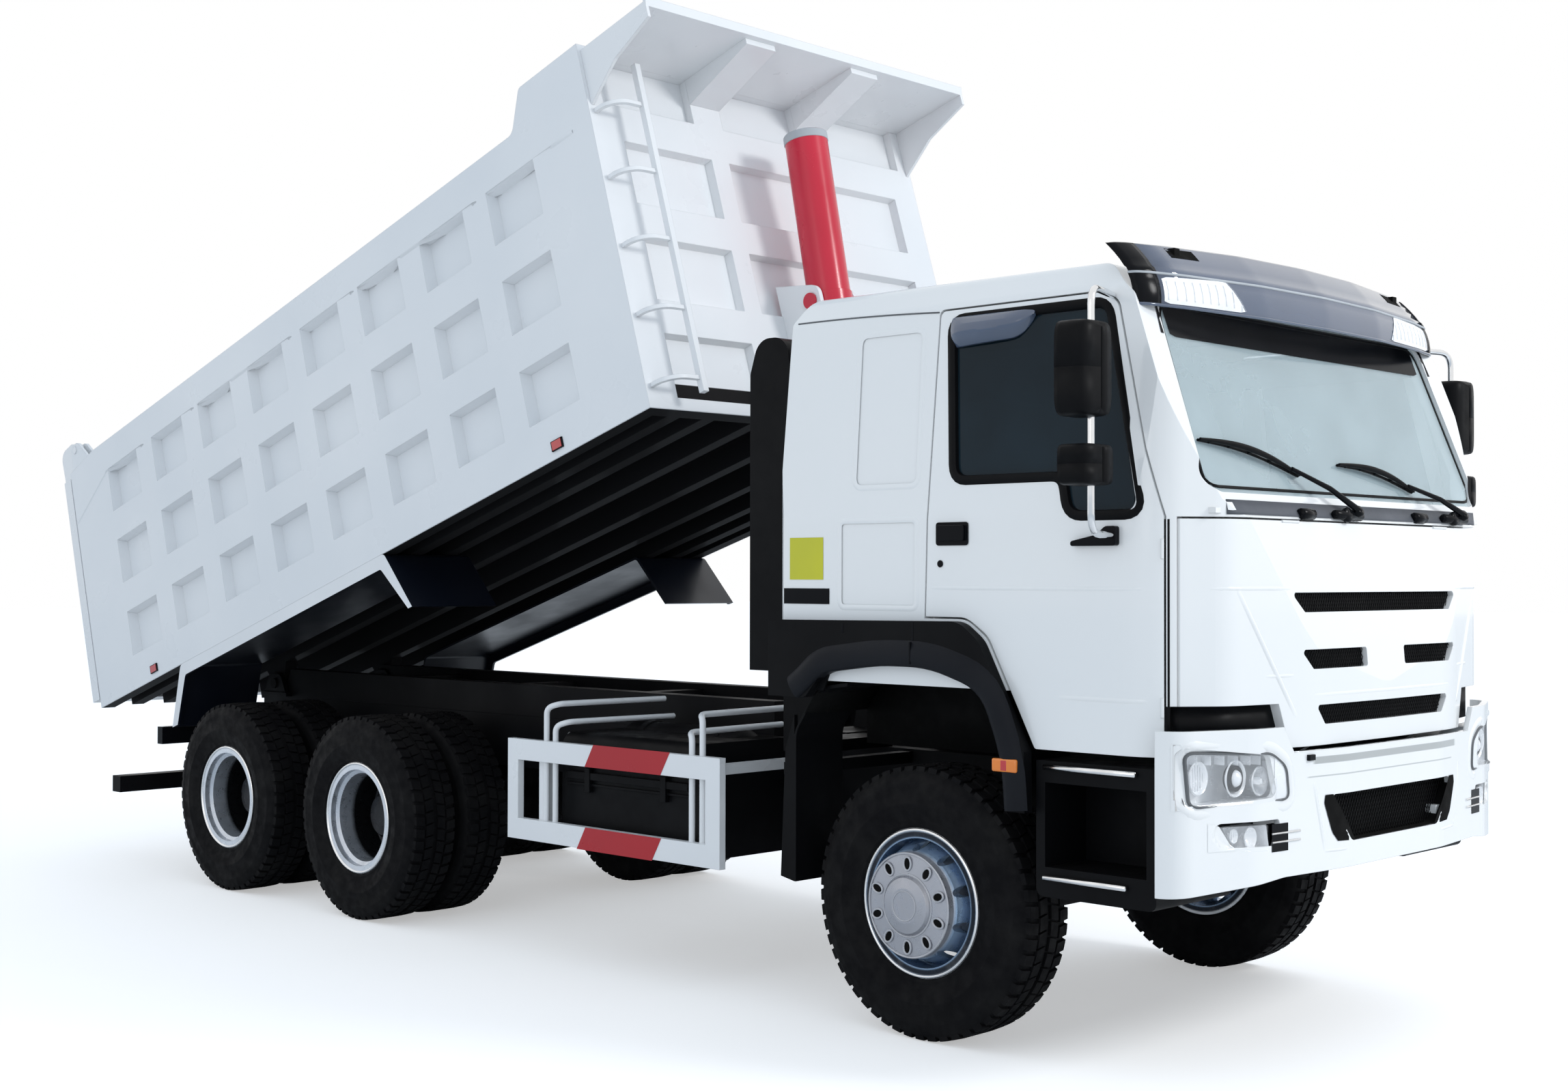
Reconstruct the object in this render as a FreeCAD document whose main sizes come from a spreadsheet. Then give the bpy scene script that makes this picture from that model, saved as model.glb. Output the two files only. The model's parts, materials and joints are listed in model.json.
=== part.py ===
import FreeCAD, Part
import math
import os
import re

import Sketcher

# Six-by-four tipper truck in millimetres. +X forward, +Y left, +Z up.
# The origin lies on the ground under the middle of the truck's outline.

Vector = FreeCAD.Vector
Rotation = FreeCAD.Rotation
Placement = FreeCAD.Placement

DRIVING_SIZES = {
    # running gear
    "axle_front": 3057.9,
    "wheelbase": 3825,
    "bogie_spread": 1350,
    "tyre_radius": 540,
    "tyre_half_width": 152,
    "tread_half_width": 118,
    "bead_half_width": 98,
    "rim_radius": 268,
    "rim_wall": 14,
    "flange_radius": 295,
    "flange_inner": 111,
    "flange_outer": 122,
    "front_wheel_y": 1010,
    "twin_outer_y": 1100,
    "twin_inner_y": 760,
    "kingpin_y": 850,
    "kingpin_radius": 25,
    "running_gap": 6,
    "seat_gap": 0.3,
    "hand_hole_count": 10,
    "hand_hole_radius": 22,
    "hub_slot_radius": 18,
    "steering_arm": 190,
    "tie_rod_radius": 15,
    "spindle_radius": 44,
    "spindle_reach": 55,
    "stub_radius": 58,
    "drum_radius": 200,
    "hub_cover_radius": 205,
    "hub_cap_radius": 108,
    "hand_hole_ring": 229,
    "cover_hole_ring": 163,
    "spring_y": 430,
    "rear_spring_y": 535,
    # frame
    "rail_outer": 430,
    "rail_top": 1060,
    "rail_height": 280,
    "rail_flange": 80,
    "rail_thick": 12,
    "rail_front": 1000,
    "rail_overhang": 945,
    "cross_height": 130,
    "cross_length": 70,
    "subframe_height": 170,
    "subframe_width": 90,
    "subframe_y": 385,
    "hoist_bay": 350,
    "tow_reach": 90,
    "tow_height": 885,
    "tow_jaw_gap": 60,
    "tow_jaw_thick": 25,
    "tow_bore_radius": 20.5,
    # bed, in its own frame: u forward from the rear corner, v up from the sill
    "bed_length": 5540,
    "bed_half": 1160,
    "bed_wall": 90,
    "bed_floor_low": 120,
    "bed_floor": 150,
    "bed_rail_height": 1640,
    "bed_ear_height": 1835,
    "bed_ear_length": 460,
    "bed_tilt": 17,
    "bed_reach": 4590,
    "bed_pivot_drop": 112,
    "bed_pivot_behind": 755,
    "bed_pivot_z": 1138,
    "bed_pivot_width": 80,
    "bed_pivot_boss": 58,
    "bed_pivot_pin": 32,
    "bed_pivot_y": 395,
    "bay_start": 505,
    "bay_pitch": 598,
    "bay_length": 392,
    "bay_count": 8,
    "bay_row_low": 212,
    "bay_row_pitch": 478,
    "bay_height": 285,
    "bay_rows": 3,
    "bay_depth": 62,
    "bay_draft": 12,
    "bed_front_wall": 100,
    "front_bay_width": 570,
    "front_bay_pitch": 690,
    "front_bay_low": 60,
    "front_bay_height": 320,
    "front_bay_row_pitch": 490,
    "front_bay_depth": 45,
    "canopy_reach": 480,
    "canopy_thick": 25,
    "canopy_low": 1780,
    "bed_beam_width": 80,
    # tailgate
    "gate_thick": 90,
    "gate_gap": 12,
    "gate_low": 60,
    "gate_top": 1560,
    "gate_pivot_u": 75,
    "gate_pivot_v": 1735,
    "gate_arm_y": 1101,
    "gate_arm_thick": 18,
    "gate_pin_radius": 24,
    # hoist
    "hoist_foot_ahead": 4025,
    "hoist_foot_z": 1230,
    "hoist_head_ahead": 200,
    "hoist_head_v": 550,
    "barrel_radius": 108,
    "barrel_wall": 8,
    "barrel_above": 880,
    "barrel_below": 270,
    "stage_step": 14,
    "stage_length": 1130,
    "stage_show": 378,
    "eye_radius": 45,
    "trunnion_radius": 40,
    "cheek_gap": 116,
    "cheek_thick": 25,
    # cab
    "cab_half": 1200,
    "cab_wall": 60,
    "cab_rear": 730,
    "cab_top": 2990,
    "cab_floor": 1430,
    "cab_nose": 1400,
    "firewall_x": 1060,
    "firewall_half": 1075,
    "nose_low": 1210,
    "nose_side_low": 1370,
    "cowl_z": 2040,
    "cowl_x": 1320,
    "screen_top_x": 1010,
    "roof_edge_z": 2880,
    "roof_half": 1120,
    "visor_half": 1140,
    "waist_z": 2050,
    "door_rear": 95,
    "door_front": 1142,
    "door_low": 1190,
    "door_top": 2860,
    "door_gap": 7,
    "glass_inset": 14,
    "glass_thick": 6,
    "flap_half": 1120,
    "slot_height": 72,
    "tilt_pivot_x": 1280,
    "tilt_pivot_z": 1250,
    "tilt_pin_radius": 30,
    "tilt_pivot_y": 430,
    # bumper
    "bumper_half": 1245,
    "bumper_front": 1430,
    "bumper_low": 755,
    "bumper_top": 1195,
    "bumper_corner_top": 1290,
    "bumper_rear": 1162,
    "bumper_wall": 20,
    "lamp_back": 1160,
    "guard_x": 640,
    # fittings
    "step_front": 1135,
    "step_rear": 615,
    "step_half": 1195,
    "step_inner": 700,
    "step_low": 650,
    "step_top": 1150,
    "guard_wall": 12,
    "side_guard_front": 1070,
    "side_guard_behind": 305,
    "side_guard_half": 1200,
    "side_guard_low": 560,
    "side_guard_top": 1040,
    "side_guard_rail": 100,
    "side_guard_thick": 35,
    "tank_front": 1300,
    "tank_length": 950,
    "tank_low": 560,
    "tank_height": 520,
    "tank_inner": 470,
    "tank_width": 640,
    "underrun_behind": 1325,
    "underrun_half": 1240,
    "underrun_low": 465,
    "underrun_size": 100,
}

doc = FreeCAD.newDocument("TipperTruck")
sheet = doc.addObject("Spreadsheet::Sheet", "Sizes")
for row, (alias, value) in enumerate(DRIVING_SIZES.items(), start=1):
    sheet.set("A%d" % row, alias)
    sheet.set("B%d" % row, str(value))
    sheet.setAlias("B%d" % row, alias)
doc.recompute()

WORD = re.compile(r"[a-z][a-z_0-9]*[a-z0-9]")
FUNCTIONS = {"sin", "cos", "tan", "atan", "sqrt"}


def linked(text):
    """Turn plain size names into references to the sheet's cells."""
    def reference(match):
        word = match.group(0)
        return word if word in FUNCTIONS else "Sizes." + word
    return WORD.sub(reference, str(text))


def number(text):
    """The present value of a sum of size names."""
    return float(sheet.evalExpression(linked(text)))


def bind(target, prop, text):
    target.setExpression(prop, linked(text))


def place(target, at, axis=None, angle=None):
    for letter, text in zip("xyz", at):
        bind(target, ".Placement.Base." + letter, text)
    if axis is not None:
        turn = Rotation(Vector(*axis), number(angle))
        target.Placement = Placement(target.Placement.Base, turn)
        bind(target, ".Placement.Rotation.Angle", angle)
    return target


def block(name, size, at):
    """A rectangular bar: size along X, Y and Z from its low corner."""
    bar = doc.addObject("Part::Box", name)
    bind(bar, "Length", size[0])
    bind(bar, "Width", size[1])
    bind(bar, "Height", size[2])
    return place(bar, at)


AXIS_TURN = {"x": ((0, 1, 0), 90), "y": ((-1, 0, 0), 90), "z": None}


def rod(name, radius, length, at, axis="z"):
    """A round bar that starts at a point and runs along +X, +Y or +Z."""
    bar = doc.addObject("Part::Cylinder", name)
    bind(bar, "Radius", radius)
    bind(bar, "Height", length)
    if AXIS_TURN[axis]:
        direction, angle = AXIS_TURN[axis]
        bar.Placement.Rotation = Rotation(Vector(*direction), angle)
    return place(bar, at)


def hide_inputs(shape, inputs):
    for item in inputs:
        item.Visibility = False
    return shape


def fuse(name, parts):
    joined = doc.addObject("Part::MultiFuse", name)
    joined.Shapes = parts
    joined.Refine = True
    return hide_inputs(joined, parts)


def common(name, parts):
    shared = doc.addObject("Part::MultiCommon", name)
    shared.Shapes = parts
    return hide_inputs(shared, parts)


def cut(name, base, tools):
    """Base less one tool or several."""
    tool = tools[0] if len(tools) == 1 else fuse(name + "_tools", tools)
    left = doc.addObject("Part::Cut", name)
    left.Base = base
    left.Tool = tool
    return hide_inputs(left, [base, tool])


def group(name, parts):
    """Separate solids that share a sub-part."""
    together = doc.addObject("Part::Compound", name)
    together.Links = parts
    return hide_inputs(together, parts)


def mirrored(name, source):
    """The same piece on the other side of the truck's centre plane."""
    twin = doc.addObject("Part::Mirroring", name)
    twin.Source = source
    twin.Normal = Vector(0, 1, 0)
    twin.Base = Vector(0, 0, 0)
    return twin


def both_sides(name, source):
    return group(name, [source, mirrored(name + "_other", source)])


PLANES = {
    "XZ": Rotation(Vector(1, 0, 0), 90),
    "XY": Rotation(),
    "YZ": Rotation(Vector(1, 1, 1), 120),
}


def corner_arc(before, corner, after, radius):
    """Tangent points and centre of a round of the given radius at a corner."""
    to_before = (before - corner).normalize()
    to_after = (after - corner).normalize()
    half = to_before.getAngle(to_after) / 2
    reach = radius / math.tan(half)
    bisector = (to_before + to_after).normalize()
    centre = corner + bisector * (radius / math.sin(half))
    return corner + to_before * reach, corner + to_after * reach, centre


def add_arc(sketch, start, end, centre, radius):
    """An arc from start to end about centre, the short way round."""
    first = math.atan2(start.y - centre.y, start.x - centre.x)
    last = math.atan2(end.y - centre.y, end.x - centre.x)
    turn = (last - first) % (2 * math.pi)
    circle = Part.Circle(centre, Vector(0, 0, 1), radius)
    if turn < math.pi:
        return sketch.addGeometry(Part.ArcOfCircle(circle, first, first + turn), False), 1, 2
    return sketch.addGeometry(Part.ArcOfCircle(circle, last, last + 2 * math.pi - turn), False), 2, 1


def pin_point(sketch, geometry, end, across, up):
    """Hold one point of a sketch at sheet-driven coordinates."""
    for kind, text in (("DistanceX", across), ("DistanceY", up)):
        index = sketch.addConstraint(Sketcher.Constraint(kind, -1, 1, geometry, end, number(text)))
        bind(sketch, "Constraints[%d]" % index, text)


def draw(sketch, corners):
    """A closed outline through corners (across, up) or (across, up, round)."""
    points = [Vector(number(corner[0]), number(corner[1]), 0) for corner in corners]
    count = len(points)
    starts = []
    ends = []
    arcs = {}
    for index, corner in enumerate(corners):
        if len(corner) == 2:
            starts.append(points[index])
            ends.append(points[index])
            continue
        before, after = points[index - 1], points[(index + 1) % count]
        radius = number(corner[2])
        entry, leave, centre = corner_arc(before, points[index], after, radius)
        ends.append(entry)
        starts.append(leave)
        arcs[index] = (entry, leave, centre, radius)
    lines = [
        sketch.addGeometry(Part.LineSegment(starts[index], ends[(index + 1) % count]), False)
        for index in range(count)
    ]
    for index, corner in enumerate(corners):
        line_in, line_out = lines[index - 1], lines[index]
        if index not in arcs:
            sketch.addConstraint(Sketcher.Constraint("Coincident", line_in, 2, line_out, 1))
            pin_point(sketch, line_out, 1, corner[0], corner[1])
            continue
        entry, leave, centre, radius = arcs[index]
        arc, arc_in, arc_out = add_arc(sketch, entry, leave, centre, radius)
        sketch.addConstraint(Sketcher.Constraint("Tangent", line_in, 2, arc, arc_in))
        sketch.addConstraint(Sketcher.Constraint("Tangent", arc, arc_out, line_out, 1))
        size = sketch.addConstraint(Sketcher.Constraint("Radius", arc, radius))
        bind(sketch, "Constraints[%d]" % size, corner[2])
        mark = sketch.addGeometry(Part.Point(points[index]), True)
        sketch.addConstraint(Sketcher.Constraint("PointOnObject", mark, 1, line_in))
        sketch.addConstraint(Sketcher.Constraint("PointOnObject", mark, 1, line_out))
        pin_point(sketch, mark, 1, corner[0], corner[1])
    return sketch


def outline(name, plane, corners, offset=None):
    """A stand-alone sketch in a world plane, moved along its normal by offset."""
    sketch = doc.addObject("Sketcher::SketchObject", name)
    sketch.Placement = Placement(Vector(), PLANES[plane])
    draw(sketch, corners)
    if offset is not None:
        letter = {"XZ": "y", "XY": "z", "YZ": "x"}[plane]
        bind(sketch, ".Placement.Base." + letter, offset)
    return sketch


def slab(name, plane, corners, start, thickness):
    """A flat piece cut to an outline; it runs from start towards +X, +Y or +Z."""
    sketch = outline(name + "_outline", plane, corners, start)
    piece = doc.addObject("Part::Extrusion", name)
    piece.Base = sketch
    piece.DirMode = "Custom"
    piece.Dir = {"XZ": Vector(0, 1, 0), "XY": Vector(0, 0, 1), "YZ": Vector(1, 0, 0)}[plane]
    piece.Solid = True
    bind(piece, "LengthFwd", thickness)
    return hide_inputs(piece, [sketch])


def turned(name, plane, corners, axis):
    """A round piece: an outline turned about a world axis through the origin."""
    sketch = outline(name + "_outline", plane, corners)
    piece = doc.addObject("Part::Revolution", name)
    piece.Source = sketch
    piece.Axis = axis
    piece.Base = Vector(0, 0, 0)
    piece.Angle = 360
    piece.Solid = True
    return hide_inputs(piece, [sketch])


RAIL_REAR = "(wheelbase + bogie_spread + rail_overhang)"
UNDERRUN_X = "(wheelbase + bogie_spread + underrun_behind)"
BED_PIVOT_X = "(-wheelbase - bogie_spread - bed_pivot_behind)"
HOIST_FOOT_X = "(hoist_foot_ahead - wheelbase - bogie_spread)"
SUBFRAME_FRONT = "(%s - hoist_bay)" % HOIST_FOOT_X
SIDE_GUARD_REAR = "(tank_front + tank_length + side_guard_behind)"


def rectangle(across, up, wide, high, *rounding):
    """The four corners of an upright rectangle from its low corner."""
    return [
        (across, up) + rounding, (across + " + " + wide, up) + rounding,
        (across + " + " + wide, up + " + " + high) + rounding, (across, up + " + " + high) + rounding,
    ]


def along(offset):
    """An X position given from the front axle, forward positive."""
    return "axle_front + (%s)" % offset


def plane_of(body, role):
    return next(item for item in body.Origin.OriginFeatures if item.Role == role)


def body_sketch(body, name, role, corners=None, rise=None):
    """A sketch on one of a body's own origin planes, lifted along its normal."""
    sketch = body.newObject("Sketcher::SketchObject", name)
    sketch.AttachmentSupport = (plane_of(body, role), [""])
    sketch.MapMode = "FlatFace"
    if rise is not None:
        bind(sketch, ".AttachmentOffset.Base.z", rise)
    if corners is not None:
        draw(sketch, corners)
    return sketch


def body_circle(body, name, role, across, up, radius, rise=None):
    sketch = body_sketch(body, name, role, None, rise)
    centre = Vector(number(across), number(up), 0)
    circle = sketch.addGeometry(Part.Circle(centre, Vector(0, 0, 1), number(radius)), False)
    pin_point(sketch, circle, 3, across, up)
    size = sketch.addConstraint(Sketcher.Constraint("Radius", circle, number(radius)))
    bind(sketch, "Constraints[%d]" % size, radius)
    return sketch


def body_revolve(body, name, corners):
    """Turn an outline (Y, radius) about the Y axis."""
    sketch = body_sketch(body, name + "_outline", "YZ_Plane", corners)
    solid = body.newObject("PartDesign::Revolution", name)
    solid.Profile = sketch
    solid.ReferenceAxis = (sketch, ["H_Axis"])
    solid.Angle = 360
    return solid


def body_holes(body, name, sketch, count, depth=None):
    """A pocket repeated around the wheel's axis."""
    hole = body.newObject("PartDesign::Pocket", name)
    hole.Profile = sketch
    if depth is None:
        hole.Type = "ThroughAll"
        hole.Midplane = True
    else:
        bind(hole, "Length", depth)
    ring = body.newObject("PartDesign::PolarPattern", name + "_ring")
    ring.Originals = [hole]
    ring.Axis = (sketch, ["N_Axis"])
    ring.Angle = 360
    bind(ring, "Occurrences", count)
    body.Tip = ring
    return ring


# ---------------------------------------------------------------- wheels

def make_tyre():
    return turned("tyre_round", "YZ", [
        ("-bead_half_width", "rim_radius"),
        ("bead_half_width", "rim_radius"),
        ("tyre_half_width", "tyre_radius * 0.74"),
        ("tyre_half_width - 14", "tyre_radius - 38"),
        ("tread_half_width", "tyre_radius"),
        ("-tread_half_width", "tyre_radius"),
        ("14 - tyre_half_width", "tyre_radius - 38"),
        ("-tyre_half_width", "tyre_radius * 0.74"),
    ], Vector(0, 1, 0))


def make_front_rim():
    body = doc.addObject("PartDesign::Body", "front_rim_round")
    body_revolve(body, "front_rim_turned", [
        ("flange_outer", "rim_radius - rim_wall"),
        ("flange_outer", "flange_radius"),
        ("flange_inner", "flange_radius"),
        ("flange_inner", "rim_radius - seat_gap"),
        ("-flange_inner", "rim_radius - seat_gap"),
        ("-flange_inner", "flange_radius"),
        ("-flange_outer", "flange_radius"),
        ("-flange_outer", "rim_radius - rim_wall"),
        ("-38", "rim_radius - rim_wall"),
        ("-150", "hub_cover_radius + 8"),
        ("-162", "hub_cover_radius"),
        ("-192", "hub_cover_radius - 8"),
        ("-198", "hub_cap_radius + 8"),
        ("-212", "hub_cap_radius"),
        ("-218", "hub_cap_radius - 40"),
        ("-218", "0"),
        ("-spindle_reach - running_gap", "0"),
        ("-spindle_reach - running_gap", "spindle_radius + seat_gap"),
        ("70", "spindle_radius + seat_gap"),
        ("70", "90"),
        ("-140", "90"),
        ("-140", "drum_radius - 15"),
        ("85", "drum_radius - 15"),
        ("85", "drum_radius"),
        ("-136", "drum_radius"),
        ("-24", "rim_radius - rim_wall - 10"),
        ("-18", "rim_radius - rim_wall"),
    ])
    hand_hole = body_circle(body, "hand_hole_outline", "XZ_Plane", "0", "hand_hole_ring",
                            "hand_hole_radius")
    body_holes(body, "hand_holes", hand_hole, "hand_hole_count")
    slot = body_circle(body, "cover_hole_outline", "XZ_Plane", "0", "cover_hole_ring",
                       "hub_slot_radius", "212")
    body_holes(body, "cover_holes", slot, "hand_hole_count", "45")
    return body


def make_twin_rim():
    """Two rims bolted back to back on one hub; the outer one is a deep dish."""
    half = "(twin_outer_y - twin_inner_y) / 2"
    well = "rim_radius - seat_gap"
    bore = "rim_radius - rim_wall"
    body = doc.addObject("PartDesign::Body", "twin_rim_round")
    body_revolve(body, "twin_rim_turned", [
        (half + " + flange_outer", bore),
        (half + " + flange_outer", "flange_radius"),
        (half + " + flange_inner", "flange_radius"),
        (half + " + flange_inner", well),
        (half + " - flange_inner", well),
        (half + " - flange_inner", "flange_radius"),
        (half + " - flange_outer", "flange_radius"),
        (half + " - flange_outer", "rim_radius - 8"),
        ("flange_outer - " + half, "rim_radius - 8"),
        ("flange_outer - " + half, "flange_radius"),
        ("flange_inner - " + half, "flange_radius"),
        ("flange_inner - " + half, well),
        ("-flange_inner - " + half, well),
        ("-flange_inner - " + half, "flange_radius"),
        ("-flange_outer - " + half, "flange_radius"),
        ("-flange_outer - " + half, bore),
        ("20 - flange_inner - " + half, bore),
        ("30 - flange_inner - " + half, bore + " - 20"),
        ("-36", bore + " - 26"),
        ("-20", bore + " - 45"),
        ("-20", "140"),
        ("-110", "130"),
        ("-140", "105"),
        ("-150", "60"),
        ("-150", "0"),
        ("-20 - running_gap", "0"),
        ("-20 - running_gap", "stub_radius + seat_gap"),
        ("150", "stub_radius + seat_gap"),
        ("150", "95"),
        ("0", "95"),
        ("0", "drum_radius - 12"),
        ("225", "drum_radius - 12"),
        ("225", "drum_radius + 5"),
        ("0", "drum_radius + 5"),
        ("0", bore),
    ])
    hole = body_circle(body, "vent_outline", "XZ_Plane", "0", "176", "20", "60")
    body_holes(body, "vents", hole, "hand_hole_count", "75")
    return body


def wheel_nodes():
    """Every wheel: tyres in one node, rims with their hub in another."""
    tyre = make_tyre()
    front_rim = make_front_rim()
    twin_rim = make_twin_rim()
    half = "(twin_outer_y - twin_inner_y) / 2"
    outer_tyre = place(doc.addObject("Part::Compound", "tyre_out"), ("0", "-" + half, "0"))
    outer_tyre.Links = [tyre]
    inner_tyre = place(doc.addObject("Part::Compound", "tyre_in"), ("0", half, "0"))
    inner_tyre.Links = [tyre]
    twin_tyre = group("twin_tyres", [outer_tyre, inner_tyre])
    middle = along("-wheelbase")
    rear = along("-wheelbase - bogie_spread")
    twin_y = "(twin_outer_y + twin_inner_y) / 2"
    stations = {
        "front": (along("0"), "front_wheel_y", tyre, front_rim),
        "middle": (middle, twin_y, twin_tyre, twin_rim),
        "rear": (rear, twin_y, twin_tyre, twin_rim),
    }
    nodes = []
    for station, (x_text, y_text, tyres, rims) in stations.items():
        for side, sign in (("right", "-"), ("left", "")):
            for kind, source in (("tyre", tyres), ("rim", rims)):
                piece = source
                if side == "left":
                    piece = mirrored("%s_%s_flip" % (kind, station), source)
                node = group("%s_%s_%s" % (kind, station, side), [piece])
                place(node, (x_text, sign + "(" + y_text + ")", "tyre_radius"))
                nodes.append(node)
    return nodes


# ---------------------------------------------------------------- axles and steering

def make_front_axle():
    beam = slab("axle_beam", "YZ", [
        ("-kingpin_y + 38", "tyre_radius - 50"),
        ("-640", "tyre_radius - 62", 60),
        ("-540", "tyre_radius - 112", 60),
        ("540", "tyre_radius - 112", 60),
        ("640", "tyre_radius - 62", 60),
        ("kingpin_y - 38", "tyre_radius - 50"),
        ("kingpin_y - 38", "tyre_radius + 50"),
        ("660", "tyre_radius + 30", 60),
        ("560", "tyre_radius - 10", 60),
        ("-560", "tyre_radius - 10", 60),
        ("-660", "tyre_radius + 30", 60),
        ("38 - kingpin_y", "tyre_radius + 50"),
    ], along("-42"), "84")
    parts = [beam]
    bores = []
    for side, sign in (("right", "-"), ("left", "")):
        at = (along("0"), sign + "kingpin_y", "tyre_radius - 60")
        parts.append(rod("axle_eye_" + side, "52", "120", at))
        bores.append(rod("axle_bore_" + side, "kingpin_radius + seat_gap", "120", at))
        seat = (along("-70"), sign + "spring_y - 60", "tyre_radius - 11")
        parts.append(block("spring_seat_" + side, ("140", "120", "16"), seat))
    return cut("front_axle", fuse("axle_solid", parts), bores)


def make_knuckle():
    """The right steering knuckle, its kingpin and its arm."""
    yoke_y = "-(kingpin_y + 62)"
    parts = [
        block("yoke_top", ("100", "110", "50"), (along("-50"), yoke_y, "tyre_radius + 66")),
        block("yoke_low", ("100", "110", "50"), (along("-50"), yoke_y, "tyre_radius - 116")),
        block("yoke_back", ("120", "22", "232"),
              (along("-60"), "-(kingpin_y + 82)", "tyre_radius - 116")),
        rod("kingpin", "kingpin_radius", "200", (along("0"), "-kingpin_y", "tyre_radius - 100")),
        rod("spindle", "spindle_radius", "front_wheel_y + spindle_reach - kingpin_y - 70",
            (along("0"), "-(front_wheel_y + spindle_reach)", "tyre_radius"), "y"),
        block("arm", ("steering_arm - 30", "44", "30"),
              (along("20 - steering_arm"), "-(kingpin_y + 22)", "tyre_radius - 116")),
        rod("arm_boss", "26", "30", (along("-steering_arm"), "-kingpin_y", "tyre_radius - 116")),
        rod("arm_pin", "12", "60", (along("-steering_arm"), "-kingpin_y", "tyre_radius - 160")),
    ]
    return fuse("knuckle_right", parts)


def make_tie_rod():
    bar = rod("tie_bar", "tie_rod_radius", "2 * kingpin_y - 40",
              (along("-steering_arm"), "20 - kingpin_y", "tyre_radius - 140"), "y")
    parts = [bar]
    bores = []
    for side, sign in (("right", "-"), ("left", "")):
        at = (along("-steering_arm"), sign + "kingpin_y", "tyre_radius - 158")
        parts.append(rod("tie_eye_" + side, "28", "36", at))
        bores.append(rod("tie_bore_" + side, "12 + seat_gap", "36", at))
    return cut("tie_rod", fuse("tie_solid", parts), bores)


def make_rear_axles():
    axles = []
    for station, x_text in (("middle", along("-wheelbase")),
                            ("rear", along("-wheelbase - bogie_spread"))):
        stub = "(twin_outer_y + twin_inner_y) / 2 + 20"
        tube = rod(station + "_tube", "stub_radius", "2 * (%s)" % stub,
                   (x_text, "-(%s)" % stub, "tyre_radius"), "y")
        case = rod(station + "_case", "85", "2 * (twin_inner_y - tyre_half_width - 30)",
                   (x_text, "-(twin_inner_y - tyre_half_width - 30)", "tyre_radius"), "y")
        bowl = rod(station + "_bowl", "205", "230", (x_text, "-115", "tyre_radius"), "y")
        nose = rod(station + "_nose", "95", "300", (x_text, "0", "tyre_radius"), "x")
        axles.append(fuse("axle_" + station, [tube, case, bowl, nose]))
    return group("rear_axles", axles)


def make_springs():
    low = "tyre_radius + 5"
    front = slab("front_spring", "XZ", [
        (along("-60"), low),
        (along("60"), low),
        (along("420"), low + " + 62", 300),
        (along("800"), low + " + 150"),
        (along("800"), low + " + 166"),
        (along("420"), low + " + 100", 300),
        (along("60"), low + " + 70"),
        (along("-60"), low + " + 70"),
        (along("-420"), low + " + 100", 300),
        (along("-800"), low + " + 166"),
        (along("-800"), low + " + 150"),
        (along("-420"), low + " + 62", 300),
    ], "spring_y - 45", "90")
    hangers = [
        block("front_hanger_%d" % index, ("80", "60", "rail_top - rail_height - tyre_radius - 130"),
              (along(str(x)), "spring_y - 30", "tyre_radius + 130"))
        for index, x in enumerate((735, -815))
    ]
    bogie = along("-wheelbase - bogie_spread / 2")
    rear = slab("rear_spring", "XZ", [
        (bogie + " - bogie_spread / 2 - 60", "tyre_radius + 86"),
        (bogie + " - 330", "tyre_radius + 150", 400),
        (bogie, "tyre_radius + 190"),
        (bogie + " + 330", "tyre_radius + 150", 400),
        (bogie + " + bogie_spread / 2 + 60", "tyre_radius + 86"),
        (bogie + " + bogie_spread / 2 + 60", "tyre_radius + 112"),
        (bogie + " + 150", "tyre_radius + 300", 200),
        (bogie + " - 150", "tyre_radius + 300", 200),
        (bogie + " - bogie_spread / 2 - 60", "tyre_radius + 112"),
    ], "rear_spring_y - 45", "90")
    pads = [
        block("rear_pad_%d" % index, ("120", "90", "20"),
              (bogie + sign + " bogie_spread / 2 - 60", "rear_spring_y - 45",
               "tyre_radius + 85 + seat_gap"))
        for index, sign in enumerate((" +", " -"))
    ]
    bracket = block("bogie_bracket", ("220", "60", "420"),
                    (bogie + " - 110", "rail_outer + 0.3", "rail_top - 470"))
    front_side = fuse("front_spring_set", [front] + hangers)
    rear_side = fuse("rear_spring_set", [rear, bracket] + pads)
    return group("springs", [
        front_side, mirrored("front_spring_left", front_side),
        rear_side, mirrored("rear_spring_left", rear_side),
    ])


# ---------------------------------------------------------------- chassis

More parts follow.
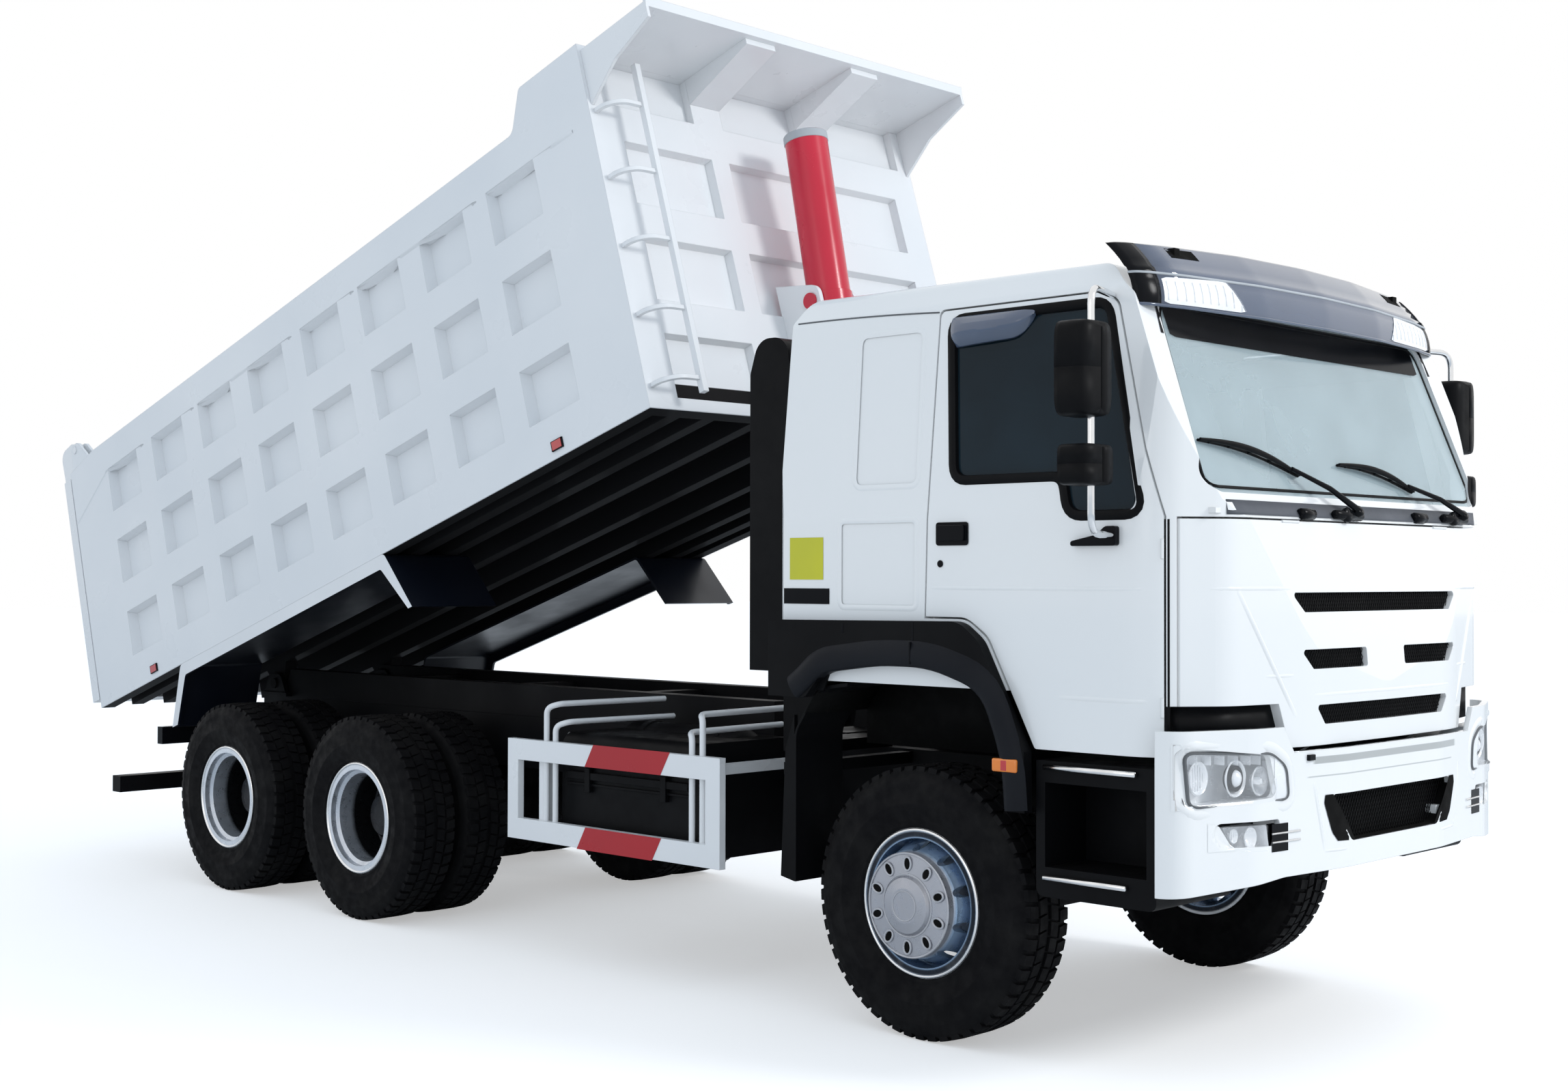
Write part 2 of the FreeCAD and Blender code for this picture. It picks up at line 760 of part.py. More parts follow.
def make_frame():
    length = "rail_front + " + RAIL_REAR
    start = along("-" + RAIL_REAR)
    low = "rail_top - rail_height"
    web = block("rail_web", (length, "rail_thick", "rail_height"), (start, "-rail_outer", low))
    top = block("rail_flange_top", (length, "rail_flange", "rail_thick"),
                (start, "-rail_outer", "rail_top - rail_thick"))
    foot = block("rail_flange_low", (length, "rail_flange", "rail_thick"),
                 (start, "-rail_outer", low))
    rail = fuse("rail_right", [web, top, foot])
    crosses = [
        block("cross_%d" % index,
              ("cross_length", "2 * rail_outer - rail_thick", "cross_height"),
              (along(offset), "-rail_outer + rail_thick / 2",
               "rail_top - rail_thick - cross_height"))
        for index, offset in enumerate((
            "900", "-1900", "-2900", "-wheelbase - 715", "-" + RAIL_REAR))
    ]
    towing = slab("tow_plate", "XY", [
        (along("-" + RAIL_REAR + " - 8"), "-140"),
        (along("-" + RAIL_REAR + " + 20"), "-140"),
        (along("-" + RAIL_REAR + " + 20"), "140"),
        (along("-" + RAIL_REAR + " - 8"), "140"),
    ], "rail_top - rail_height + 20", "240")
    jaws = [
        slab("tow_jaw_%d" % index, "XY", [
            (along("-" + RAIL_REAR + " - 5"), "-90"), (along("-" + RAIL_REAR + " - 5"), "90"),
            (along("-" + RAIL_REAR + " - tow_reach - 45"), "45", 44),
            (along("-" + RAIL_REAR + " - tow_reach - 45"), "-45", 44),
        ], "tow_height + " + shift, "tow_jaw_thick")
        for index, shift in enumerate(("tow_jaw_gap / 2", "-tow_jaw_gap / 2 - tow_jaw_thick"))
    ]
    pin_way = rod("tow_pin_bore", "tow_bore_radius", "tow_jaw_gap + 2 * tow_jaw_thick + 4",
                  (along("-" + RAIL_REAR + " - tow_reach"), "0",
                   "tow_height - tow_jaw_gap / 2 - tow_jaw_thick - 2"))
    towing = cut("tow_hitch", fuse("tow_solid", [towing] + jaws), [pin_way])
    mounts = []
    for side, sign in (("right", "-"), ("left", "")):
        plate = slab("cab_bracket_" + side, "XZ", [
            (along("930"), "rail_top - 60"),
            (along("990"), "rail_top - 60"),
            (along("tilt_pivot_x + 40"), "tilt_pivot_z - 40", 30),
            (along("tilt_pivot_x + 40"), "tilt_pivot_z + 40", 39),
            (along("tilt_pivot_x - 40"), "tilt_pivot_z + 40", 39),
            (along("930"), "rail_top"),
        ], sign + "tilt_pivot_y - 20", "40")
        bore = rod("cab_bracket_bore_" + side, "tilt_pin_radius + seat_gap", "60",
                   (along("tilt_pivot_x"), sign + "tilt_pivot_y - 30", "tilt_pivot_z"), "y")
        mounts.append(cut("cab_bracket_cut_" + side, plate, [bore]))
    return fuse("frame", [rail, mirrored("rail_left", rail), towing] + crosses + mounts)


def make_subframe():
    length = RAIL_REAR + " - 150 + " + SUBFRAME_FRONT
    beams = []
    for side, sign in (("right", "-"), ("left", "")):
        beams.append(block("subframe_beam_" + side, (length, "subframe_width", "subframe_height"),
                           (along("-" + RAIL_REAR + " + 150"), sign + "subframe_y - subframe_width / 2",
                            "rail_top + seat_gap")))
    ties = [
        block("subframe_tie_%d" % index, ("90", "2 * subframe_y", "110"),
              (along(offset), "-subframe_y", "rail_top + 30"))
        for index, offset in enumerate((
            SUBFRAME_FRONT + " - 300", "925 - wheelbase", "-wheelbase - 175",
            "-wheelbase - 1275"))
    ]
    pivot_x = along(BED_PIVOT_X)
    ears = []
    bores = []
    for side, sign in (("right", "-"), ("left", "")):
        for place_name, shift in (("outer", "bed_pivot_width / 2 + running_gap"),
                                  ("inner", "-bed_pivot_width / 2 - running_gap - 24")):
            name = "%s_%s" % (side, place_name)
            ears.append(slab("pivot_ear_" + name, "XZ", [
                (pivot_x + " - 130", "rail_top + 10"),
                (pivot_x + " + 130", "rail_top + 10"),
                (pivot_x + " + 62", "bed_pivot_z + 62", 60),
                (pivot_x + " - 62", "bed_pivot_z + 62", 60),
            ], sign + "bed_pivot_y + " + shift, "24"))
        bores.append(rod("pivot_bore_" + side, "bed_pivot_pin + seat_gap", "260",
                         (pivot_x, sign + "bed_pivot_y - 130", "bed_pivot_z"), "y"))
    notches = [
        slab("pivot_notch_" + side, "XZ", [
            (pivot_x + " - 64", "bed_pivot_z - bed_pivot_boss - running_gap"),
            (pivot_x + " + 64", "bed_pivot_z - bed_pivot_boss - running_gap"),
            (pivot_x + " + 130", "rail_top + subframe_height + 10"),
            (pivot_x + " - 64", "rail_top + subframe_height + 10"),
        ], sign + "bed_pivot_y - bed_pivot_width / 2 - running_gap",
            "bed_pivot_width + 2 * running_gap")
        for side, sign in (("right", "-"), ("left", ""))
    ]
    base = block("pivot_base", ("300", "2 * (subframe_y + subframe_width)", "24"),
                 (pivot_x + " - 150", "-subframe_y - subframe_width", "rail_top + seat_gap"))
    return cut("subframe", fuse("subframe_solid", beams + ties + ears + [base]), bores + notches)


def make_bumper():
    """A deep white bumper with lamp pockets, a lower grille and foot slots."""
    top = slab("bumper_plan", "XY", [
        (along("bumper_rear"), "-bumper_half"),
        (along("bumper_front - 190"), "-bumper_half", 120),
        (along("bumper_front - 60"), "-bumper_half + 330", 300),
        (along("bumper_front"), "-380", 600),
        (along("bumper_front"), "380", 600),
        (along("bumper_front - 60"), "bumper_half - 330", 300),
        (along("bumper_front - 190"), "bumper_half", 120),
        (along("bumper_rear"), "bumper_half"),
    ], "0", "bumper_corner_top")
    face = slab("bumper_face", "YZ", [
        ("-bumper_half", "bumper_low - 45"),
        ("-760", "bumper_low", 200),
        ("760", "bumper_low", 200),
        ("bumper_half", "bumper_low - 45"),
        ("bumper_half", "bumper_corner_top"),
        ("760", "bumper_corner_top"),
        ("700", "bumper_top"),
        ("-700", "bumper_top"),
        ("-760", "bumper_corner_top"),
        ("-bumper_half", "bumper_corner_top"),
    ], along("bumper_rear"), "600")
    solid = common("bumper_solid", [top, face])
    inner = slab("bumper_inner", "XY", [
        (along("bumper_rear - 50"), "-bumper_half + bumper_wall"),
        (along("bumper_front - 190 - bumper_wall"), "-bumper_half + bumper_wall", 90),
        (along("bumper_front - 60 - bumper_wall"), "-bumper_half + 330 + bumper_wall", 260),
        (along("bumper_front - bumper_wall"), "-380", 500),
        (along("bumper_front - bumper_wall"), "380", 500),
        (along("bumper_front - 60 - bumper_wall"), "bumper_half - 330 - bumper_wall", 260),
        (along("bumper_front - 190 - bumper_wall"), "bumper_half - bumper_wall", 90),
        (along("bumper_rear - 50"), "bumper_half - bumper_wall"),
    ], "0", "bumper_corner_top + 30")
    grille = slab("lower_grille_gap", "YZ", [
        ("-345", "850", 40), ("345", "850", 40), ("506", "1030", 25), ("-506", "1030", 25),
    ], along("bumper_rear"), "600")
    lamps = []
    for side, sign in (("right", "-"), ("left", "")):
        lamps.append(slab("headlamp_pocket_" + side, "YZ", headlamp_corners(sign),
                          along("lamp_back"), "600"))
        lamps.append(slab("fog_pocket_" + side, "YZ", fog_corners(sign),
                          along("lamp_back"), "600"))
    shell = cut("bumper_shell", solid, [inner, grille] + lamps)
    ties = []
    for side, sign in (("right", "-"), ("left", "")):
        ties.append(block("bumper_tie_" + side,
                          ("bumper_front - bumper_wall - rail_front + 3", "60", "120"),
                          (along("rail_front + seat_gap"), sign + "(rail_outer - 30) - 30",
                           "rail_top - rail_height + 20")))
    return fuse("bumper", [shell] + ties)


def headlamp_corners(sign):
    corners = [
        ("800", "1045", 30), ("1222", "1030", 30), ("1222", "1235", 30), ("845", "1195", 30),
    ]
    return [(sign + across, up, rounding) for across, up, rounding in corners]


def fog_corners(sign):
    corners = [
        ("805", "872", 14), ("1060", "880", 30), ("1110", "965", 30), ("785", "965", 14),
    ]
    return [(sign + across, up, rounding) for across, up, rounding in corners]


def make_lamps():
    """Headlamps and fog lamps, their lenses following the bumper's skin."""
    lens_plan = slab("lens_plan", "XY", [
        (along("lamp_back"), "-bumper_half + 12"),
        (along("bumper_front - 196"), "-bumper_half + 12", 112),
        (along("bumper_front - 70"), "-bumper_half + 336", 300),
        (along("bumper_front - 10"), "-380", 600),
        (along("bumper_front - 10"), "380", 600),
        (along("bumper_front - 70"), "bumper_half - 336", 300),
        (along("bumper_front - 196"), "bumper_half - 12", 112),
        (along("lamp_back"), "bumper_half - 12"),
    ], "800", "500")
    prisms = []
    for side, sign in (("right", "-"), ("left", "")):
        prisms.append(slab("headlamp_prism_" + side, "YZ", headlamp_corners(sign),
                           along("lamp_back"), "600"))
        prisms.append(slab("fog_prism_" + side, "YZ", fog_corners(sign),
                           along("lamp_back"), "600"))
    return common("front_lamps", [lens_plan, fuse("lamp_prisms", prisms)])


def make_steps():
    """The right stepwell box with two treads, hung from the frame."""
    box = slab("step_box", "XZ", [
        (along("step_rear"), "step_low", 30),
        (along("step_front"), "step_low", 30),
        (along("step_front"), "step_top"),
        (along("step_rear"), "step_top"),
    ], "-step_half", "step_half - step_inner")
    wells = [
        block("step_well_low", ("step_front - step_rear - 80", "260", "310"),
              (along("step_rear + 40"), "-step_half - 1", "step_low + 110")),
    ]
    stay = block("step_stay", ("90", "step_inner - rail_outer + 1", "120"),
                 (along("step_rear + 60"), "-step_inner - 1", "rail_top - 200"))
    stay_two = block("step_stay_two", ("90", "step_inner - rail_outer + 1", "120"),
                     (along("step_front - 160"), "-step_inner - 1", "rail_top - 200"))
    right = fuse("step_right", [cut("step_hollow", box, wells), stay, stay_two])
    return both_sides("steps", right)


def make_mudguards():
    """Chassis mudguards behind the front wheels."""
    arch = slab("mudguard_arch", "XZ", [
        (along("-guard_x"), "560"),
        (along("-guard_x"), "1180", 120),
        (along("-guard_x + 130"), "1370", 120),
        (along("-guard_x + 300"), "1395"),
        (along("-guard_x + 300"), "1395 - guard_wall - 3"),
        (along("-guard_x + 130 + guard_wall / 2"), "1370 - guard_wall", 110),
        (along("-guard_x + guard_wall"), "1180", 110),
        (along("-guard_x + guard_wall"), "560"),
    ], "-1185", "285")
    lip = slab("mudguard_lip", "XZ", [
        (along("-guard_x - 75"), "575"),
        (along("-guard_x + 2"), "560"),
        (along("-guard_x + 2"), "1250"),
        (along("-guard_x - 50"), "1100", 90),
    ], "-1185", "20")
    stay = block("mudguard_stay", ("60", "1185 - rail_outer", "50"),
                 (along("-guard_x - 58"), "-1185", "rail_top - 60"))
    return both_sides("mudguards", fuse("mudguard_right", [arch, lip, stay]))


def make_side_guards():
    """Side under-run rails with their bent carrier tubes."""
    span = SIDE_GUARD_REAR + " - side_guard_front"
    start = along("-" + SIDE_GUARD_REAR)
    skin = "-side_guard_half"
    parts = [
        block("guard_rail_low", (span, "side_guard_thick", "side_guard_rail"),
              (start, skin, "side_guard_low")),
        block("guard_rail_top", (span, "side_guard_thick", "side_guard_rail"),
              (start, skin, "side_guard_top - side_guard_rail")),
        block("guard_post_rear", ("80", "side_guard_thick", "side_guard_top - side_guard_low"),
              (start, skin, "side_guard_low")),
        block("guard_post_front", ("90", "side_guard_thick", "side_guard_top - side_guard_low"),
              (along("-side_guard_front - 90"), skin, "side_guard_low")),
    ]
    for index, offset in enumerate(("200 - " + SIDE_GUARD_REAR, "-side_guard_front - 130")):
        parts.append(block("guard_carrier_%d" % index,
                           ("45", "45", "rail_top - side_guard_low - 60"),
                           (along(offset), "-side_guard_half + side_guard_thick - 1",
                            "side_guard_low")))
        parts.append(block("guard_arm_%d" % index,
                           ("45", "side_guard_half - side_guard_thick - rail_outer - seat_gap",
                            "45"),
                           (along(offset), "-side_guard_half + side_guard_thick",
                            "rail_top - 60 - 45")))
    return both_sides("side_guards", fuse("side_guard_right", parts))


def make_tanks():
    """Fuel tank on the left, air and battery box on the right."""
    def housing(name, start):
        return slab(name, "YZ", [
            ("tank_inner", "tank_low", 70), ("tank_inner + tank_width", "tank_low", 70),
            ("tank_inner + tank_width", "tank_low + tank_height", 70),
            ("tank_inner", "tank_low + tank_height", 70),
        ], start, "tank_length")
    straps = []
    for index in range(2):
        straps.append(block("tank_bracket_%d" % index,
                            ("60", "tank_inner - rail_outer + 2", "200"),
                            (along("-tank_front - tank_length + 150 + %d" % (index * 590)),
                             "rail_outer + seat_gap", "rail_top - 240")))
    tank = fuse("fuel_tank", [housing("tank_box", along("-tank_front - tank_length"))] + straps)
    box_source = fuse("battery_solid", [
        housing("battery_box_body", along("-tank_front - tank_length")),
    ] + [
        block("battery_bracket_%d" % index, ("60", "tank_inner - rail_outer + 2", "200"),
              (along("-tank_front - tank_length + 150 + %d" % (index * 590)),
               "rail_outer + seat_gap", "rail_top - 240"))
        for index in range(2)
    ])
    return [tank, mirrored("battery_box", box_source)]


def make_driveline():
    engine = slab("engine", "XZ", [
        (along("-620"), "tyre_radius + 190"),
        (along("560"), "tyre_radius + 190"),
        (along("640"), "tyre_radius + 400"),
        (along("640"), "1330"),
        (along("-620"), "1370"),
    ], "-300", "600")
    case = slab("gearbox_case", "XZ", [
        (along("-1500"), "tyre_radius - 90", 60),
        (along("-1100"), "tyre_radius - 40"),
        (along("-620 - seat_gap"), "tyre_radius + 190"),
        (along("-620 - seat_gap"), "1180"),
        (along("-1100"), "1020"),
        (along("-1500"), "960", 60),
    ], "-210", "420")
    shaft = rod("prop_shaft", "58", "wheelbase - 1500 - 300 + 2",
                (along("-wheelbase + 300 - seat_gap + 0.6"), "0", "tyre_radius"), "x")
    link = rod("bogie_shaft", "52", "bogie_spread - 300 - 205 - 1",
               (along("-wheelbase - bogie_spread + 300.6"), "0", "tyre_radius"), "x")
    mounts = [
        block("engine_mount_%d" % index, ("90", "2 * (rail_outer - rail_thick - seat_gap)", "50"),
              (along(offset), "-(rail_outer - rail_thick - seat_gap)", "rail_top - 200"))
        for index, offset in enumerate(("-560", "430"))
    ]
    cradle = block("gearbox_mount", ("90", "2 * (rail_outer - rail_thick - seat_gap)", "50"),
                   (along("-1420"), "-(rail_outer - rail_thick - seat_gap)", "rail_top - 200"))
    core = block("radiator_core", ("90", "620", "540"), (along("780"), "-310", "rail_top - 230"))
    feet = block("radiator_foot", ("60", "2 * (rail_outer - rail_thick - seat_gap)", "50"),
                 (along("795"), "-(rail_outer - rail_thick - seat_gap)", "rail_top - 225"))
    return [
        fuse("engine_block", [engine] + mounts),
        group("driveline", [fuse("gearbox", [case, shaft, cradle]), link]),
        fuse("radiator", [core, feet]),
    ]


# ---------------------------------------------------------------- cab

def cab_plan(inset):
    """The cab seen from above, moved inwards by an inset."""
    right = [
        ("(%s) - cab_rear" % inset, "cab_half - (%s)" % inset, 60),
        ("door_front - 22", "cab_half - (%s)" % inset, 250),
        ("cowl_x - 20 - (%s)" % inset, "980 - (%s)" % inset, 220),
        ("cab_nose - 12 - (%s)" % inset, "560", 900),
    ]
    near = [(along(x_text), "-(%s)" % y_text, rounding) for x_text, y_text, rounding in right]
    far = [(along(x_text), y_text, rounding) for x_text, y_text, rounding in reversed(right)]
    return near + [(along("cab_nose - (%s)" % inset), "0", 3000)] + far


def cab_form(name, inset):
    """The cab's outer form, moved inwards by an inset: three outlines in common."""
    i = inset
    side = slab(name + "_side", "XZ", [
        (along("cab_nose - (%s)" % i), "door_low + (%s)" % i),
        (along("cab_nose - (%s)" % i), "1420"),
        (along("cab_nose - 15 - (%s)" % i), "1600", 900),
        (along("cowl_x - (%s)" % i), "cowl_z"),
        (along("cowl_x - 40 - (%s)" % i), "cowl_z + 70 - (%s) / 2" % i, 30),
        (along("screen_top_x - (%s)" % i), "roof_edge_z - 30 - (%s) / 2" % i, 60),
        (along("870 - (%s) / 2" % i), "cab_top - 10 - (%s)" % i, 120),
        (along("(%s) - cab_rear + 80" % i), "cab_top - (%s)" % i, 90),
        (along("(%s) - cab_rear + 40" % i), "roof_edge_z", 40),
        (along("(%s) - cab_rear" % i), "1620"),
        (along("(%s) - cab_rear" % i), "door_low + (%s)" % i),
    ], "-cab_half", "2 * cab_half")
    plan = slab(name + "_plan", "XY", cab_plan(i), "door_low - 100", "cab_top")
    front = slab(name + "_front", "YZ", [
        ("-cab_half + (%s)" % i, "door_low - 100"),
        ("cab_half - (%s)" % i, "door_low - 100"),
        ("cab_half - (%s)" % i, "waist_z", 300),
        ("roof_half + 24 - (%s)" % i, "roof_edge_z", 60),
        ("roof_half - 60 - (%s)" % i, "cab_top - (%s)" % i, 70),
        ("60 - roof_half + (%s)" % i, "cab_top - (%s)" % i, 70),
        ("-roof_half - 24 + (%s)" % i, "roof_edge_z", 60),
        ("-cab_half + (%s)" % i, "waist_z", 300),
    ], along("-cab_rear - 10"), "cab_rear + cab_nose + 60")
    return common(name, [side, plan, front])


def door_corners(gap):
    """The door's outline, grown by a gap on every edge."""
    g = "(%s)" % gap
    return [
        (along("door_front + " + g), "door_low - " + g),
        (along("door_front + " + g), "waist_z - 10"),
        (along("948 + " + g), "door_top - 50 + " + g, 60),
        (along("900"), "door_top + " + g, 60),
        (along("door_rear + 25 - " + g), "door_top + " + g, 25),
        (along("door_rear - 8 - " + g), "1670 - " + g),
        (along("290"), "1670 - " + g, 120),
        (along("395 - " + g), "1600 - " + g, 120),
        (along("612 - " + g), "door_low - " + g, 15),
    ]


def window_corners(grow="0"):
    g = "(%s)" % grow
    return [
        (along("222 - " + g), "2205 - " + g, 45),
        (along("735"), "2205 - " + g, 20),
        (along("765"), "2058 - " + g, 45),
        (along("1062 + " + g), "2058 - " + g, 45),
        (along("898 + " + g), "2815 + " + g, 60),
        (along("182 - " + g), "2815 + " + g, 60),
    ]


def screen_corners():
    return [
        ("-1075", "cowl_z + 88", 90), ("1075", "cowl_z + 88", 90),
        ("1015", "roof_edge_z - 40", 80), ("-1015", "roof_edge_z - 40", 80),
    ]


def flap_corners(gap):
    """Front view of the grille flap, grown by a gap."""
    g = "(%s)" % gap
    corners = [
        ("680 + " + g, "nose_low - " + g), ("735 + " + g, "nose_side_low - " + g),
        ("flap_half + " + g, "nose_side_low - " + g), ("flap_half + " + g, "cowl_z - 8 + " + g),
    ]
    right = [("-(" + across + ")", up) for across, up in reversed(corners)]
    return corners + right


GRILLE_SLOTS = ((1770, 0, 660, 580), (1562, 150, 620, 545), (1358, 0, 530, 470))


def slot_prisms():
    """Openings of the flap: the middle row is in two parts beside a plain centre."""
    prisms = []
    for row, (top, inner, half_top, half_low) in enumerate(GRILLE_SLOTS):
        openings = [(half_low, half_top, half_low, half_top)]
        if inner:
            openings = [(half_low, half_top, -inner, -inner), (-inner, -inner, half_low, half_top)]
        for part, (low_left, top_left, low_right, top_right) in enumerate(openings):
            prisms.append(slab("flap_slot_%d_%d" % (row, part), "YZ", [
                ("-(%d)" % low_left, "%d - slot_height" % top, 12),
                ("%d" % low_right, "%d - slot_height" % top, 12),
                ("%d" % top_right, "%d" % top, 12),
                ("-(%d)" % top_left, "%d" % top, 12),
            ], along("1150"), "400"))
    return prisms


def cab_nodes():
    outer = cab_form("cab_outer", "0")
    inner = cab_form("cab_inner", "cab_wall")
    glass_outer = cab_form("glass_outer", "glass_inset")
    glass_inner = cab_form("glass_inner", "glass_inset + glass_thick")
    skin = cut("cab_skin", outer, [inner])
    pane = cut("pane_skin", glass_outer, [glass_inner])
    width = "2 * cab_half + 200"
    side_start = "-cab_half - 100"

    # shell
    door_prism = slab("door_opening", "XZ", door_corners("door_gap"), side_start, width)
    flap_prism = slab("flap_opening", "YZ", flap_corners("door_gap"),
                      along("door_front + 20 - door_gap"), "400")
    screen_prism = slab("screen_prism", "YZ", screen_corners(), along("870"), "600")
    rear_prism = slab("rear_prism", "YZ", [
        ("-420", "2250", 80), ("420", "2250", 80), ("420", "2650", 80), ("-420", "2650", 80),
    ], along("-cab_rear - 20"), "200")
    under = block("under_cut", ("door_front + cab_rear + 100", width, "cab_floor - 30 - 900"),
                  (along("-cab_rear - 100"), side_start, "900"))
    nose_under = block("nose_cut", ("400", width, "nose_side_low - 900"),
                       (along("door_front - 10"), side_start, "900"))
    floor = block("cab_floor_plate",
                  ("cab_rear + 1050", "2 * (cab_half - cab_wall - 80)", "45"),
                  (along("-cab_rear + 30"), "-(cab_half - cab_wall - 80)", "cab_floor - 30"))
    firewall = block("firewall", ("30", "2 * firewall_half", "cowl_z - cab_floor + 80"),
                     (along("firewall_x"), "-firewall_half", "cab_floor - 30"))
    shelf = block("cowl_shelf", ("cowl_x - firewall_x - 40", "2 * (cab_half - 160)", "20"),
                  (along("firewall_x"), "-(cab_half - 160)", "cowl_z + 12"))
    lugs = []
    bores = []
    for side, sign in (("right", "-"), ("left", "")):
        lugs.append(slab("tilt_lug_" + side, "XZ", [
            (along("1060"), "cab_floor - 60"),
            (along("1040"), "cab_floor + 10"),
            (along("1110"), "cab_floor + 60"),
            (along("tilt_pivot_x + 45"), "tilt_pivot_z + 30", 40),
            (along("tilt_pivot_x + 45"), "tilt_pivot_z - 50", 40),
            (along("tilt_pivot_x - 50"), "tilt_pivot_z - 50", 40),
        ], sign + "(tilt_pivot_y - 52) - 18", "36"))
        lugs.append(rod("tilt_pin_" + side, "tilt_pin_radius", "110",
                        (along("tilt_pivot_x"), sign + "(tilt_pivot_y - 28) - 55",
                         "tilt_pivot_z"), "y"))
    rests = [
        common("flap_rest_" + side, [
            block("flap_rest_block_" + side, ("300", "60", "60"),
                  (along("1085"), start, "1480")),
            cab_form("flap_rest_form_" + side, "cab_wall + seat_gap"),
        ])
        for side, start in (("right", "-600"), ("left", "540"))
    ]
    pressings = common("side_pressings", [
        cut("pressing_skin", outer, [cab_form("pressing_form", "4")]),
        fuse("pressing_prisms", [
            slab("pressing_high", "XZ", rectangle(along("-300"), "2180", "340", "620", 40),
                 side_start, width),
            slab("pressing_low", "XZ", rectangle(along("-370"), "1700", "410", "350", 25),
                 side_start, width),
        ]),
    ])
    shell = cut("cab_skin_cut", skin, [
        door_prism, flap_prism, screen_prism, rear_prism, under, nose_under, pressings,
    ])
    cab_shell = fuse("cab_shell", [shell, floor, firewall, shelf] + lugs + rests)
    cab_glass = common("cab_glass", [pane, fuse("cab_glass_prisms", [screen_prism, rear_prism])])

    # doors and their panes
    prism = slab("door_prism", "XZ", door_corners("0"), "-cab_half - 100", "300")
    window = slab("window_prism", "XZ", window_corners(), "-cab_half - 100", "300")
    sill_clear = block("door_sill_clear", ("640", "300", "cab_wall + 20"),
                       (along("door_front - 600"), "-cab_half + cab_wall", "door_low - 10"))
    hinges = [
        rod("door_hinge_%d" % index, "6", "70", (along("door_front - 2"), "38 - cab_half", height))
        for index, height in enumerate(("1330", "1890"))
    ]
    leaf = common("door_leaf", [skin, prism])
    door_right = fuse("door_right", [cut("door_panel", leaf, [window, sill_clear])] + hinges)
    pane_right = common("door_glass_right", [pane, window])
    nodes = [cab_shell, cab_glass, door_right, mirrored("door_left", door_right),
             pane_right, mirrored("door_glass_left", pane_right)]

    # grille flap
    flap_solid = common("flap_solid", [
        skin, slab("flap_prism", "YZ", flap_corners("0"), along("door_front + 20"), "400"),
    ])
    slots = slot_prisms()
    low_clear = slab("flap_low_clear", "XY", cab_plan("cab_wall"), "door_low - 50", "cab_wall + 60")
    notches = [
        block("flap_notch_" + side, ("70", "80", "110"),
              (along("tilt_pivot_x"), sign + "tilt_pivot_y - 40", "tilt_pivot_z - 50"))
        for side, sign in (("right", "-"), ("left", ""))
    ]
    flap_hinges = [
        rod("flap_hinge_%d" % index, "5", "120", (along("cowl_x + 2"), start, "cowl_z - 10"), "y")
        for index, start in enumerate(("-660", "540"))
    ]
    panel = cut("flap_panel", flap_solid, slots + [low_clear] + notches)
    nodes.append(fuse("front_flap", [panel] + flap_hinges))
    mesh_skin = cut("mesh_skin", cab_form("mesh_outer", "24"), [cab_form("mesh_inner", "34")])
    nodes.append(common("flap_grille", [mesh_skin, fuse("mesh_prisms", slots)]))
    return nodes


def make_visor():
    """A smoked visor over the screen, bowed in plan."""
    side = slab("visor_side", "XZ", [
        (along("930"), "cab_top - 65"),
        (along("1150"), "cab_top - 160", 6),
        (along("1168"), "cab_top - 145", 6),
        (along("960"), "cab_top - 5", 60),
        (along("860"), "cab_top + 14"),
        (along("860"), "cab_top + seat_gap"),
    ], "-visor_half", "2 * visor_half")
    bow = [("800", "visor_half", 20), ("1040", "visor_half", 60), ("1125", "900", 300),
           ("1172", "400", 1500)]
    near = [(along(x_text), "-" + y_text, rounding) for x_text, y_text, rounding in bow]
    far = [(along(x_text), y_text, rounding) for x_text, y_text, rounding in reversed(bow)]
    plan = slab("visor_plan", "XY", near + far, "cab_top - 300", "400")
    return common("visor", [side, plan])


def make_flares():
    arch = slab("flare_arch", "XZ", [
        (along("-cab_rear"), "1330"),
        (along("-520"), "1330", 40),
        (along("-420"), "1440", 120),
        (along("-120"), "1478", 400),
        (along("140"), "1478", 400),
        (along("400"), "1400", 250),
        (along("500"), "1150", 250),
        (along("515"), "955"),
        (along("600"), "955"),
        (along("604 - door_gap"), "1180"),
        (along("388 - door_gap"), "1592 - door_gap", 130),
        (along("285"), "1662 - door_gap", 120),
        (along("-cab_rear"), "1645"),
    ], "-cab_half - 48", "48 - seat_gap")
    backing = slab("flare_backing", "XZ", [
        (along("-cab_rear + 10"), "cab_floor - 70"),
        (along("-450"), "cab_floor - 70"),
        (along("-400"), "cab_floor + 45"),
        (along("60"), "cab_floor + 55"),
        (along("60"), "cab_floor + 60"),
        (along("-cab_rear + 10"), "cab_floor + 60"),
    ], "-cab_half - 10", "9")
    return both_sides("fender_flares", fuse("flare_right", [arch, backing]))


def make_wipers():
    blades = []
    for index, start in enumerate(("60", "-700")):
        blades.append(slab("wiper_%d" % index, "YZ", [
            (start + " + 640", "cowl_z + 55"), (start + " + 690", "cowl_z + 60"),
            (start + " + 300", "cowl_z + 215"), (start, "cowl_z + 250"),
            (start, "cowl_z + 236"), (start + " + 290", "cowl_z + 196"),
        ], along("cowl_x - 180"), "260"))
    shell = cut("wiper_shell", cab_form("wiper_outer", "-26"), [cab_form("wiper_inner", "-seat_gap")])
    return common("wipers", [shell, fuse("wiper_prisms", blades)])


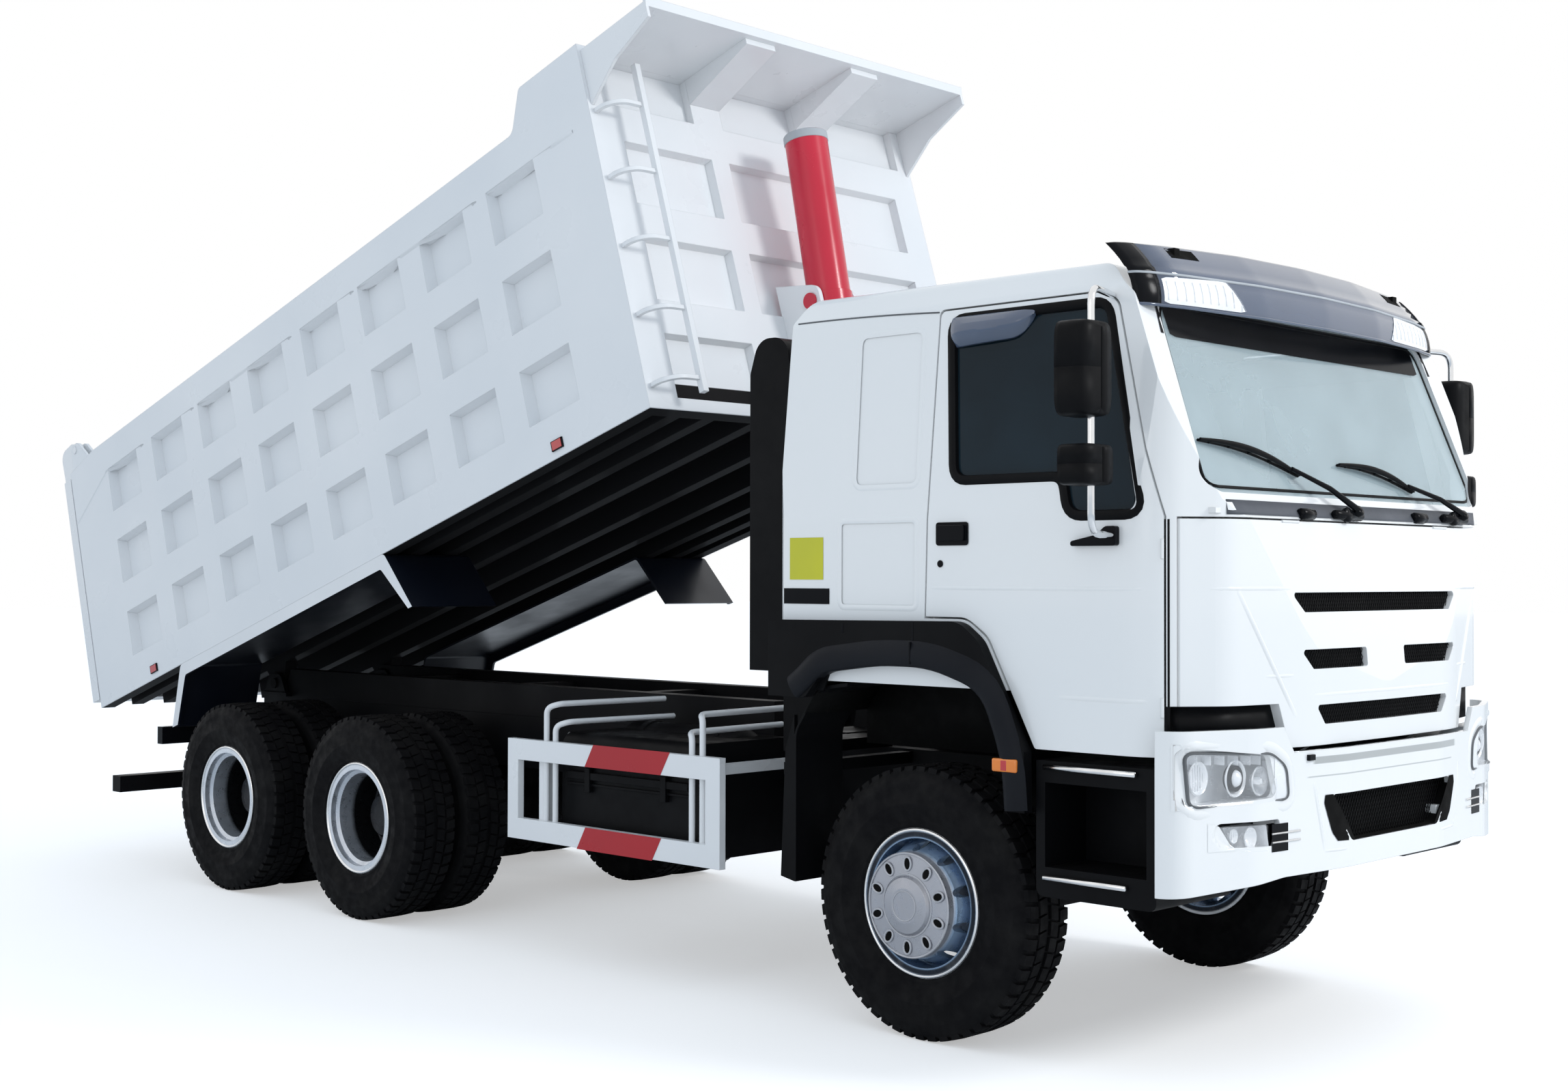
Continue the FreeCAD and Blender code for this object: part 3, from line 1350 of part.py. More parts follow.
def make_interior():
    """Seats, bunk, dashboard and steering wheel behind the glass."""
    floor = "cab_floor + 15 + seat_gap"
    solids = []
    for side, y_text in (("right", "-830"), ("left", "310")):
        solids.append(slab("seat_" + side, "XZ", [
            (along("150"), floor), (along("560"), floor), (along("600"), "cab_floor + 420", 50),
            (along("240"), "cab_floor + 400", 60), (along("80"), "cab_floor + 1130", 40),
            (along("-20"), "cab_floor + 1110", 40), (along("110"), "cab_floor + 330", 60),
        ], y_text, "520"))
    solids.append(slab("bunk", "XZ", [
        (along("-640"), floor), (along("-60"), floor), (along("-60"), "cab_floor + 420", 60),
        (along("-640"), "cab_floor + 420", 60),
    ], "-1080", "2160"))
    dash = slab("dashboard", "XZ", [
        (along("1060 - seat_gap"), "cab_floor + 250"), (along("1060 - seat_gap"), "cowl_z + 20", 60),
        (along("800"), "cowl_z - 20", 90), (along("760"), "cowl_z - 180", 60),
        (along("900"), "cab_floor + 250", 40),
    ], "-1060", "2120")
    wheel = turned("steering_rim", "XZ", [
        ("210", "-15"), ("240", "-15"), ("240", "15"), ("210", "15"),
    ], Vector(0, 0, 1))
    place(wheel, (along("680"), "570", "cowl_z - 10"), (0, -1, 0), "40")
    column = rod("steering_column", "26", "210", (along("680"), "570", "cowl_z - 10"))
    place(column, (along("680"), "570", "cowl_z - 10"), (0, 1, 0), "140")
    spoke = block("steering_spoke", ("24", "450", "16"), (along("668"), "345", "cowl_z - 18"))
    solids.append(fuse("dash_and_wheel", [dash, wheel, column, spoke]))
    return group("cab_interior", solids)


def make_mirrors():
    """The right mirror: two rear-facing housings on one bent post."""
    outer = "-cab_half - 330"
    post_y = "-cab_half - 205"
    main = slab("mirror_main", "YZ", rectangle(outer, "2440", "160", "325", 36),
                along("950"), "80")
    small = slab("mirror_small", "YZ", rectangle(outer, "2180", "160", "120", 30),
                 along("955"), "75")
    post = rod("mirror_post", "14", "868", (along("975"), post_y, "1975"))
    low_arm = rod("mirror_arm_low", "14", "260", (along("972"), post_y, "1980"), "y")
    top_arm = rod("mirror_arm_top", "14", "340", (along("972"), post_y, "2832"), "y")
    foot = slab("mirror_foot", "XZ", [
        (along("790"), "1935", 15), (along("985"), "1935", 15),
        (along("985"), "2010", 15), (along("880"), "1990", 30),
    ], "-cab_half - 26", "60")
    return cut("mirror_right", fuse("mirror_solid", [main, small, post, low_arm, top_arm, foot]),
               [cab_form("mirror_clear", "-seat_gap")])


# ---------------------------------------------------------------- bed

def bed_point(forward, up, *rounding):
    """A point of the bed, from its rear sill corner, drawn about the bed's pivot."""
    return (forward + " - bed_length + bed_reach", up + " + bed_pivot_drop") + rounding


def over_pivot(forward, up, *rounding):
    """A point of the bed given forward from its pivot."""
    return (forward, up + " + bed_pivot_drop") + rounding


def bed_place(node):
    return place(node, (along(BED_PIVOT_X), "0", "bed_pivot_z"), (0, -1, 0), "bed_tilt")


def bed_rectangle(forward, up, long, high):
    return rectangle(forward + " - bed_length + bed_reach", up + " + bed_pivot_drop", long, high)


def symmetric(body, kind, name, sketch, width):
    """A pad or pocket that runs equally to both sides of its sketch."""
    feature = body.newObject("PartDesign::" + kind, name)
    feature.Profile = sketch
    feature.Midplane = True
    bind(feature, "Length", width)
    return feature


def make_bed():
    body = doc.addObject("PartDesign::Body", "bed_shell")
    side = body_sketch(body, "bed_side_outline", "XZ_Plane", [
        bed_point("0", "0"),
        bed_point("bed_length", "0"),
        bed_point("bed_length", "bed_ear_height"),
        bed_point("bed_length - bed_ear_length", "bed_ear_height", "30"),
        bed_point("bed_length - bed_ear_length - 110", "bed_rail_height", "60"),
        bed_point("330", "bed_rail_height"),
        bed_point("0", "bed_rail_height - 45"),
    ])
    symmetric(body, "Pad", "bed_blank", side, "2 * bed_half")
    load = body_sketch(body, "load_space_outline", "XZ_Plane", bed_rectangle(
        "-100", "bed_floor", "bed_length - bed_front_wall + 100", "bed_ear_height"))
    inside = "2 * (bed_half - bed_wall)"
    symmetric(body, "Pocket", "load_space", load, inside)
    below = body_sketch(body, "under_floor_outline", "XZ_Plane", bed_rectangle(
        "-100", "-100", "bed_length + 10", "bed_floor_low + 100"))
    symmetric(body, "Pocket", "under_floor", below, inside)

    # floor stiffeners
    beams = body_sketch(body, "floor_beam_outline", "YZ_Plane")
    half = "bed_beam_width / 2"
    for y_text in ("-bed_pivot_y", "bed_pivot_y", "-720", "720", "-940", "940", "0"):
        draw(beams, rectangle(y_text + " - " + half, "bed_pivot_drop", "bed_beam_width",
                              "bed_floor_low + 5"))
    beam_pad = body.newObject("PartDesign::Pad", "floor_beams")
    beam_pad.Profile = beams
    bind(beam_pad, "Length", "bed_reach - 40")
    bind(beam_pad, "Length2", "bed_length - bed_reach - 60")
    beam_pad.SideType = "Two sides"

    # pressed bays along both sides
    bay = body_sketch(body, "side_bay_outline", "XZ_Plane", bed_rectangle(
        "bay_start", "bay_row_low", "bay_length", "bay_height"), "bed_half")
    pocket = body.newObject("PartDesign::Pocket", "side_bay")
    pocket.Profile = bay
    bind(pocket, "Length", "bay_depth")
    bind(pocket, "TaperAngle", "-bay_draft")
    doc.recompute()
    repeat_bays(body, "side_bays", pocket, bay, "bay_pitch", "bay_count", "bay_row_pitch",
                "bay_rows", "XZ_Plane")

    # pressed bays in the front wall
    front = body_sketch(body, "front_bay_outline", "YZ_Plane", rectangle(
        "-front_bay_pitch - front_bay_width / 2", "front_bay_low + bed_pivot_drop",
        "front_bay_width", "front_bay_height"), "bed_reach")
    pocket = body.newObject("PartDesign::Pocket", "front_bay")
    pocket.Profile = front
    bind(pocket, "Length", "front_bay_depth")
    bind(pocket, "TaperAngle", "-bay_draft")
    doc.recompute()
    repeat_bays(body, "front_bays", pocket, front, "front_bay_pitch", "3",
                "front_bay_row_pitch", "3", None)
    panel = body_sketch(body, "head_panel_outline", "YZ_Plane", None, "bed_reach")
    for start, width in (("-1060", "585"), ("-275", "550"), ("475", "585")):
        draw(panel, rectangle(start, "1545 + bed_pivot_drop", width, "canopy_low - 1545"))
    recess = body.newObject("PartDesign::Pocket", "head_panel")
    recess.Profile = panel
    bind(recess, "Length", "front_bay_depth")
    body.Tip = recess

    parts = [body]
    bores = []
    for side_name, sign in (("right", "-"), ("left", "")):
        knee = slab("pivot_knee_" + side_name, "XZ", [
            ("-130", "20 + bed_pivot_drop"), ("130", "20 + bed_pivot_drop"),
            ("bed_pivot_boss", "0"), ("-bed_pivot_boss", "0"),
        ], sign + "bed_pivot_y - bed_pivot_width / 2", "bed_pivot_width")
        boss = rod("pivot_boss_" + side_name, "bed_pivot_boss", "bed_pivot_width",
                   ("0", sign + "bed_pivot_y - bed_pivot_width / 2", "0"), "y")
        pin = rod("pivot_pin_" + side_name, "bed_pivot_pin", "bed_pivot_width + 88",
                  ("0", sign + "bed_pivot_y - bed_pivot_width / 2 - 44", "0"), "y")
        parts += [knee, boss, pin]
        cheek = slab("hoist_cheek_" + side_name, "XZ", [
            bed_point("bed_length - 5", "hoist_head_v - 260"),
            bed_point("bed_length + hoist_head_ahead + 62", "hoist_head_v - 62", "60"),
            bed_point("bed_length + hoist_head_ahead + 62", "hoist_head_v + 62", "60"),
            bed_point("bed_length - 5", "hoist_head_v + 160"),
        ], "cheek_gap" if sign == "" else "-cheek_gap - cheek_thick", "cheek_thick")
        bores.append(rod("cheek_bore_" + side_name, "trunnion_radius + seat_gap",
                         "cheek_thick + 2", (
                             "bed_reach + hoist_head_ahead",
                             "cheek_gap - 1" if sign == "" else "-cheek_gap - cheek_thick - 1",
                             "hoist_head_v + bed_pivot_drop"), "y"))
        parts.append(cheek)
        for index, shift in enumerate(("-26 - running_gap", "gate_arm_thick + running_gap")):
            low = "gate_arm_y + " + shift
            if sign == "-":
                low = "-gate_arm_y - (%s) - 20" % shift
            ear = slab("gate_ear_%s_%d" % (side_name, index), "XZ", [
                bed_point("5", "bed_rail_height - 80"), bed_point("260", "bed_rail_height - 30"),
                bed_point("gate_pivot_u + 42", "gate_pivot_v + 40", "40"),
                bed_point("gate_pivot_u - 42", "gate_pivot_v + 40", "40"),
            ], low, "20")
            parts.append(ear)
        bores.append(rod("gate_ear_bore_" + side_name, "gate_pin_radius + seat_gap", "140", (
            "gate_pivot_u - bed_length + bed_reach", sign + "(gate_arm_y + gate_arm_thick / 2) - 70",
            "gate_pivot_v + bed_pivot_drop"), "y"))
        bores.append(rod("gate_arm_way_" + side_name, "62", "gate_arm_thick + 2 * running_gap", (
            "gate_pivot_u - bed_length + bed_reach",
            "gate_arm_y - running_gap" if sign == "" else "-gate_arm_y - gate_arm_thick - running_gap",
            "gate_pivot_v + bed_pivot_drop"), "y"))
    bores.append(slab("hoist_way", "XZ", [
        bed_point("bed_length + 20", "-40"), bed_point("bed_length + 20", "200"),
        bed_point("bed_length - 42", "165"), bed_point("bed_length - 113", "-40"),
    ], "-barrel_radius", "2 * barrel_radius"))
    return bed_place(cut("bed_body", fuse("bed_solid", parts), bores))


def repeat_bays(body, name, pocket, sketch, pitch, count, row_pitch, rows, mirror_plane):
    """Repeat a pocket in a grid, and on the other side where a plane is named."""
    grid = body.newObject("PartDesign::MultiTransform", name)
    steps = []
    for axis, spacing, copies in (("H_Axis", pitch, count), ("V_Axis", row_pitch, rows)):
        line = doc.addObject("PartDesign::LinearPattern", name + "_" + axis)
        line.Direction = (sketch, [axis])
        bind(line, "Length", "(%s) * ((%s) - 1)" % (spacing, copies))
        bind(line, "Occurrences", copies)
        steps.append(line)
    if mirror_plane is not None:
        other = doc.addObject("PartDesign::Mirrored", name + "_other_side")
        other.MirrorPlane = (plane_of(body, mirror_plane), [""])
        steps.append(other)
    grid.Originals = [pocket]
    grid.Transformations = steps
    body.Tip = grid
    doc.recompute()
    return grid


def make_canopy():
    front = "bed_length + canopy_reach"
    plate = slab("canopy_plate", "XZ", [
        bed_point("bed_length + seat_gap", "canopy_low"),
        bed_point(front, "canopy_low"),
        bed_point(front + " + 8", "canopy_low + canopy_thick + 20"),
        bed_point(front + " - 8", "canopy_low + canopy_thick + 20"),
        bed_point(front + " - 14", "canopy_low + canopy_thick"),
        bed_point("bed_length + seat_gap", "canopy_low + canopy_thick"),
    ], "20 - bed_half", "2 * bed_half - 40")
    parts = [plate]
    for side, start in (("right", "20 - bed_half"), ("left", "bed_half - 38")):
        parts.append(slab("canopy_wing_" + side, "XZ", [
            bed_point("bed_length + seat_gap", "canopy_low - 260"),
            bed_point("bed_length + 215", "canopy_low - 130"),
            bed_point(front, "canopy_low - 55"),
            bed_point(front, "canopy_low + 5"),
            bed_point("bed_length + seat_gap", "canopy_low + 5"),
        ], start, "18"))
    for side, start in (("right", "-475"), ("left", "275")):
        parts.append(slab("canopy_rib_" + side, "XZ", [
            bed_point("bed_length + seat_gap", "canopy_low - 130"),
            bed_point(front + " - 30", "canopy_low - 30"),
            bed_point(front + " - 30", "canopy_low + 5"),
            bed_point("bed_length + seat_gap", "canopy_low + 5"),
        ], start, "200"))
    return bed_place(fuse("canopy", parts))


def make_bed_fenders():
    top = slab("fender_skin", "XZ", [
        over_pivot("2550", "-341"), over_pivot("2380", "-seat_gap", "40"),
        over_pivot("120", "-seat_gap", "40"), over_pivot("-80", "-341"),
        over_pivot("-66", "-341"), over_pivot("134", "-14", "30"),
        over_pivot("2366", "-14", "30"), over_pivot("2536", "-341"),
    ], "-bed_half + 3", "540")
    edge = slab("fender_edge", "XZ", [
        over_pivot("2550", "-341"), over_pivot("2380", "-seat_gap", "40"),
        over_pivot("120", "-seat_gap", "40"), over_pivot("-80", "-341"),
        over_pivot("-15", "-341"), over_pivot("160", "-72", "30"),
        over_pivot("2330", "-72", "30"), over_pivot("2514", "-341"),
    ], "-bed_half", "16")
    right = fuse("fender_right", [top, edge])
    return bed_place(both_sides("bed_fenders", right))


def make_ladder():
    stile = slab("ladder_stile", "XZ", [
        bed_point("bed_length + 118", "40"), bed_point("bed_length + 150", "40"),
        bed_point("bed_length + 150", "1700"), bed_point("bed_length + 118", "1700"),
    ], "-950", "32")
    rungs = [
        slab("ladder_rung_%d" % index, "XY", [
            ("bed_reach + seat_gap", "-1130"),
            ("bed_reach + 140", "-1130", 110),
            ("bed_reach + 140", "-930"),
            ("bed_reach + 120", "-930"),
            ("bed_reach + 120", "-1110", 95),
            ("bed_reach + seat_gap", "-1110"),
        ], "bed_pivot_drop + 100 + %d" % (index * 345), "20")
        for index in range(5)
    ]
    return bed_place(fuse("ladder", [stile] + rungs))


def make_tailgate():
    back = "-gate_gap - gate_thick"
    plate = block("gate_plate", ("30", "2 * bed_half", "gate_top - gate_low"),
                  ("-gate_gap - 30 - bed_length + bed_reach", "-bed_half", "gate_low + bed_pivot_drop"))
    parts = [plate]
    for index, height in enumerate(("gate_low", "gate_low + 500", "gate_low + 1000",
                                    "gate_top - 110")):
        parts.append(block("gate_rail_%d" % index, ("gate_thick", "2 * bed_half", "110"),
                           (back + " - bed_length + bed_reach", "-bed_half", height + " + bed_pivot_drop")))
    for index in range(5):
        parts.append(block("gate_post_%d" % index,
                           ("gate_thick", "110", "gate_top - gate_low"),
                           (back + " - bed_length + bed_reach",
                            "-bed_half + (2 * bed_half - 110) * %d / 4" % index,
                            "gate_low + bed_pivot_drop")))
    for side, sign in (("right", "-"), ("left", "")):
        start = "gate_arm_y" if sign == "" else "-gate_arm_y - gate_arm_thick"
        parts.append(slab("gate_arm_" + side, "XZ", [
            bed_point(back + " + 5", "1380"),
            bed_point(back + " - 60", "1560", "60"),
            bed_point(back + " - 75", "gate_pivot_v + 60", "70"),
            bed_point("gate_pivot_u - 90", "gate_pivot_v + 75", "60"),
            bed_point("gate_pivot_u + 45", "gate_pivot_v + 30", "34"),
            bed_point("gate_pivot_u + 25", "gate_pivot_v - 45", "30"),
            bed_point("gate_pivot_u - 90", "gate_pivot_v - 30", "40"),
            bed_point("-gate_gap", "gate_top - 10"),
            bed_point("-gate_gap", "1380"),
        ], start, "gate_arm_thick"))
        parts.append(rod("gate_pin_" + side, "gate_pin_radius", "gate_arm_thick + 64", (
            "gate_pivot_u - bed_length + bed_reach",
            sign + "(gate_arm_y + gate_arm_thick / 2) - gate_arm_thick / 2 - 32",
            "gate_pivot_v + bed_pivot_drop"), "y"))
    return bed_place(fuse("tailgate", parts))


# ---------------------------------------------------------------- hoist

HEAD_X = ("(axle_front + " + BED_PIVOT_X + " + (bed_reach + hoist_head_ahead) * cos(bed_tilt)"
          " - (hoist_head_v + bed_pivot_drop) * sin(bed_tilt))")
HEAD_Z = ("(bed_pivot_z + (bed_reach + hoist_head_ahead) * sin(bed_tilt)"
          " + (hoist_head_v + bed_pivot_drop) * cos(bed_tilt))")
LEAN = "atan((axle_front + %s - %s) / (%s - hoist_foot_z))" % (HOIST_FOOT_X, HEAD_X, HEAD_Z)
HOIST_LENGTH = "((%s - hoist_foot_z) / cos(%s))" % (HEAD_Z, LEAN)


def hoist_place(node):
    return place(node, (HEAD_X, "0", HEAD_Z), (0, -1, 0), LEAN)


def make_hoist():
    """Barrel and four stages, drawn downwards from the trunnion."""
    tube = rod("barrel_tube", "barrel_radius", "barrel_above + barrel_below",
               ("0", "0", "-barrel_below"))
    hollow = rod("barrel_hollow", "barrel_radius - barrel_wall",
                 "barrel_above + barrel_below - 42", ("0", "0", "30 - barrel_below"))
    mouth = rod("barrel_mouth", "barrel_radius - stage_step + seat_gap", "32",
                ("0", "0", "-barrel_below - 1"))
    collar = rod("barrel_collar", "barrel_radius + 7", "90", ("0", "0", "-45"))
    trunnion = rod("barrel_trunnion", "trunnion_radius", "2 * (cheek_gap + cheek_thick + 12)",
                   ("0", "-cheek_gap - cheek_thick - 12", "0"), "y")
    barrel = cut("hoist_barrel", fuse("barrel_solid", [tube, collar, trunnion]), [hollow, mouth])
    nodes = [hoist_place(barrel)]
    for index in range(1, 5):
        outer = "barrel_radius - stage_step * %d" % index
        low = "-barrel_below - stage_show * %d" % index
        stage = rod("stage_tube_%d" % index, outer, "stage_length", ("0", "0", low))
        head = rod("stage_head_%d" % index, outer + " + stage_step - barrel_wall - seat_gap", "24",
                   ("0", "0", low + " + stage_length - 24"))
        solid = fuse("stage_solid_%d" % index, [stage, head])
        tools = [
            rod("stage_hollow_%d" % index, outer + " - barrel_wall", "stage_length",
                ("0", "0", low + " + 30")),
            rod("stage_mouth_%d" % index, outer + " - stage_step + seat_gap", "32",
                ("0", "0", low + " - 1")),
        ]
        if index == 4:
            eye_bar = rod("hoist_eye_neck", "barrel_radius - stage_step * 4 - 10",
                          HOIST_LENGTH + " - barrel_below - stage_show * 4 + 60",
                          ("0", "0", "-" + HOIST_LENGTH))
            eye = rod("hoist_eye", "eye_radius", "2 * (cheek_gap - running_gap)",
                      ("0", "running_gap - cheek_gap", "-" + HOIST_LENGTH), "y")
            solid = fuse("stage_eye_solid", [cut("stage_inner_cut", solid, tools[:1]), eye_bar, eye])
            solid.Label = "hoist_stage_4"
            nodes.append(hoist_place(solid))
            continue
        nodes.append(hoist_place(cut("hoist_stage_%d" % index, solid, tools)))
    return nodes


def make_hoist_base():
    foot = along(HOIST_FOOT_X)
    cross = block("hoist_cross", ("230", "2 * rail_outer", "50"),
                  (foot + " - 115", "-rail_outer", "rail_top + seat_gap"))
    parts = [cross]
    bores = []
    for side, start in (("right", "-cheek_gap - cheek_thick"), ("left", "cheek_gap")):
        parts.append(slab("foot_cheek_" + side, "XZ", [
            (foot + " - 110", "rail_top + 40"), (foot + " + 110", "rail_top + 40"),
            (foot + " + 62", "hoist_foot_z + 62", 60), (foot + " - 62", "hoist_foot_z + 62", 60),
        ], start, "cheek_thick"))
        bores.append(rod("foot_bore_" + side, "32", "cheek_thick + 2",
                         (foot, start + " - 1", "hoist_foot_z"), "y"))
    return cut("hoist_base", fuse("hoist_base_solid", parts), bores)


# ---------------------------------------------------------------- fittings

def make_air_intake():
    stack = slab("intake_stack", "XZ", [
        (along("-1010"), "1420"), (along("-cab_rear - 50"), "1420"),
        (along("-cab_rear - 30"), "2640", 60), (along("-cab_rear - 60"), "2850", 90),
        (along("-960"), "2850", 90), (along("-1010"), "2700", 60),
    ], "-1080", "260")
    leg = block("intake_leg", ("180", "60", "1425 - rail_top"),
                (along("-980"), "-900", "rail_top - 50 + 50"))
    bracket = block("intake_bracket", ("180", "520", "50"),
                    (along("-980"), "-rail_outer - 470", "rail_top + seat_gap"))
    return fuse("air_intake", [stack, leg, bracket])


def make_underrun():
    bar = block("underrun_bar", ("underrun_size", "2 * underrun_half", "underrun_size"),
                (along("-" + UNDERRUN_X + " - underrun_size / 2"), "-underrun_half", "underrun_low"))
    stays = []
    for side, start in (("right", "-rail_outer - 24 - seat_gap"),
                        ("left", "rail_outer + seat_gap")):
        stays.append(slab("underrun_stay_" + side, "XZ", [
            (along("-" + UNDERRUN_X + " - 50"), "underrun_low + 10"),
            (along("-" + UNDERRUN_X + " + 50"), "underrun_low + 10"),
            (along("-" + RAIL_REAR + " + 240"), "rail_top - rail_height + 30"),
            (along("-" + RAIL_REAR + " + 200"), "rail_top - 60"),
            (along("-" + RAIL_REAR + " + 10"), "rail_top - 60"),
        ], start, "24"))
    return fuse("underrun", [bar] + stays)


def make_tail_lamps():
    lamp = block("tail_lamp_box", ("60", "330", "105"), (along("50 - " + RAIL_REAR), "-1190", "790"))
    arm = block("tail_lamp_arm", ("40", "871 - rail_outer - 24 - 2 * seat_gap", "40"),
                (along("60 - " + RAIL_REAR), "-871", "820"))
    return both_sides("tail_lamps", fuse("tail_lamp_right", [lamp, arm]))


# ---------------------------------------------------------------- assembly

def build():
    nodes = wheel_nodes()
    knuckle = make_knuckle()
    nodes += [make_front_axle(), knuckle, mirrored("knuckle_left", knuckle), make_tie_rod()]
    nodes += [make_rear_axles(), make_springs(), make_frame(), make_subframe()]
    nodes += [make_bumper(), make_lamps(), make_steps(), make_mudguards(), make_side_guards()]
    nodes += make_tanks()
    nodes += make_driveline()
    nodes += cab_nodes()
    nodes += [make_visor(), make_flares(), make_wipers(), make_interior()]
    mirror = make_mirrors()
    nodes += [mirror, mirrored("mirror_left", mirror)]
    nodes += [make_bed(), make_canopy(), make_bed_fenders(), make_ladder(), make_tailgate()]
    nodes += make_hoist()
    nodes += [make_hoist_base(), make_air_intake(), make_underrun(), make_tail_lamps()]
    return nodes


def check(nodes):
    """Stop on any failed object or faulty shape before anything is written."""
    doc.recompute()
    for item in doc.Objects:
        if "Invalid" in item.State or "Error" in item.State:
            raise RuntimeError("failed object: %s %s" % (item.Name, item.State))
    for node in nodes:
        if node.Shape.isNull() or not node.Shape.isValid() or not node.Shape.Solids:
            raise RuntimeError("faulty sub-part: " + node.Label)


def export(nodes):
    os.makedirs("parts", exist_ok=True)
    for node in nodes:
        node.Shape.exportStep("parts/%s.step" % node.Label)


NODES = build()
check(NODES)
export(NODES)
box = FreeCAD.BoundBox()
for node in NODES:
    box.add(node.Shape.BoundBox)
print("%d sub-parts, X %.1f to %.1f, Y %.1f to %.1f, Z %.1f to %.1f" % (
    len(NODES), box.XMin, box.XMax, box.YMin, box.YMax, box.ZMin, box.ZMax))
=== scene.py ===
import bpy, bmesh, json, math
from mathutils import Matrix, Vector
from mathutils.bvhtree import BVHTree


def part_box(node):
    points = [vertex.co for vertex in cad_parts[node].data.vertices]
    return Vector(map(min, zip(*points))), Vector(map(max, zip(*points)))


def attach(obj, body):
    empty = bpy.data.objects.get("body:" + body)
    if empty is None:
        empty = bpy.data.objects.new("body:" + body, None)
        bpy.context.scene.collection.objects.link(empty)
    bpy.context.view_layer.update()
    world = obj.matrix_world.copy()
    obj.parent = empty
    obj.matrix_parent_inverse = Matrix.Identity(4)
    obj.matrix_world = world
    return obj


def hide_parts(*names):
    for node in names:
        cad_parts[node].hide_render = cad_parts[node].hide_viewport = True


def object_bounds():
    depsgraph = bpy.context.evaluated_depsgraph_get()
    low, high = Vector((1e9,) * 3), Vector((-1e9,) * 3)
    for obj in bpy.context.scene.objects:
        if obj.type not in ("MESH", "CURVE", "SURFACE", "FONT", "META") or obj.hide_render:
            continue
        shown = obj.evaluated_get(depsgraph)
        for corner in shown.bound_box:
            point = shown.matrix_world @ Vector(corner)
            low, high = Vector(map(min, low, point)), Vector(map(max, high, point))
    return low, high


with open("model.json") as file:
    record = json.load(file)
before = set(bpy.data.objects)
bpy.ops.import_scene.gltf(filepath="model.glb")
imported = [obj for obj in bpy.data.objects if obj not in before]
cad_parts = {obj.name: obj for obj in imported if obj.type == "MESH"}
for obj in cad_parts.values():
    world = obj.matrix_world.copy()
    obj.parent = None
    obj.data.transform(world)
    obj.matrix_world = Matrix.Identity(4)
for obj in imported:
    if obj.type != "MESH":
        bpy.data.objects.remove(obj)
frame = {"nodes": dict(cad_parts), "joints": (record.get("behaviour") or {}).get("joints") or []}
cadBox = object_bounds()
print("frame loaded")

parts = frame["nodes"]
sideNames = {-1: "right", 1: "left"}
doorBodies = {-1: "door_r", 1: "door_l"}


def middle(node):
    low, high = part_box(node)
    return (Vector(low) + Vector(high)) / 2


# every length along the truck starts at the front axle
axleX = middle("tyre_front_right").x


def fromAxle(x, y, z):
    return Vector((axleX + x, y, z))


# the bed's own directions: it rests raised, leaning about its hinge
bedHinge = tuple(next(joint for joint in frame["joints"] if joint["name"] == "bed_tip")["pos_m"])
bedLean = math.radians(17)
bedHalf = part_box("bed_body")[1][1]
bedFront = bedHinge[0] + 4.59


def onBed(along, across, up):
    c, s = math.cos(bedLean), math.sin(bedLean)
    a, b = along - 0.95, up + 0.112
    return Vector((bedHinge[0] + a * c - b * s, across, bedHinge[2] + a * s + b * c))


# camera and light
cameraSet = {
    "place": (4.901, -6.907, 1.827), "azimuth": 44.39, "elevation": -0.91, "roll": 0.12,
    "lens": 43.95, "sensor": 36, "farthest": 300,
}


def addCamera():
    a, e = math.radians(cameraSet["azimuth"]), math.radians(cameraSet["elevation"])
    back = Vector((math.sin(a) * math.cos(e), -math.cos(a) * math.cos(e), math.sin(e)))
    data = bpy.data.cameras.new("camera")
    data.lens = cameraSet["lens"]
    data.sensor_width = cameraSet["sensor"]
    data.clip_end = cameraSet["farthest"]
    camera = bpy.data.objects.new("camera", data)
    bpy.context.scene.collection.objects.link(camera)
    turn = (-back).to_track_quat("-Z", "Y").to_matrix().to_4x4()
    roll = Matrix.Rotation(math.radians(cameraSet["roll"]), 4, "Z")
    camera.matrix_world = Matrix.Translation(fromAxle(*cameraSet["place"])) @ turn @ roll
    bpy.context.scene.camera = camera


lightSet = {
    "sky": (0.78, 0.885, 1.0), "skyPower": 0.90,
    # place and target from the front axle, size, power
    "lamps": {"key": ((10, 3.5, 8), (-1.0, 0, 1.5), 3, 640),
              "fill": ((2, -11, 5), (-1.5, 0, 1.5), 6, 60)},
    "floor": (0.80, 0.80, 0.80), "floorHalf": 90, "floorRoughness": 0.9, "floorLift": 0.42,
}


def addLight(name, place, target, size, power):
    data = bpy.data.lights.new(name, "AREA")
    data.shape = "DISK"
    data.size = size
    data.energy = power
    lamp = bpy.data.objects.new(name, data)
    bpy.context.scene.collection.objects.link(lamp)
    lamp.location = fromAxle(*place)
    lamp.rotation_mode = "QUATERNION"
    lamp.rotation_quaternion = (Vector(target) - Vector(place)).to_track_quat("-Z", "Y")


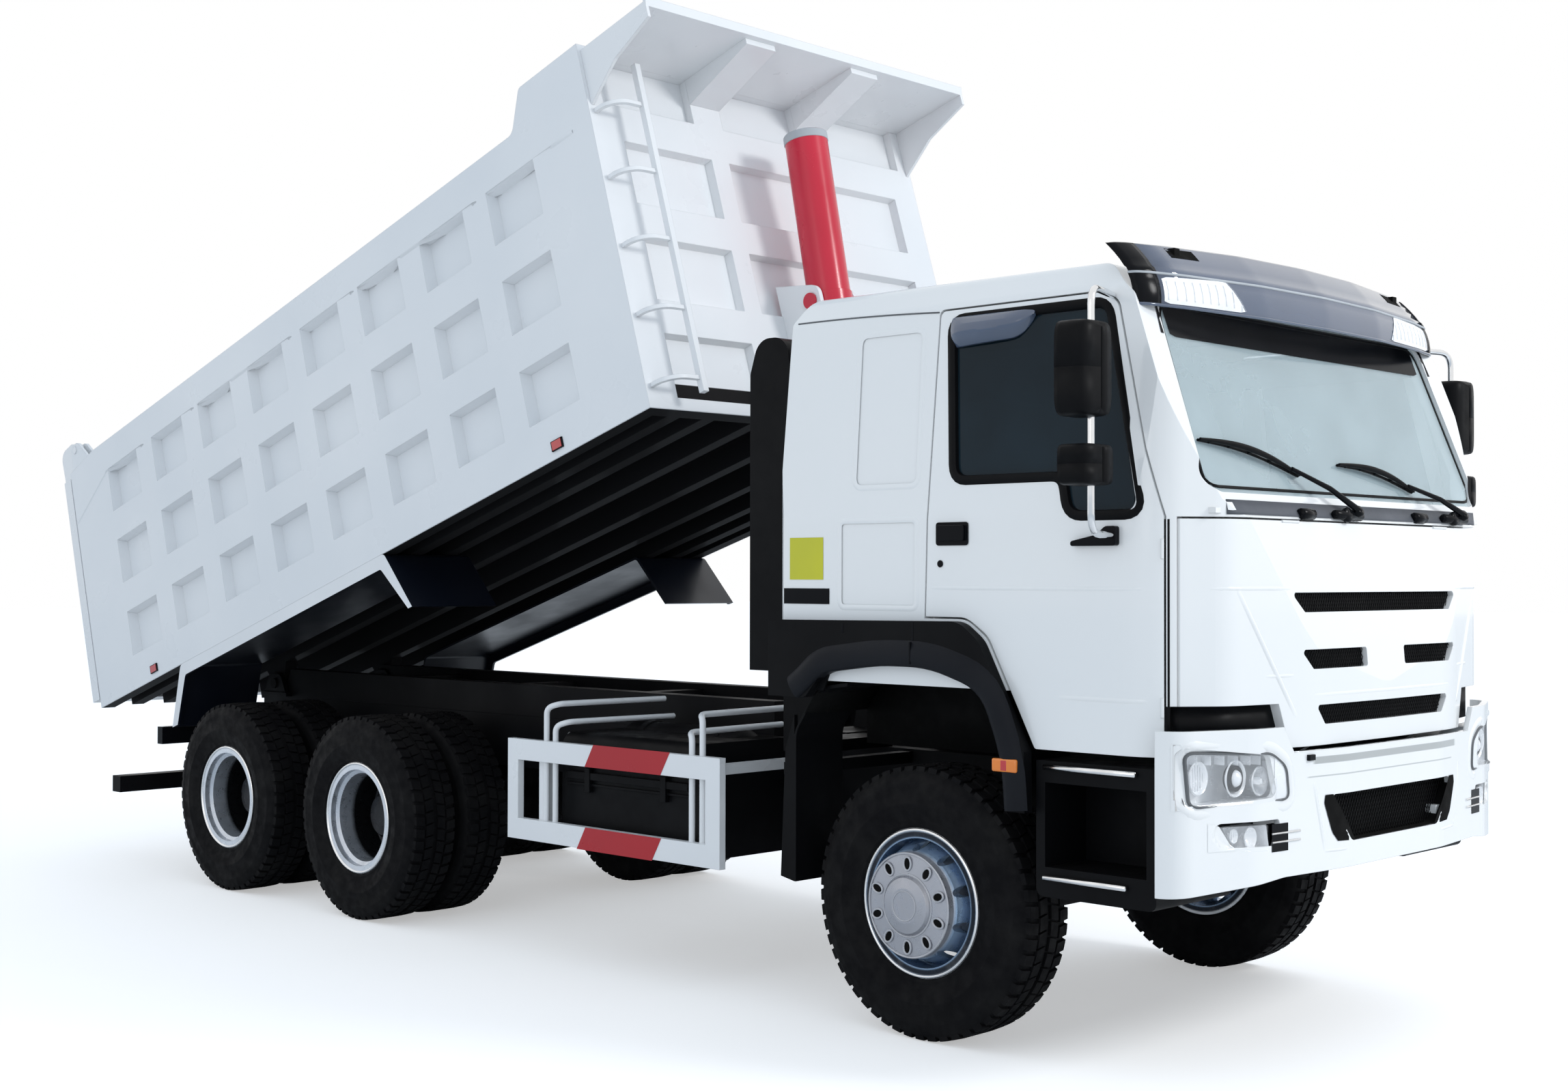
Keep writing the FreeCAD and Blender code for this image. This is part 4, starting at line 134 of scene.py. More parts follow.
def addSky():
    world = bpy.data.worlds.new("studio")
    bpy.context.scene.world = world
    world.use_nodes = True
    nodes, links = world.node_tree.nodes, world.node_tree.links
    sky = nodes["Background"]
    sky.inputs["Color"].default_value = (*lightSet["sky"], 1)
    sky.inputs["Strength"].default_value = lightSet["skyPower"]
    plain = nodes.new("ShaderNodeBackground")
    plain.inputs["Color"].default_value = (1, 1, 1, 1)
    # the camera, gloss and glass see plain white
    ray = nodes.new("ShaderNodeLightPath")
    mix = nodes.new("ShaderNodeMixShader")
    first, second = [nodes.new("ShaderNodeMath") for _ in range(2)]
    for node in (first, second):
        node.operation, node.use_clamp = "ADD", True
    links.new(ray.outputs["Is Camera Ray"], first.inputs[0])
    links.new(ray.outputs["Is Glossy Ray"], first.inputs[1])
    links.new(first.outputs[0], second.inputs[0])
    links.new(ray.outputs["Is Transmission Ray"], second.inputs[1])
    links.new(second.outputs[0], mix.inputs[0])
    links.new(sky.outputs[0], mix.inputs[1])
    links.new(plain.outputs[0], mix.inputs[2])
    links.new(mix.outputs[0], nodes["World Output"].inputs["Surface"])


def addFloor():
    half = lightSet["floorHalf"]
    mesh = bpy.data.meshes.new("floor")
    corners = [(-half, -half, 0), (half, -half, 0), (half, half, 0), (-half, half, 0)]
    mesh.from_pydata(corners, [], [(0, 1, 2, 3)])
    floor = bpy.data.objects.new("floor", mesh)
    bpy.context.scene.collection.objects.link(floor)
    finish = bpy.data.materials.new("paleFloor")
    finish.use_nodes = True
    nodes, links = finish.node_tree.nodes, finish.node_tree.links
    shader = nodes["Principled BSDF"]
    shader.inputs["Base Color"].default_value = (*lightSet["floor"], 1)
    shader.inputs["Roughness"].default_value = lightSet["floorRoughness"]
    shader.inputs["Emission Color"].default_value = (1, 1, 1, 1)
    ray = nodes.new("ShaderNodeLightPath")
    lift = nodes.new("ShaderNodeMath")
    lift.operation = "MULTIPLY"
    lift.inputs[1].default_value = lightSet["floorLift"]
    links.new(ray.outputs["Is Camera Ray"], lift.inputs[0])
    links.new(lift.outputs[0], shader.inputs["Emission Strength"])
    mesh.materials.append(finish)


addCamera()
addSky()
for name, values in lightSet["lamps"].items():
    addLight(name, *values)
addFloor()
bpy.context.scene.view_settings.view_transform = "Standard"
print("camera and light placed")


# tools that the finishes share
def setSockets(node, values):
    for name, value in values.items():
        node.inputs[name].default_value = value


def newFinish(name, colour, roughness, metallic=0.0, coat=0.0, specular=0.5):
    finish = bpy.data.materials.new(name)
    finish.use_nodes = True
    shader = finish.node_tree.nodes["Principled BSDF"]
    setSockets(shader, {"Base Color": (*colour, 1), "Roughness": roughness, "Metallic": metallic,
                        "Coat Weight": coat, "Coat Roughness": 0.06, "Specular IOR Level": specular})
    return finish, shader


def addNode(finish, kind, **values):
    node = finish.node_tree.nodes.new("ShaderNode" + kind)
    for key, value in values.items():
        setattr(node, key, value)
    return node


def join(finish, source, target):
    finish.node_tree.links.new(source, target)


def cloud(finish, scale, detail=3.0):
    place = addNode(finish, "TexCoord")
    noise = addNode(finish, "TexNoise")
    setSockets(noise, {"Scale": scale, "Detail": detail})
    join(finish, place.outputs["Object"], noise.inputs["Vector"])
    return noise.outputs["Fac"]


def axesOf(finish, source=None):
    split = addNode(finish, "SeparateXYZ")
    join(finish, source or addNode(finish, "TexCoord").outputs["Object"], split.inputs["Vector"])
    return split.outputs


def reckon(finish, operation, *sources):
    node = addNode(finish, "Math", operation=operation)
    for source, socket in zip(sources, node.inputs):
        join(finish, source, socket)
    return node.outputs[0]


def ramp(finish, source, stops):
    # the first two stops are the ends
    node = addNode(finish, "ValToRGB")
    elements = node.color_ramp.elements
    for i, (position, colour) in enumerate(stops):
        stop = elements[i] if i < 2 else elements.new(position)
        stop.position, stop.color = position, (*colour, 1)
    join(finish, source, node.inputs["Fac"])
    return node.outputs["Color"]


def twoTone(finish, source, shade, colour):
    return ramp(finish, source, ((0.35, shade), (0.65, colour)))


def grade(finish, source, low, high, start=0.35, end=0.65):
    node = addNode(finish, "MapRange", clamp=True)
    setSockets(node, {"From Min": start, "From Max": end, "To Min": low, "To Max": high})
    join(finish, source, node.inputs["Value"])
    return node.outputs["Result"]


def step(finish, source, level, blend, rising=False):
    low, high = (0.0, 1.0) if rising else (1.0, 0.0)
    return grade(finish, source, low, high, level - blend, level + blend)


def mixColours(finish, share, first, second):
    node = addNode(finish, "Mix", data_type="RGBA")
    join(finish, share, node.inputs[0])
    for value, socket in ((first, node.inputs[6]), (second, node.inputs[7])):
        if isinstance(value, tuple):
            socket.default_value = (*value, 1)
        else:
            join(finish, value, socket)
    return node.outputs[2]


def roughen(finish, shader, source, low, high):
    join(finish, grade(finish, source, low, high), shader.inputs["Roughness"])


def emboss(finish, shader, source, depth, strength, soften=0.0):
    bump = addNode(finish, "Bump")
    setSockets(bump, {"Distance": depth, "Strength": strength})
    join(finish, source, bump.inputs["Height"])
    if soften:
        edge = addNode(finish, "Bevel", samples=4)
        edge.inputs["Radius"].default_value = soften
        join(finish, edge.outputs["Normal"], bump.inputs["Normal"])
    join(finish, bump.outputs["Normal"], shader.inputs["Normal"])


# finishes; colour is the lighter tone, shade the darker one
def enamel(name, colour, shade, roughness, coat, dust=None):
    specular = 0.10 if max(colour) < 0.02 else 0.5
    finish, shader = newFinish(name, colour, roughness, coat=coat, specular=specular)
    tone = twoTone(finish, cloud(finish, 0.9), shade, colour)
    if dust:
        tone = mixColours(finish, grade(finish, cloud(finish, 6.0, 6), 0.0, 0.35, 0.5, 0.8), tone, dust)
    join(finish, tone, shader.inputs["Base Color"])
    roughen(finish, shader, cloud(finish, 3.0, 5), roughness * 0.8, roughness * 1.25)
    emboss(finish, shader, cloud(finish, 260.0, 2), 0.0004, 0.12, 0.004)
    return finish


def steel(name, colour, shade, roughness, metallic=1.0):
    specular = 0.12 if max(colour) < 0.02 else 0.5
    finish, shader = newFinish(name, colour, roughness, metallic=metallic, specular=specular)
    join(finish, twoTone(finish, cloud(finish, 9.0, 6), shade, colour), shader.inputs["Base Color"])
    roughen(finish, shader, cloud(finish, 30.0, 4), roughness * 0.75, roughness * 1.3)
    emboss(finish, shader, cloud(finish, 420.0, 2), 0.0003, 0.2, 0.002)
    return finish


def moulded(name, colour, shade, roughness, grain=900.0):
    finish, shader = newFinish(name, colour, roughness, specular=0.08)
    join(finish, twoTone(finish, cloud(finish, 2.5, 5), shade, colour), shader.inputs["Base Color"])
    roughen(finish, shader, cloud(finish, 14.0, 4), roughness * 0.85, roughness * 1.15)
    emboss(finish, shader, cloud(finish, grain, 2), 0.0003, 0.4, 0.002)
    return finish


def rubber(name, colour, dust):
    finish, shader = newFinish(name, colour, 0.72, specular=0.10)
    share = grade(finish, cloud(finish, 5.0, 7), 0.0, 0.8, 0.45, 0.85)
    join(finish, mixColours(finish, share, colour, dust), shader.inputs["Base Color"])
    roughen(finish, shader, cloud(finish, 22.0, 5), 0.6, 0.85)
    emboss(finish, shader, cloud(finish, 350.0, 4), 0.0006, 0.35)
    return finish


def clearSheet(name, colour, roughness, alpha):
    finish, shader = newFinish(name, colour, roughness, coat=1.0)
    setSockets(shader, {"Alpha": alpha, "IOR": 1.45, "Coat Roughness": 0.02})
    shade = tuple(c * 0.92 for c in colour)
    join(finish, twoTone(finish, cloud(finish, 4.0), shade, colour), shader.inputs["Base Color"])
    emboss(finish, shader, cloud(finish, 60.0), 0.0002, 0.1)
    return finish


def darkGlass(name, colour, alpha):
    finish, shader = newFinish(name, colour, 0.03, specular=0.16)
    shader.inputs["Alpha"].default_value = alpha
    light = tuple(c * 1.6 for c in colour)
    join(finish, twoTone(finish, cloud(finish, 2.0), colour, light), shader.inputs["Base Color"])
    return finish


bedPaint = {
    "colour": (0.83, 0.835, 0.84), "shade": (0.77, 0.785, 0.80), "under": (0.003, 0.003, 0.004),
    "floorHeight": 0.260, "skinDepth": 0.005,
}


def bedEnamel():
    # white outside, black below the floor sheet
    finish, shader = newFinish("bedEnamel", (0.80, 0.81, 0.82), 0.32, coat=0.04, specular=0.22)
    tone = twoTone(finish, cloud(finish, 0.7, 4), bedPaint["shade"], bedPaint["colour"])
    level = addNode(finish, "VectorRotate", rotation_type="Y_AXIS")
    setSockets(level, {"Center": bedHinge, "Angle": bedLean})
    join(finish, addNode(finish, "TexCoord").outputs["Object"], level.inputs["Vector"])
    spot = axesOf(finish, level.outputs["Vector"])
    skin = bedPaint["skinDepth"]
    low = step(finish, spot["Z"], bedHinge[2] + bedPaint["floorHeight"], 0.002)
    inner = step(finish, reckon(finish, "ABSOLUTE", spot["Y"]), bedHalf - skin, 0.001)
    behind = step(finish, spot["X"], bedFront - skin, 0.001)
    under = reckon(finish, "MULTIPLY", reckon(finish, "MULTIPLY", low, inner), behind)
    join(finish, mixColours(finish, under, tone, bedPaint["under"]), shader.inputs["Base Color"])
    dull = reckon(finish, "MAXIMUM", grade(finish, cloud(finish, 2.5, 5), 0.26, 0.42),
                  grade(finish, under, 0.0, 0.85, 0.0, 1.0))
    join(finish, dull, shader.inputs["Roughness"])
    emboss(finish, shader, cloud(finish, 3.2, 3), 0.006, 0.25, 0.006)
    return finish


bumperPaint = {
    # low, high, right end, left end, colour
    # the strip is painted shade for the step under the flap seam; the joint is a real seam line
    "strip": (1.147, 1.173, -0.585, 0.540, (0.42, 0.43, 0.42)),
    "joint": (1.099, 1.104, -0.620, 0.500, (0.50, 0.51, 0.50)),
    "soft": 0.0012, "softEnd": 0.010, "face": 0.0595,
}


def bumperEnamel():
    # cab white with a grey strip of painted shade where the step under the flap seam lies, and the thin joint
    # below it
    finish, shader = newFinish("bumperEnamel", (0.86, 0.86, 0.85), 0.18, coat=0.8)
    tone = twoTone(finish, cloud(finish, 0.9), (0.84, 0.845, 0.84), (0.86, 0.86, 0.85))
    spot = axesOf(finish)
    forward = step(finish, spot["X"], cadBox[1][0] - bumperPaint["face"], 0.0005, True)
    # strip lays painted shade, joint a real seam line
    for key in ("strip", "joint"):
        low, high, right, left, colour = bumperPaint[key]
        share = forward
        for axis, start, end, soft in (("Z", low, high, bumperPaint["soft"]),
                                       ("Y", right, left, bumperPaint["softEnd"])):
            for edge, rising in ((start, True), (end, False)):
                within = step(finish, spot[axis], edge, soft, rising)
                share = reckon(finish, "MULTIPLY", share, within)
        tone = mixColours(finish, share, tone, colour)
    join(finish, tone, shader.inputs["Base Color"])
    roughen(finish, shader, cloud(finish, 3.0, 5), 0.144, 0.225)
    emboss(finish, shader, cloud(finish, 260.0, 2), 0.0004, 0.12, 0.004)
    return finish


def fenderPaint():
    # white on the faces that look outward, near black with a blue tint on every other face
    finish, shader = newFinish("fenderPaint", (0.80, 0.81, 0.82), 0.34, coat=0.05)
    normal = axesOf(finish, addNode(finish, "TexCoord").outputs["Normal"])
    outward = reckon(finish, "MULTIPLY", normal["Y"], reckon(finish, "SIGN", axesOf(finish)["Y"]))
    under = step(finish, outward, 0.40, 0.05)
    paint = twoTone(finish, cloud(finish, 1.2), (0.76, 0.77, 0.78), (0.81, 0.82, 0.83))
    join(finish, mixColours(finish, under, paint, (0.004, 0.006, 0.012)), shader.inputs["Base Color"])
    roughen(finish, shader, cloud(finish, 3.0, 5), 0.28, 0.42)
    return finish


rimTonesAndShade = {
    # distance from the wheel's axis and the colour there; on the front rims the blue bands are painted sky
    # reflection and the near black band painted shade in the well
    "ends": ((0.0, (0.40, 0.41, 0.45)), (1.0, (0.86, 0.88, 0.90))),
    "front": ((0.206, (0.44, 0.45, 0.49)), (0.208, (0.30, 0.42, 0.58)), (0.256, (0.30, 0.42, 0.58)),
              (0.262, (0.02, 0.025, 0.035)), (0.280, (0.02, 0.025, 0.035)), (0.284, (0.86, 0.88, 0.90))),
    "rear": ((0.25, (0.62, 0.66, 0.72)), (0.262, (0.78, 0.81, 0.86))),
    # the dish colour is painted shade deep in the rear rims' barrels
    "dust": (0.30, 0.29, 0.28), "dish": (0.018, 0.019, 0.022), "dishDepth": 0.1225,
}


def vectorReckon(finish, operation, source, value=None):
    node = addNode(finish, "VectorMath", operation=operation)
    join(finish, source, node.inputs[0])
    if value is not None:
        node.inputs[1].default_value = value
    return node.outputs["Value" if operation == "LENGTH" else "Vector"]


def rimSilver(node):
    finish, shader = newFinish(node + "Silver", (0.55, 0.58, 0.61), 0.3, metallic=0.75)
    front = "front" in node
    place = addNode(finish, "TexCoord").outputs["Object"]
    offset = vectorReckon(finish, "SUBTRACT", place, middle(node))
    reach = vectorReckon(finish, "LENGTH", vectorReckon(finish, "MULTIPLY", offset, (1, 0, 1)))
    # radial bands; on the front rims they carry painted sky reflection and painted shade
    bands = ramp(finish, reach, rimTonesAndShade["ends"] + rimTonesAndShade["front" if front else "rear"])
    dust = grade(finish, cloud(finish, 12.0, 6), 0.0, 0.25, 0.5, 0.8)
    tone = mixColours(finish, dust, bands, rimTonesAndShade["dust"])
    # rear rims: painted shade deep in the barrel
    if not front:
        low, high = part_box(node)
        face = max(abs(low[1]), abs(high[1]))
        width = reckon(finish, "ABSOLUTE", axesOf(finish, place)["Y"])
        deep = step(finish, width, face - rimTonesAndShade["dishDepth"], 0.0125)
        tone = mixColours(finish, deep, tone, rimTonesAndShade["dish"])
    join(finish, tone, shader.inputs["Base Color"])
    roughen(finish, shader, cloud(finish, 30.0, 4), 0.24, 0.42)
    emboss(finish, shader, cloud(finish, 420.0, 2), 0.0003, 0.2, 0.003)
    return finish


finishes = {
    "cabWhite": enamel("cabEnamel", (0.86, 0.86, 0.85), (0.84, 0.845, 0.84), 0.18, 0.8),
    "bumperWhite": bumperEnamel(), "bedWhite": bedEnamel(), "fenderPaint": fenderPaint(),
    "plainWhite": enamel("gateEnamel", (0.83, 0.835, 0.84), (0.78, 0.79, 0.80), 0.32, 0.3),
    "hoistRed": enamel("hoistRedPaint", (0.62, 0.006, 0.036), (0.52, 0.004, 0.028), 0.24, 0.12),
    "guardRed": enamel("guardRedFilm", (0.44, 0.006, 0.014), (0.38, 0.005, 0.011), 0.34, 0.0),
    "chassisBlack": enamel("chassisPaint", (0.003, 0.0032, 0.004), (0.005, 0.005, 0.006), 0.5, 0.0,
                           dust=(0.012, 0.012, 0.012)),
    "castBlack": steel("castIron", (0.005, 0.005, 0.0055), (0.010, 0.0095, 0.009), 0.6, metallic=0.0),
    # the pale bowl colour with little metal is a painted reflection in place of bright chrome
    "bowlSilver": steel("bowlSilver", (0.95, 0.96, 0.97), (0.86, 0.87, 0.89), 0.22, metallic=0.2),
    "wheelBright": steel("wheelBright", (0.88, 0.89, 0.90), (0.80, 0.81, 0.82), 0.22),
    "wheelGrey": steel("wheelGrey", (0.52, 0.53, 0.56), (0.46, 0.47, 0.50), 0.36, metallic=0.5),
    "chrome": steel("polishedSteel", (0.82, 0.83, 0.84), (0.70, 0.71, 0.72), 0.1),
    "galvanised": steel("zincGrey", (0.42, 0.43, 0.44), (0.30, 0.31, 0.32), 0.42, metallic=0.7),
    "tyre": rubber("tyreRubber", (0.004, 0.004, 0.0048), (0.014, 0.0135, 0.013)),
    "moulding": moulded("blackMoulding", (0.003, 0.0032, 0.004), (0.005, 0.0052, 0.006), 0.46),
    "glossBlack": moulded("glossMoulding", (0.004, 0.0045, 0.006), (0.006, 0.0065, 0.008), 0.18,
                          grain=300.0),
    "pitBlack": moulded("pitBlack", (0.004, 0.004, 0.004), (0.006, 0.006, 0.006), 0.8),
    "flareEdge": moulded("flareEdge", (0.009, 0.010, 0.013), (0.013, 0.014, 0.017), 0.42),
    "cowlGrey": moulded("cowlGrey", (0.115, 0.12, 0.135), (0.09, 0.095, 0.105), 0.45),
    "lampGrey": moulded("lampGrey", (0.16, 0.165, 0.17), (0.13, 0.135, 0.14), 0.35),
    "palePanel": moulded("cabLining", (0.50, 0.52, 0.54), (0.44, 0.46, 0.48), 0.7),
    "stickerYellow": moulded("stickerYellow", (0.62, 0.60, 0.06), (0.56, 0.55, 0.07), 0.4),
    "cloth": moulded("seatCloth", (0.10, 0.10, 0.11), (0.07, 0.07, 0.08), 0.9, grain=1400.0),
    "redLens": clearSheet("redLens", (0.55, 0.015, 0.02), 0.08, 1.0),
    "amberLens": clearSheet("amberLens", (0.85, 0.22, 0.01), 0.08, 1.0),
    "clearLens": clearSheet("clearLens", (0.96, 0.97, 0.98), 0.02, 0.14),
    "screenGlass": clearSheet("screenGlass", (0.80, 0.96, 1.0), 0.015, 0.34),
    "smoked": clearSheet("smokedVisor", (0.080, 0.11, 0.175), 0.10, 0.88),
    "windowGlass": darkGlass("windowGlass", (0.006, 0.014, 0.020), 0.93),
}

# which pieces of the frame wear which finish
nodeFinish = {
    "cabWhite": "cab_shell door_right door_left front_flap",
    "bumperWhite": "bumper", "bedWhite": "bed_body", "fenderPaint": "bed_fenders",
    "plainWhite": "canopy ladder tailgate side_guards",
    "chassisBlack": "underrun frame subframe fuel_tank radiator hoist_base",
    "castBlack": "front_axle rear_axles springs knuckle_right knuckle_left tie_rod engine_block driveline",
    "moulding": "fender_flares steps battery_box flap_grille mudguards wipers air_intake mirror_right "
                "mirror_left",
    "glossBlack": "tail_lamps", "palePanel": "cab_interior", "hoistRed": "hoist_barrel",
    "screenGlass": "cab_glass", "windowGlass": "door_glass_right door_glass_left",
    "clearLens": "front_lamps", "smoked": "visor",
    "chrome": " ".join(node for node in parts if node.startswith("hoist_stage")),
    "tyre": " ".join(node for node in parts if node.startswith("tyre_")),
}


def dress(node, finish):
    mesh = parts[node].data
    mesh.materials.clear()
    mesh.materials.append(finish)


for finishName, nodes in nodeFinish.items():
    for node in nodes.split():
        dress(node, finishes[finishName])
for node in parts:
    if node.startswith("rim_"):
        dress(node, rimSilver(node))
print("frame dressed")


# mesh building
class Shape:
    def __init__(self):
        self.verts = []
        self.faces = []

    def add(self, verts, faces):
        start = len(self.verts)
        self.verts += [Vector(v) for v in verts]
        self.faces += [tuple(start + i for i in face) for face in faces]
        return self

    def box(self, low, high):
        corners = [(x, y, z) for x in (low[0], high[0]) for y in (low[1], high[1]) for z in (low[2], high[2])]
        return self.add(corners, [(0, 1, 3, 2), (4, 6, 7, 5), (0, 4, 5, 1), (2, 3, 7, 6),
                                  (0, 2, 6, 4), (1, 5, 7, 3)])

    def plate(self, outline, start, end, plane="XZ"):
        def point(a, b, c):
            return (a, c, b) if plane == "XZ" else (c, a, b)
        count = len(outline)
        verts = [point(a, b, start) for a, b in outline] + [point(a, b, end) for a, b in outline]
        faces = [tuple(range(count - 1, -1, -1)), tuple(range(count, 2 * count))]
        faces += [(i, (i + 1) % count, count + (i + 1) % count, count + i) for i in range(count)]
        return self.add(verts, faces)

    def spin(self, profile, centre, axis=(0, 1, 0), steps=32, closed=False):
        # the profile holds (radius, height) pairs
        along = Vector(axis).normalized()
        side = along.orthogonal().normalized()
        verts = []
        for k in range(steps):
            out = Matrix.Rotation(2 * math.pi * k / steps, 3, along) @ side
            verts += [Vector(centre) + along * h + out * r for r, h in profile]
        count = len(profile)
        faces = []
        for k in range(steps):
            here, there = k * count, ((k + 1) % steps) * count
            for i in range(count if closed else count - 1):
                j = (i + 1) % count
                faces.append((here + i, here + j, there + j, there + i))
        return self.add(verts, faces)

    def rod(self, start, end, radius, sides=16, chamfer=0.0):
        a, b = Vector(start), Vector(end)
        length = (b - a).length
        c = min(chamfer, radius * 0.5)
        profile = [(0, 0), (radius - c, 0)] + ([(radius, c), (radius, length - c)] if c else [])
        profile += [(radius - c, length), (0, length)]
        return self.spin(profile, a, b - a, sides)

    def tube(self, points, radius, sides=10, closed=False):
        path = [Vector(p) for p in points]
        count = len(path)
        verts = []
        side = None
        for i in range(count):
            if closed:
                way = (path[(i + 1) % count] - path[i - 1]).normalized()
            else:
                way = (path[min(i + 1, count - 1)] - path[max(i - 1, 0)]).normalized()
            if side is None:
                side = way.orthogonal().normalized()
            side = (side - way * side.dot(way)).normalized()
            other = way.cross(side)
            size = radius(i / (count - 1)) if callable(radius) else radius
            verts += [path[i] + (side * math.cos(t) + other * math.sin(t)) * size
                      for t in (2 * math.pi * k / sides for k in range(sides))]
        faces = []
        for i in range(count if closed else count - 1):
            here, there = i * sides, ((i + 1) % count) * sides
            faces += [(here + k, here + (k + 1) % sides, there + (k + 1) % sides, there + k)
                      for k in range(sides)]
        if not closed:
            faces.append(tuple(range(sides - 1, -1, -1)))
            faces.append(tuple((count - 1) * sides + k for k in range(sides)))
        return self.add(verts, faces)

    def grid(self, rows):
        # a row that misses the skin somewhere is left out
        rows = [row for row in rows if None not in row]
        if len(rows) < 2:
            return self
        across = len(rows[0])
        verts = [p for row in rows for p in row]
        faces = [(r * across + c, r * across + c + 1, (r + 1) * across + c + 1, (r + 1) * across + c)
                 for r in range(len(rows) - 1) for c in range(across - 1)]
        return self.add(verts, faces)

    def piece(self, name, finish, body, slot, bevel=0.0, segments=2, smooth=40, level=0, thick=0.0):
        mesh = bpy.data.meshes.new(name)
        mesh.from_pydata([tuple(v) for v in self.verts], [], self.faces)
        mesh.update()
        work = bmesh.new()
        work.from_mesh(mesh)
        bmesh.ops.recalc_face_normals(work, faces=work.faces)
        work.to_mesh(mesh)
        work.free()
        mesh.shade_smooth()
        mesh.set_sharp_from_angle(angle=math.radians(smooth))
        mesh.materials.append(finishes[finish])
        item = bpy.data.objects.new(name, mesh)
        bpy.context.scene.collection.objects.link(item)
        if thick:
            wall = item.modifiers.new("wall", "SOLIDIFY")
            wall.thickness = thick
            wall.offset = 0
        if bevel:
            edge = item.modifiers.new("edge", "BEVEL")
            edge.width = bevel
            edge.segments = segments
            edge.limit_method = "ANGLE"
            edge.angle_limit = math.radians(35)
        if level:
            swell = item.modifiers.new("swell", "SUBSURF")
            swell.levels = swell.render_levels = level
        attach(item, body)
        return item


def rounded(points, radius, steps=6, closed=False):
    path = [Vector(p) for p in points]
    count = len(path)
    result = []
    for i, corner in enumerate(path):
        if not closed and i in (0, count - 1):
            result.append(corner)
            continue
        before, after = path[i - 1] - corner, path[(i + 1) % count] - corner
        reach = min(radius, before.length * 0.49, after.length * 0.49)
        a, b = corner + before.normalized() * reach, corner + after.normalized() * reach
        for k in range(steps + 1):
            t = k / steps
            result.append(a * (1 - t) ** 2 + corner * 2 * t * (1 - t) + b * t * t)
    return result


def flatRounded(points, radius, steps=5, closed=True):
    return [(p.x, p.y) for p in rounded([(a, b, 0) for a, b in points], radius, steps, closed)]


def rectangle(low, high):
    return [(low[0], low[1]), (high[0], low[1]), (high[0], high[1]), (low[0], high[1])]


def spread(start, end, t):
    return start + (end - start) * t


def between(start, end, steps):
    return [(spread(start[0], end[0], k / steps), spread(start[1], end[1], k / steps))
            for k in range(steps + 1)]


def mirrored(line, side):
    return [(side * a, b) for a, b in line]


# skins that trim is laid on
def skinTree(*nodes):
    work = bmesh.new()
    for node in nodes:
        work.from_mesh(parts[node].data)
    tree = BVHTree.FromBMesh(work)
    work.free()
    return tree


def cast(tree, start, way, lift=0.0):
    hit, normal, _, _ = tree.ray_cast(Vector(start), Vector(way))
    return (None, None) if hit is None else (hit + normal * lift, normal)


def sideSkin(tree, x, z, side=-1, lift=0.0):
    return cast(tree, (axleX + x, side * 3, z), (0, -side, 0), lift)


def frontSkin(tree, y, z, lift=0.0):
    return cast(tree, (axleX + 3, y, z), (-1, 0, 0), lift)


def grownLine(points, reach):
    count = len(points)
    area = sum(points[i - 1][0] * points[i][1] - points[i][0] * points[i - 1][1] for i in range(count))
    sign = 1 if area > 0 else -1
    result = []
    for i, (a, b) in enumerate(points):
        before, after = points[i - 1], points[(i + 1) % count]
        way = Vector((after[0] - before[0], after[1] - before[1])).normalized()
        result.append((a + way.y * reach * sign, b - way.x * reach * sign))
    return result


def seal(shape, line, drop, widths, heights, fromSide=False):
    # a strip around a closed line: its widths are taken outward, its heights off the skin
    loops = [grownLine(line, width) for width in widths]
    rows = []
    for k in range(len(line)):
        base, normal = drop(*loops[0][k])
        if base is None:
            return shape
        row = []
        for loop, height in zip(loops, heights):
            spot, _ = drop(*loop[k])
            if spot is None or (spot - base).length > 0.08:
                a, b = loop[k][0] - loops[0][k][0], loop[k][1] - loops[0][k][1]
                spot = base + Vector((a, 0, b) if fromSide else (0, a, b))
            row.append(spot + normal * height)
        rows.append(row)
    return shape.grid(rows + [rows[0]])


def ridge(shape, line, drop, width, height):
    # a low rounded swage laid along a line of a skin
    rows = []
    last = len(line) - 1
    for i, (a, b) in enumerate(line):
        before, after = line[max(i - 1, 0)], line[min(i + 1, last)]
        way = Vector((after[0] - before[0], after[1] - before[1])).normalized()
        fade = min(1.0, 4 * i / last, 4 * (last - i) / last) ** 0.5
        row = []
        for share, rise in ((-1, -0.0006), (-0.5, 0.6), (0, 1), (0.5, 0.6), (1, -0.0006)):
            spot, normal = drop(a - way.y * width * share, b + way.x * width * share)
            if spot is None:
                return shape
            row.append(spot + normal * (rise * height * fade if rise > 0 else rise))
        rows.append(row)
    return shape.grid(rows)


def heightSpan(line, a):
    # where an upright at a crosses a closed line
    hits = []
    for i, (x2, y2) in enumerate(line):
        x1, y1 = line[i - 1]
        if (x1 - a) * (x2 - a) <= 0 and x1 != x2:
            hits.append(y1 + (y2 - y1) * (a - x1) / (x2 - x1))
    return (min(hits), max(hits)) if hits else (line[0][1], line[0][1])


def reachOf(line):
    return min(a for a, _ in line) + 1e-4, max(a for a, _ in line) - 1e-4


def patch(shape, tree, line, lift, columns=24, rowsUp=8):
    # a lens or plate laid over a skin seen from the front
    low, high = reachOf(line)
    rows = []
    for k in range(columns + 1):
        a = low + (high - low) * (1 - math.cos(math.pi * k / columns)) / 2
        bottom, top = heightSpan(line, a)
        rows.append([frontSkin(tree, a, spread(bottom, top, j / rowsUp), lift)[0] for j in range(rowsUp + 1)])
    return shape.grid(rows)


def sidePatch(shape, tree, low, high, side, lift, columns=6):
    return shape.grid([[sideSkin(tree, spread(low[0], high[0], k / columns),
                                 spread(low[1], high[1], j / 3), side, lift)[0] for j in range(4)]
                       for k in range(columns + 1)])


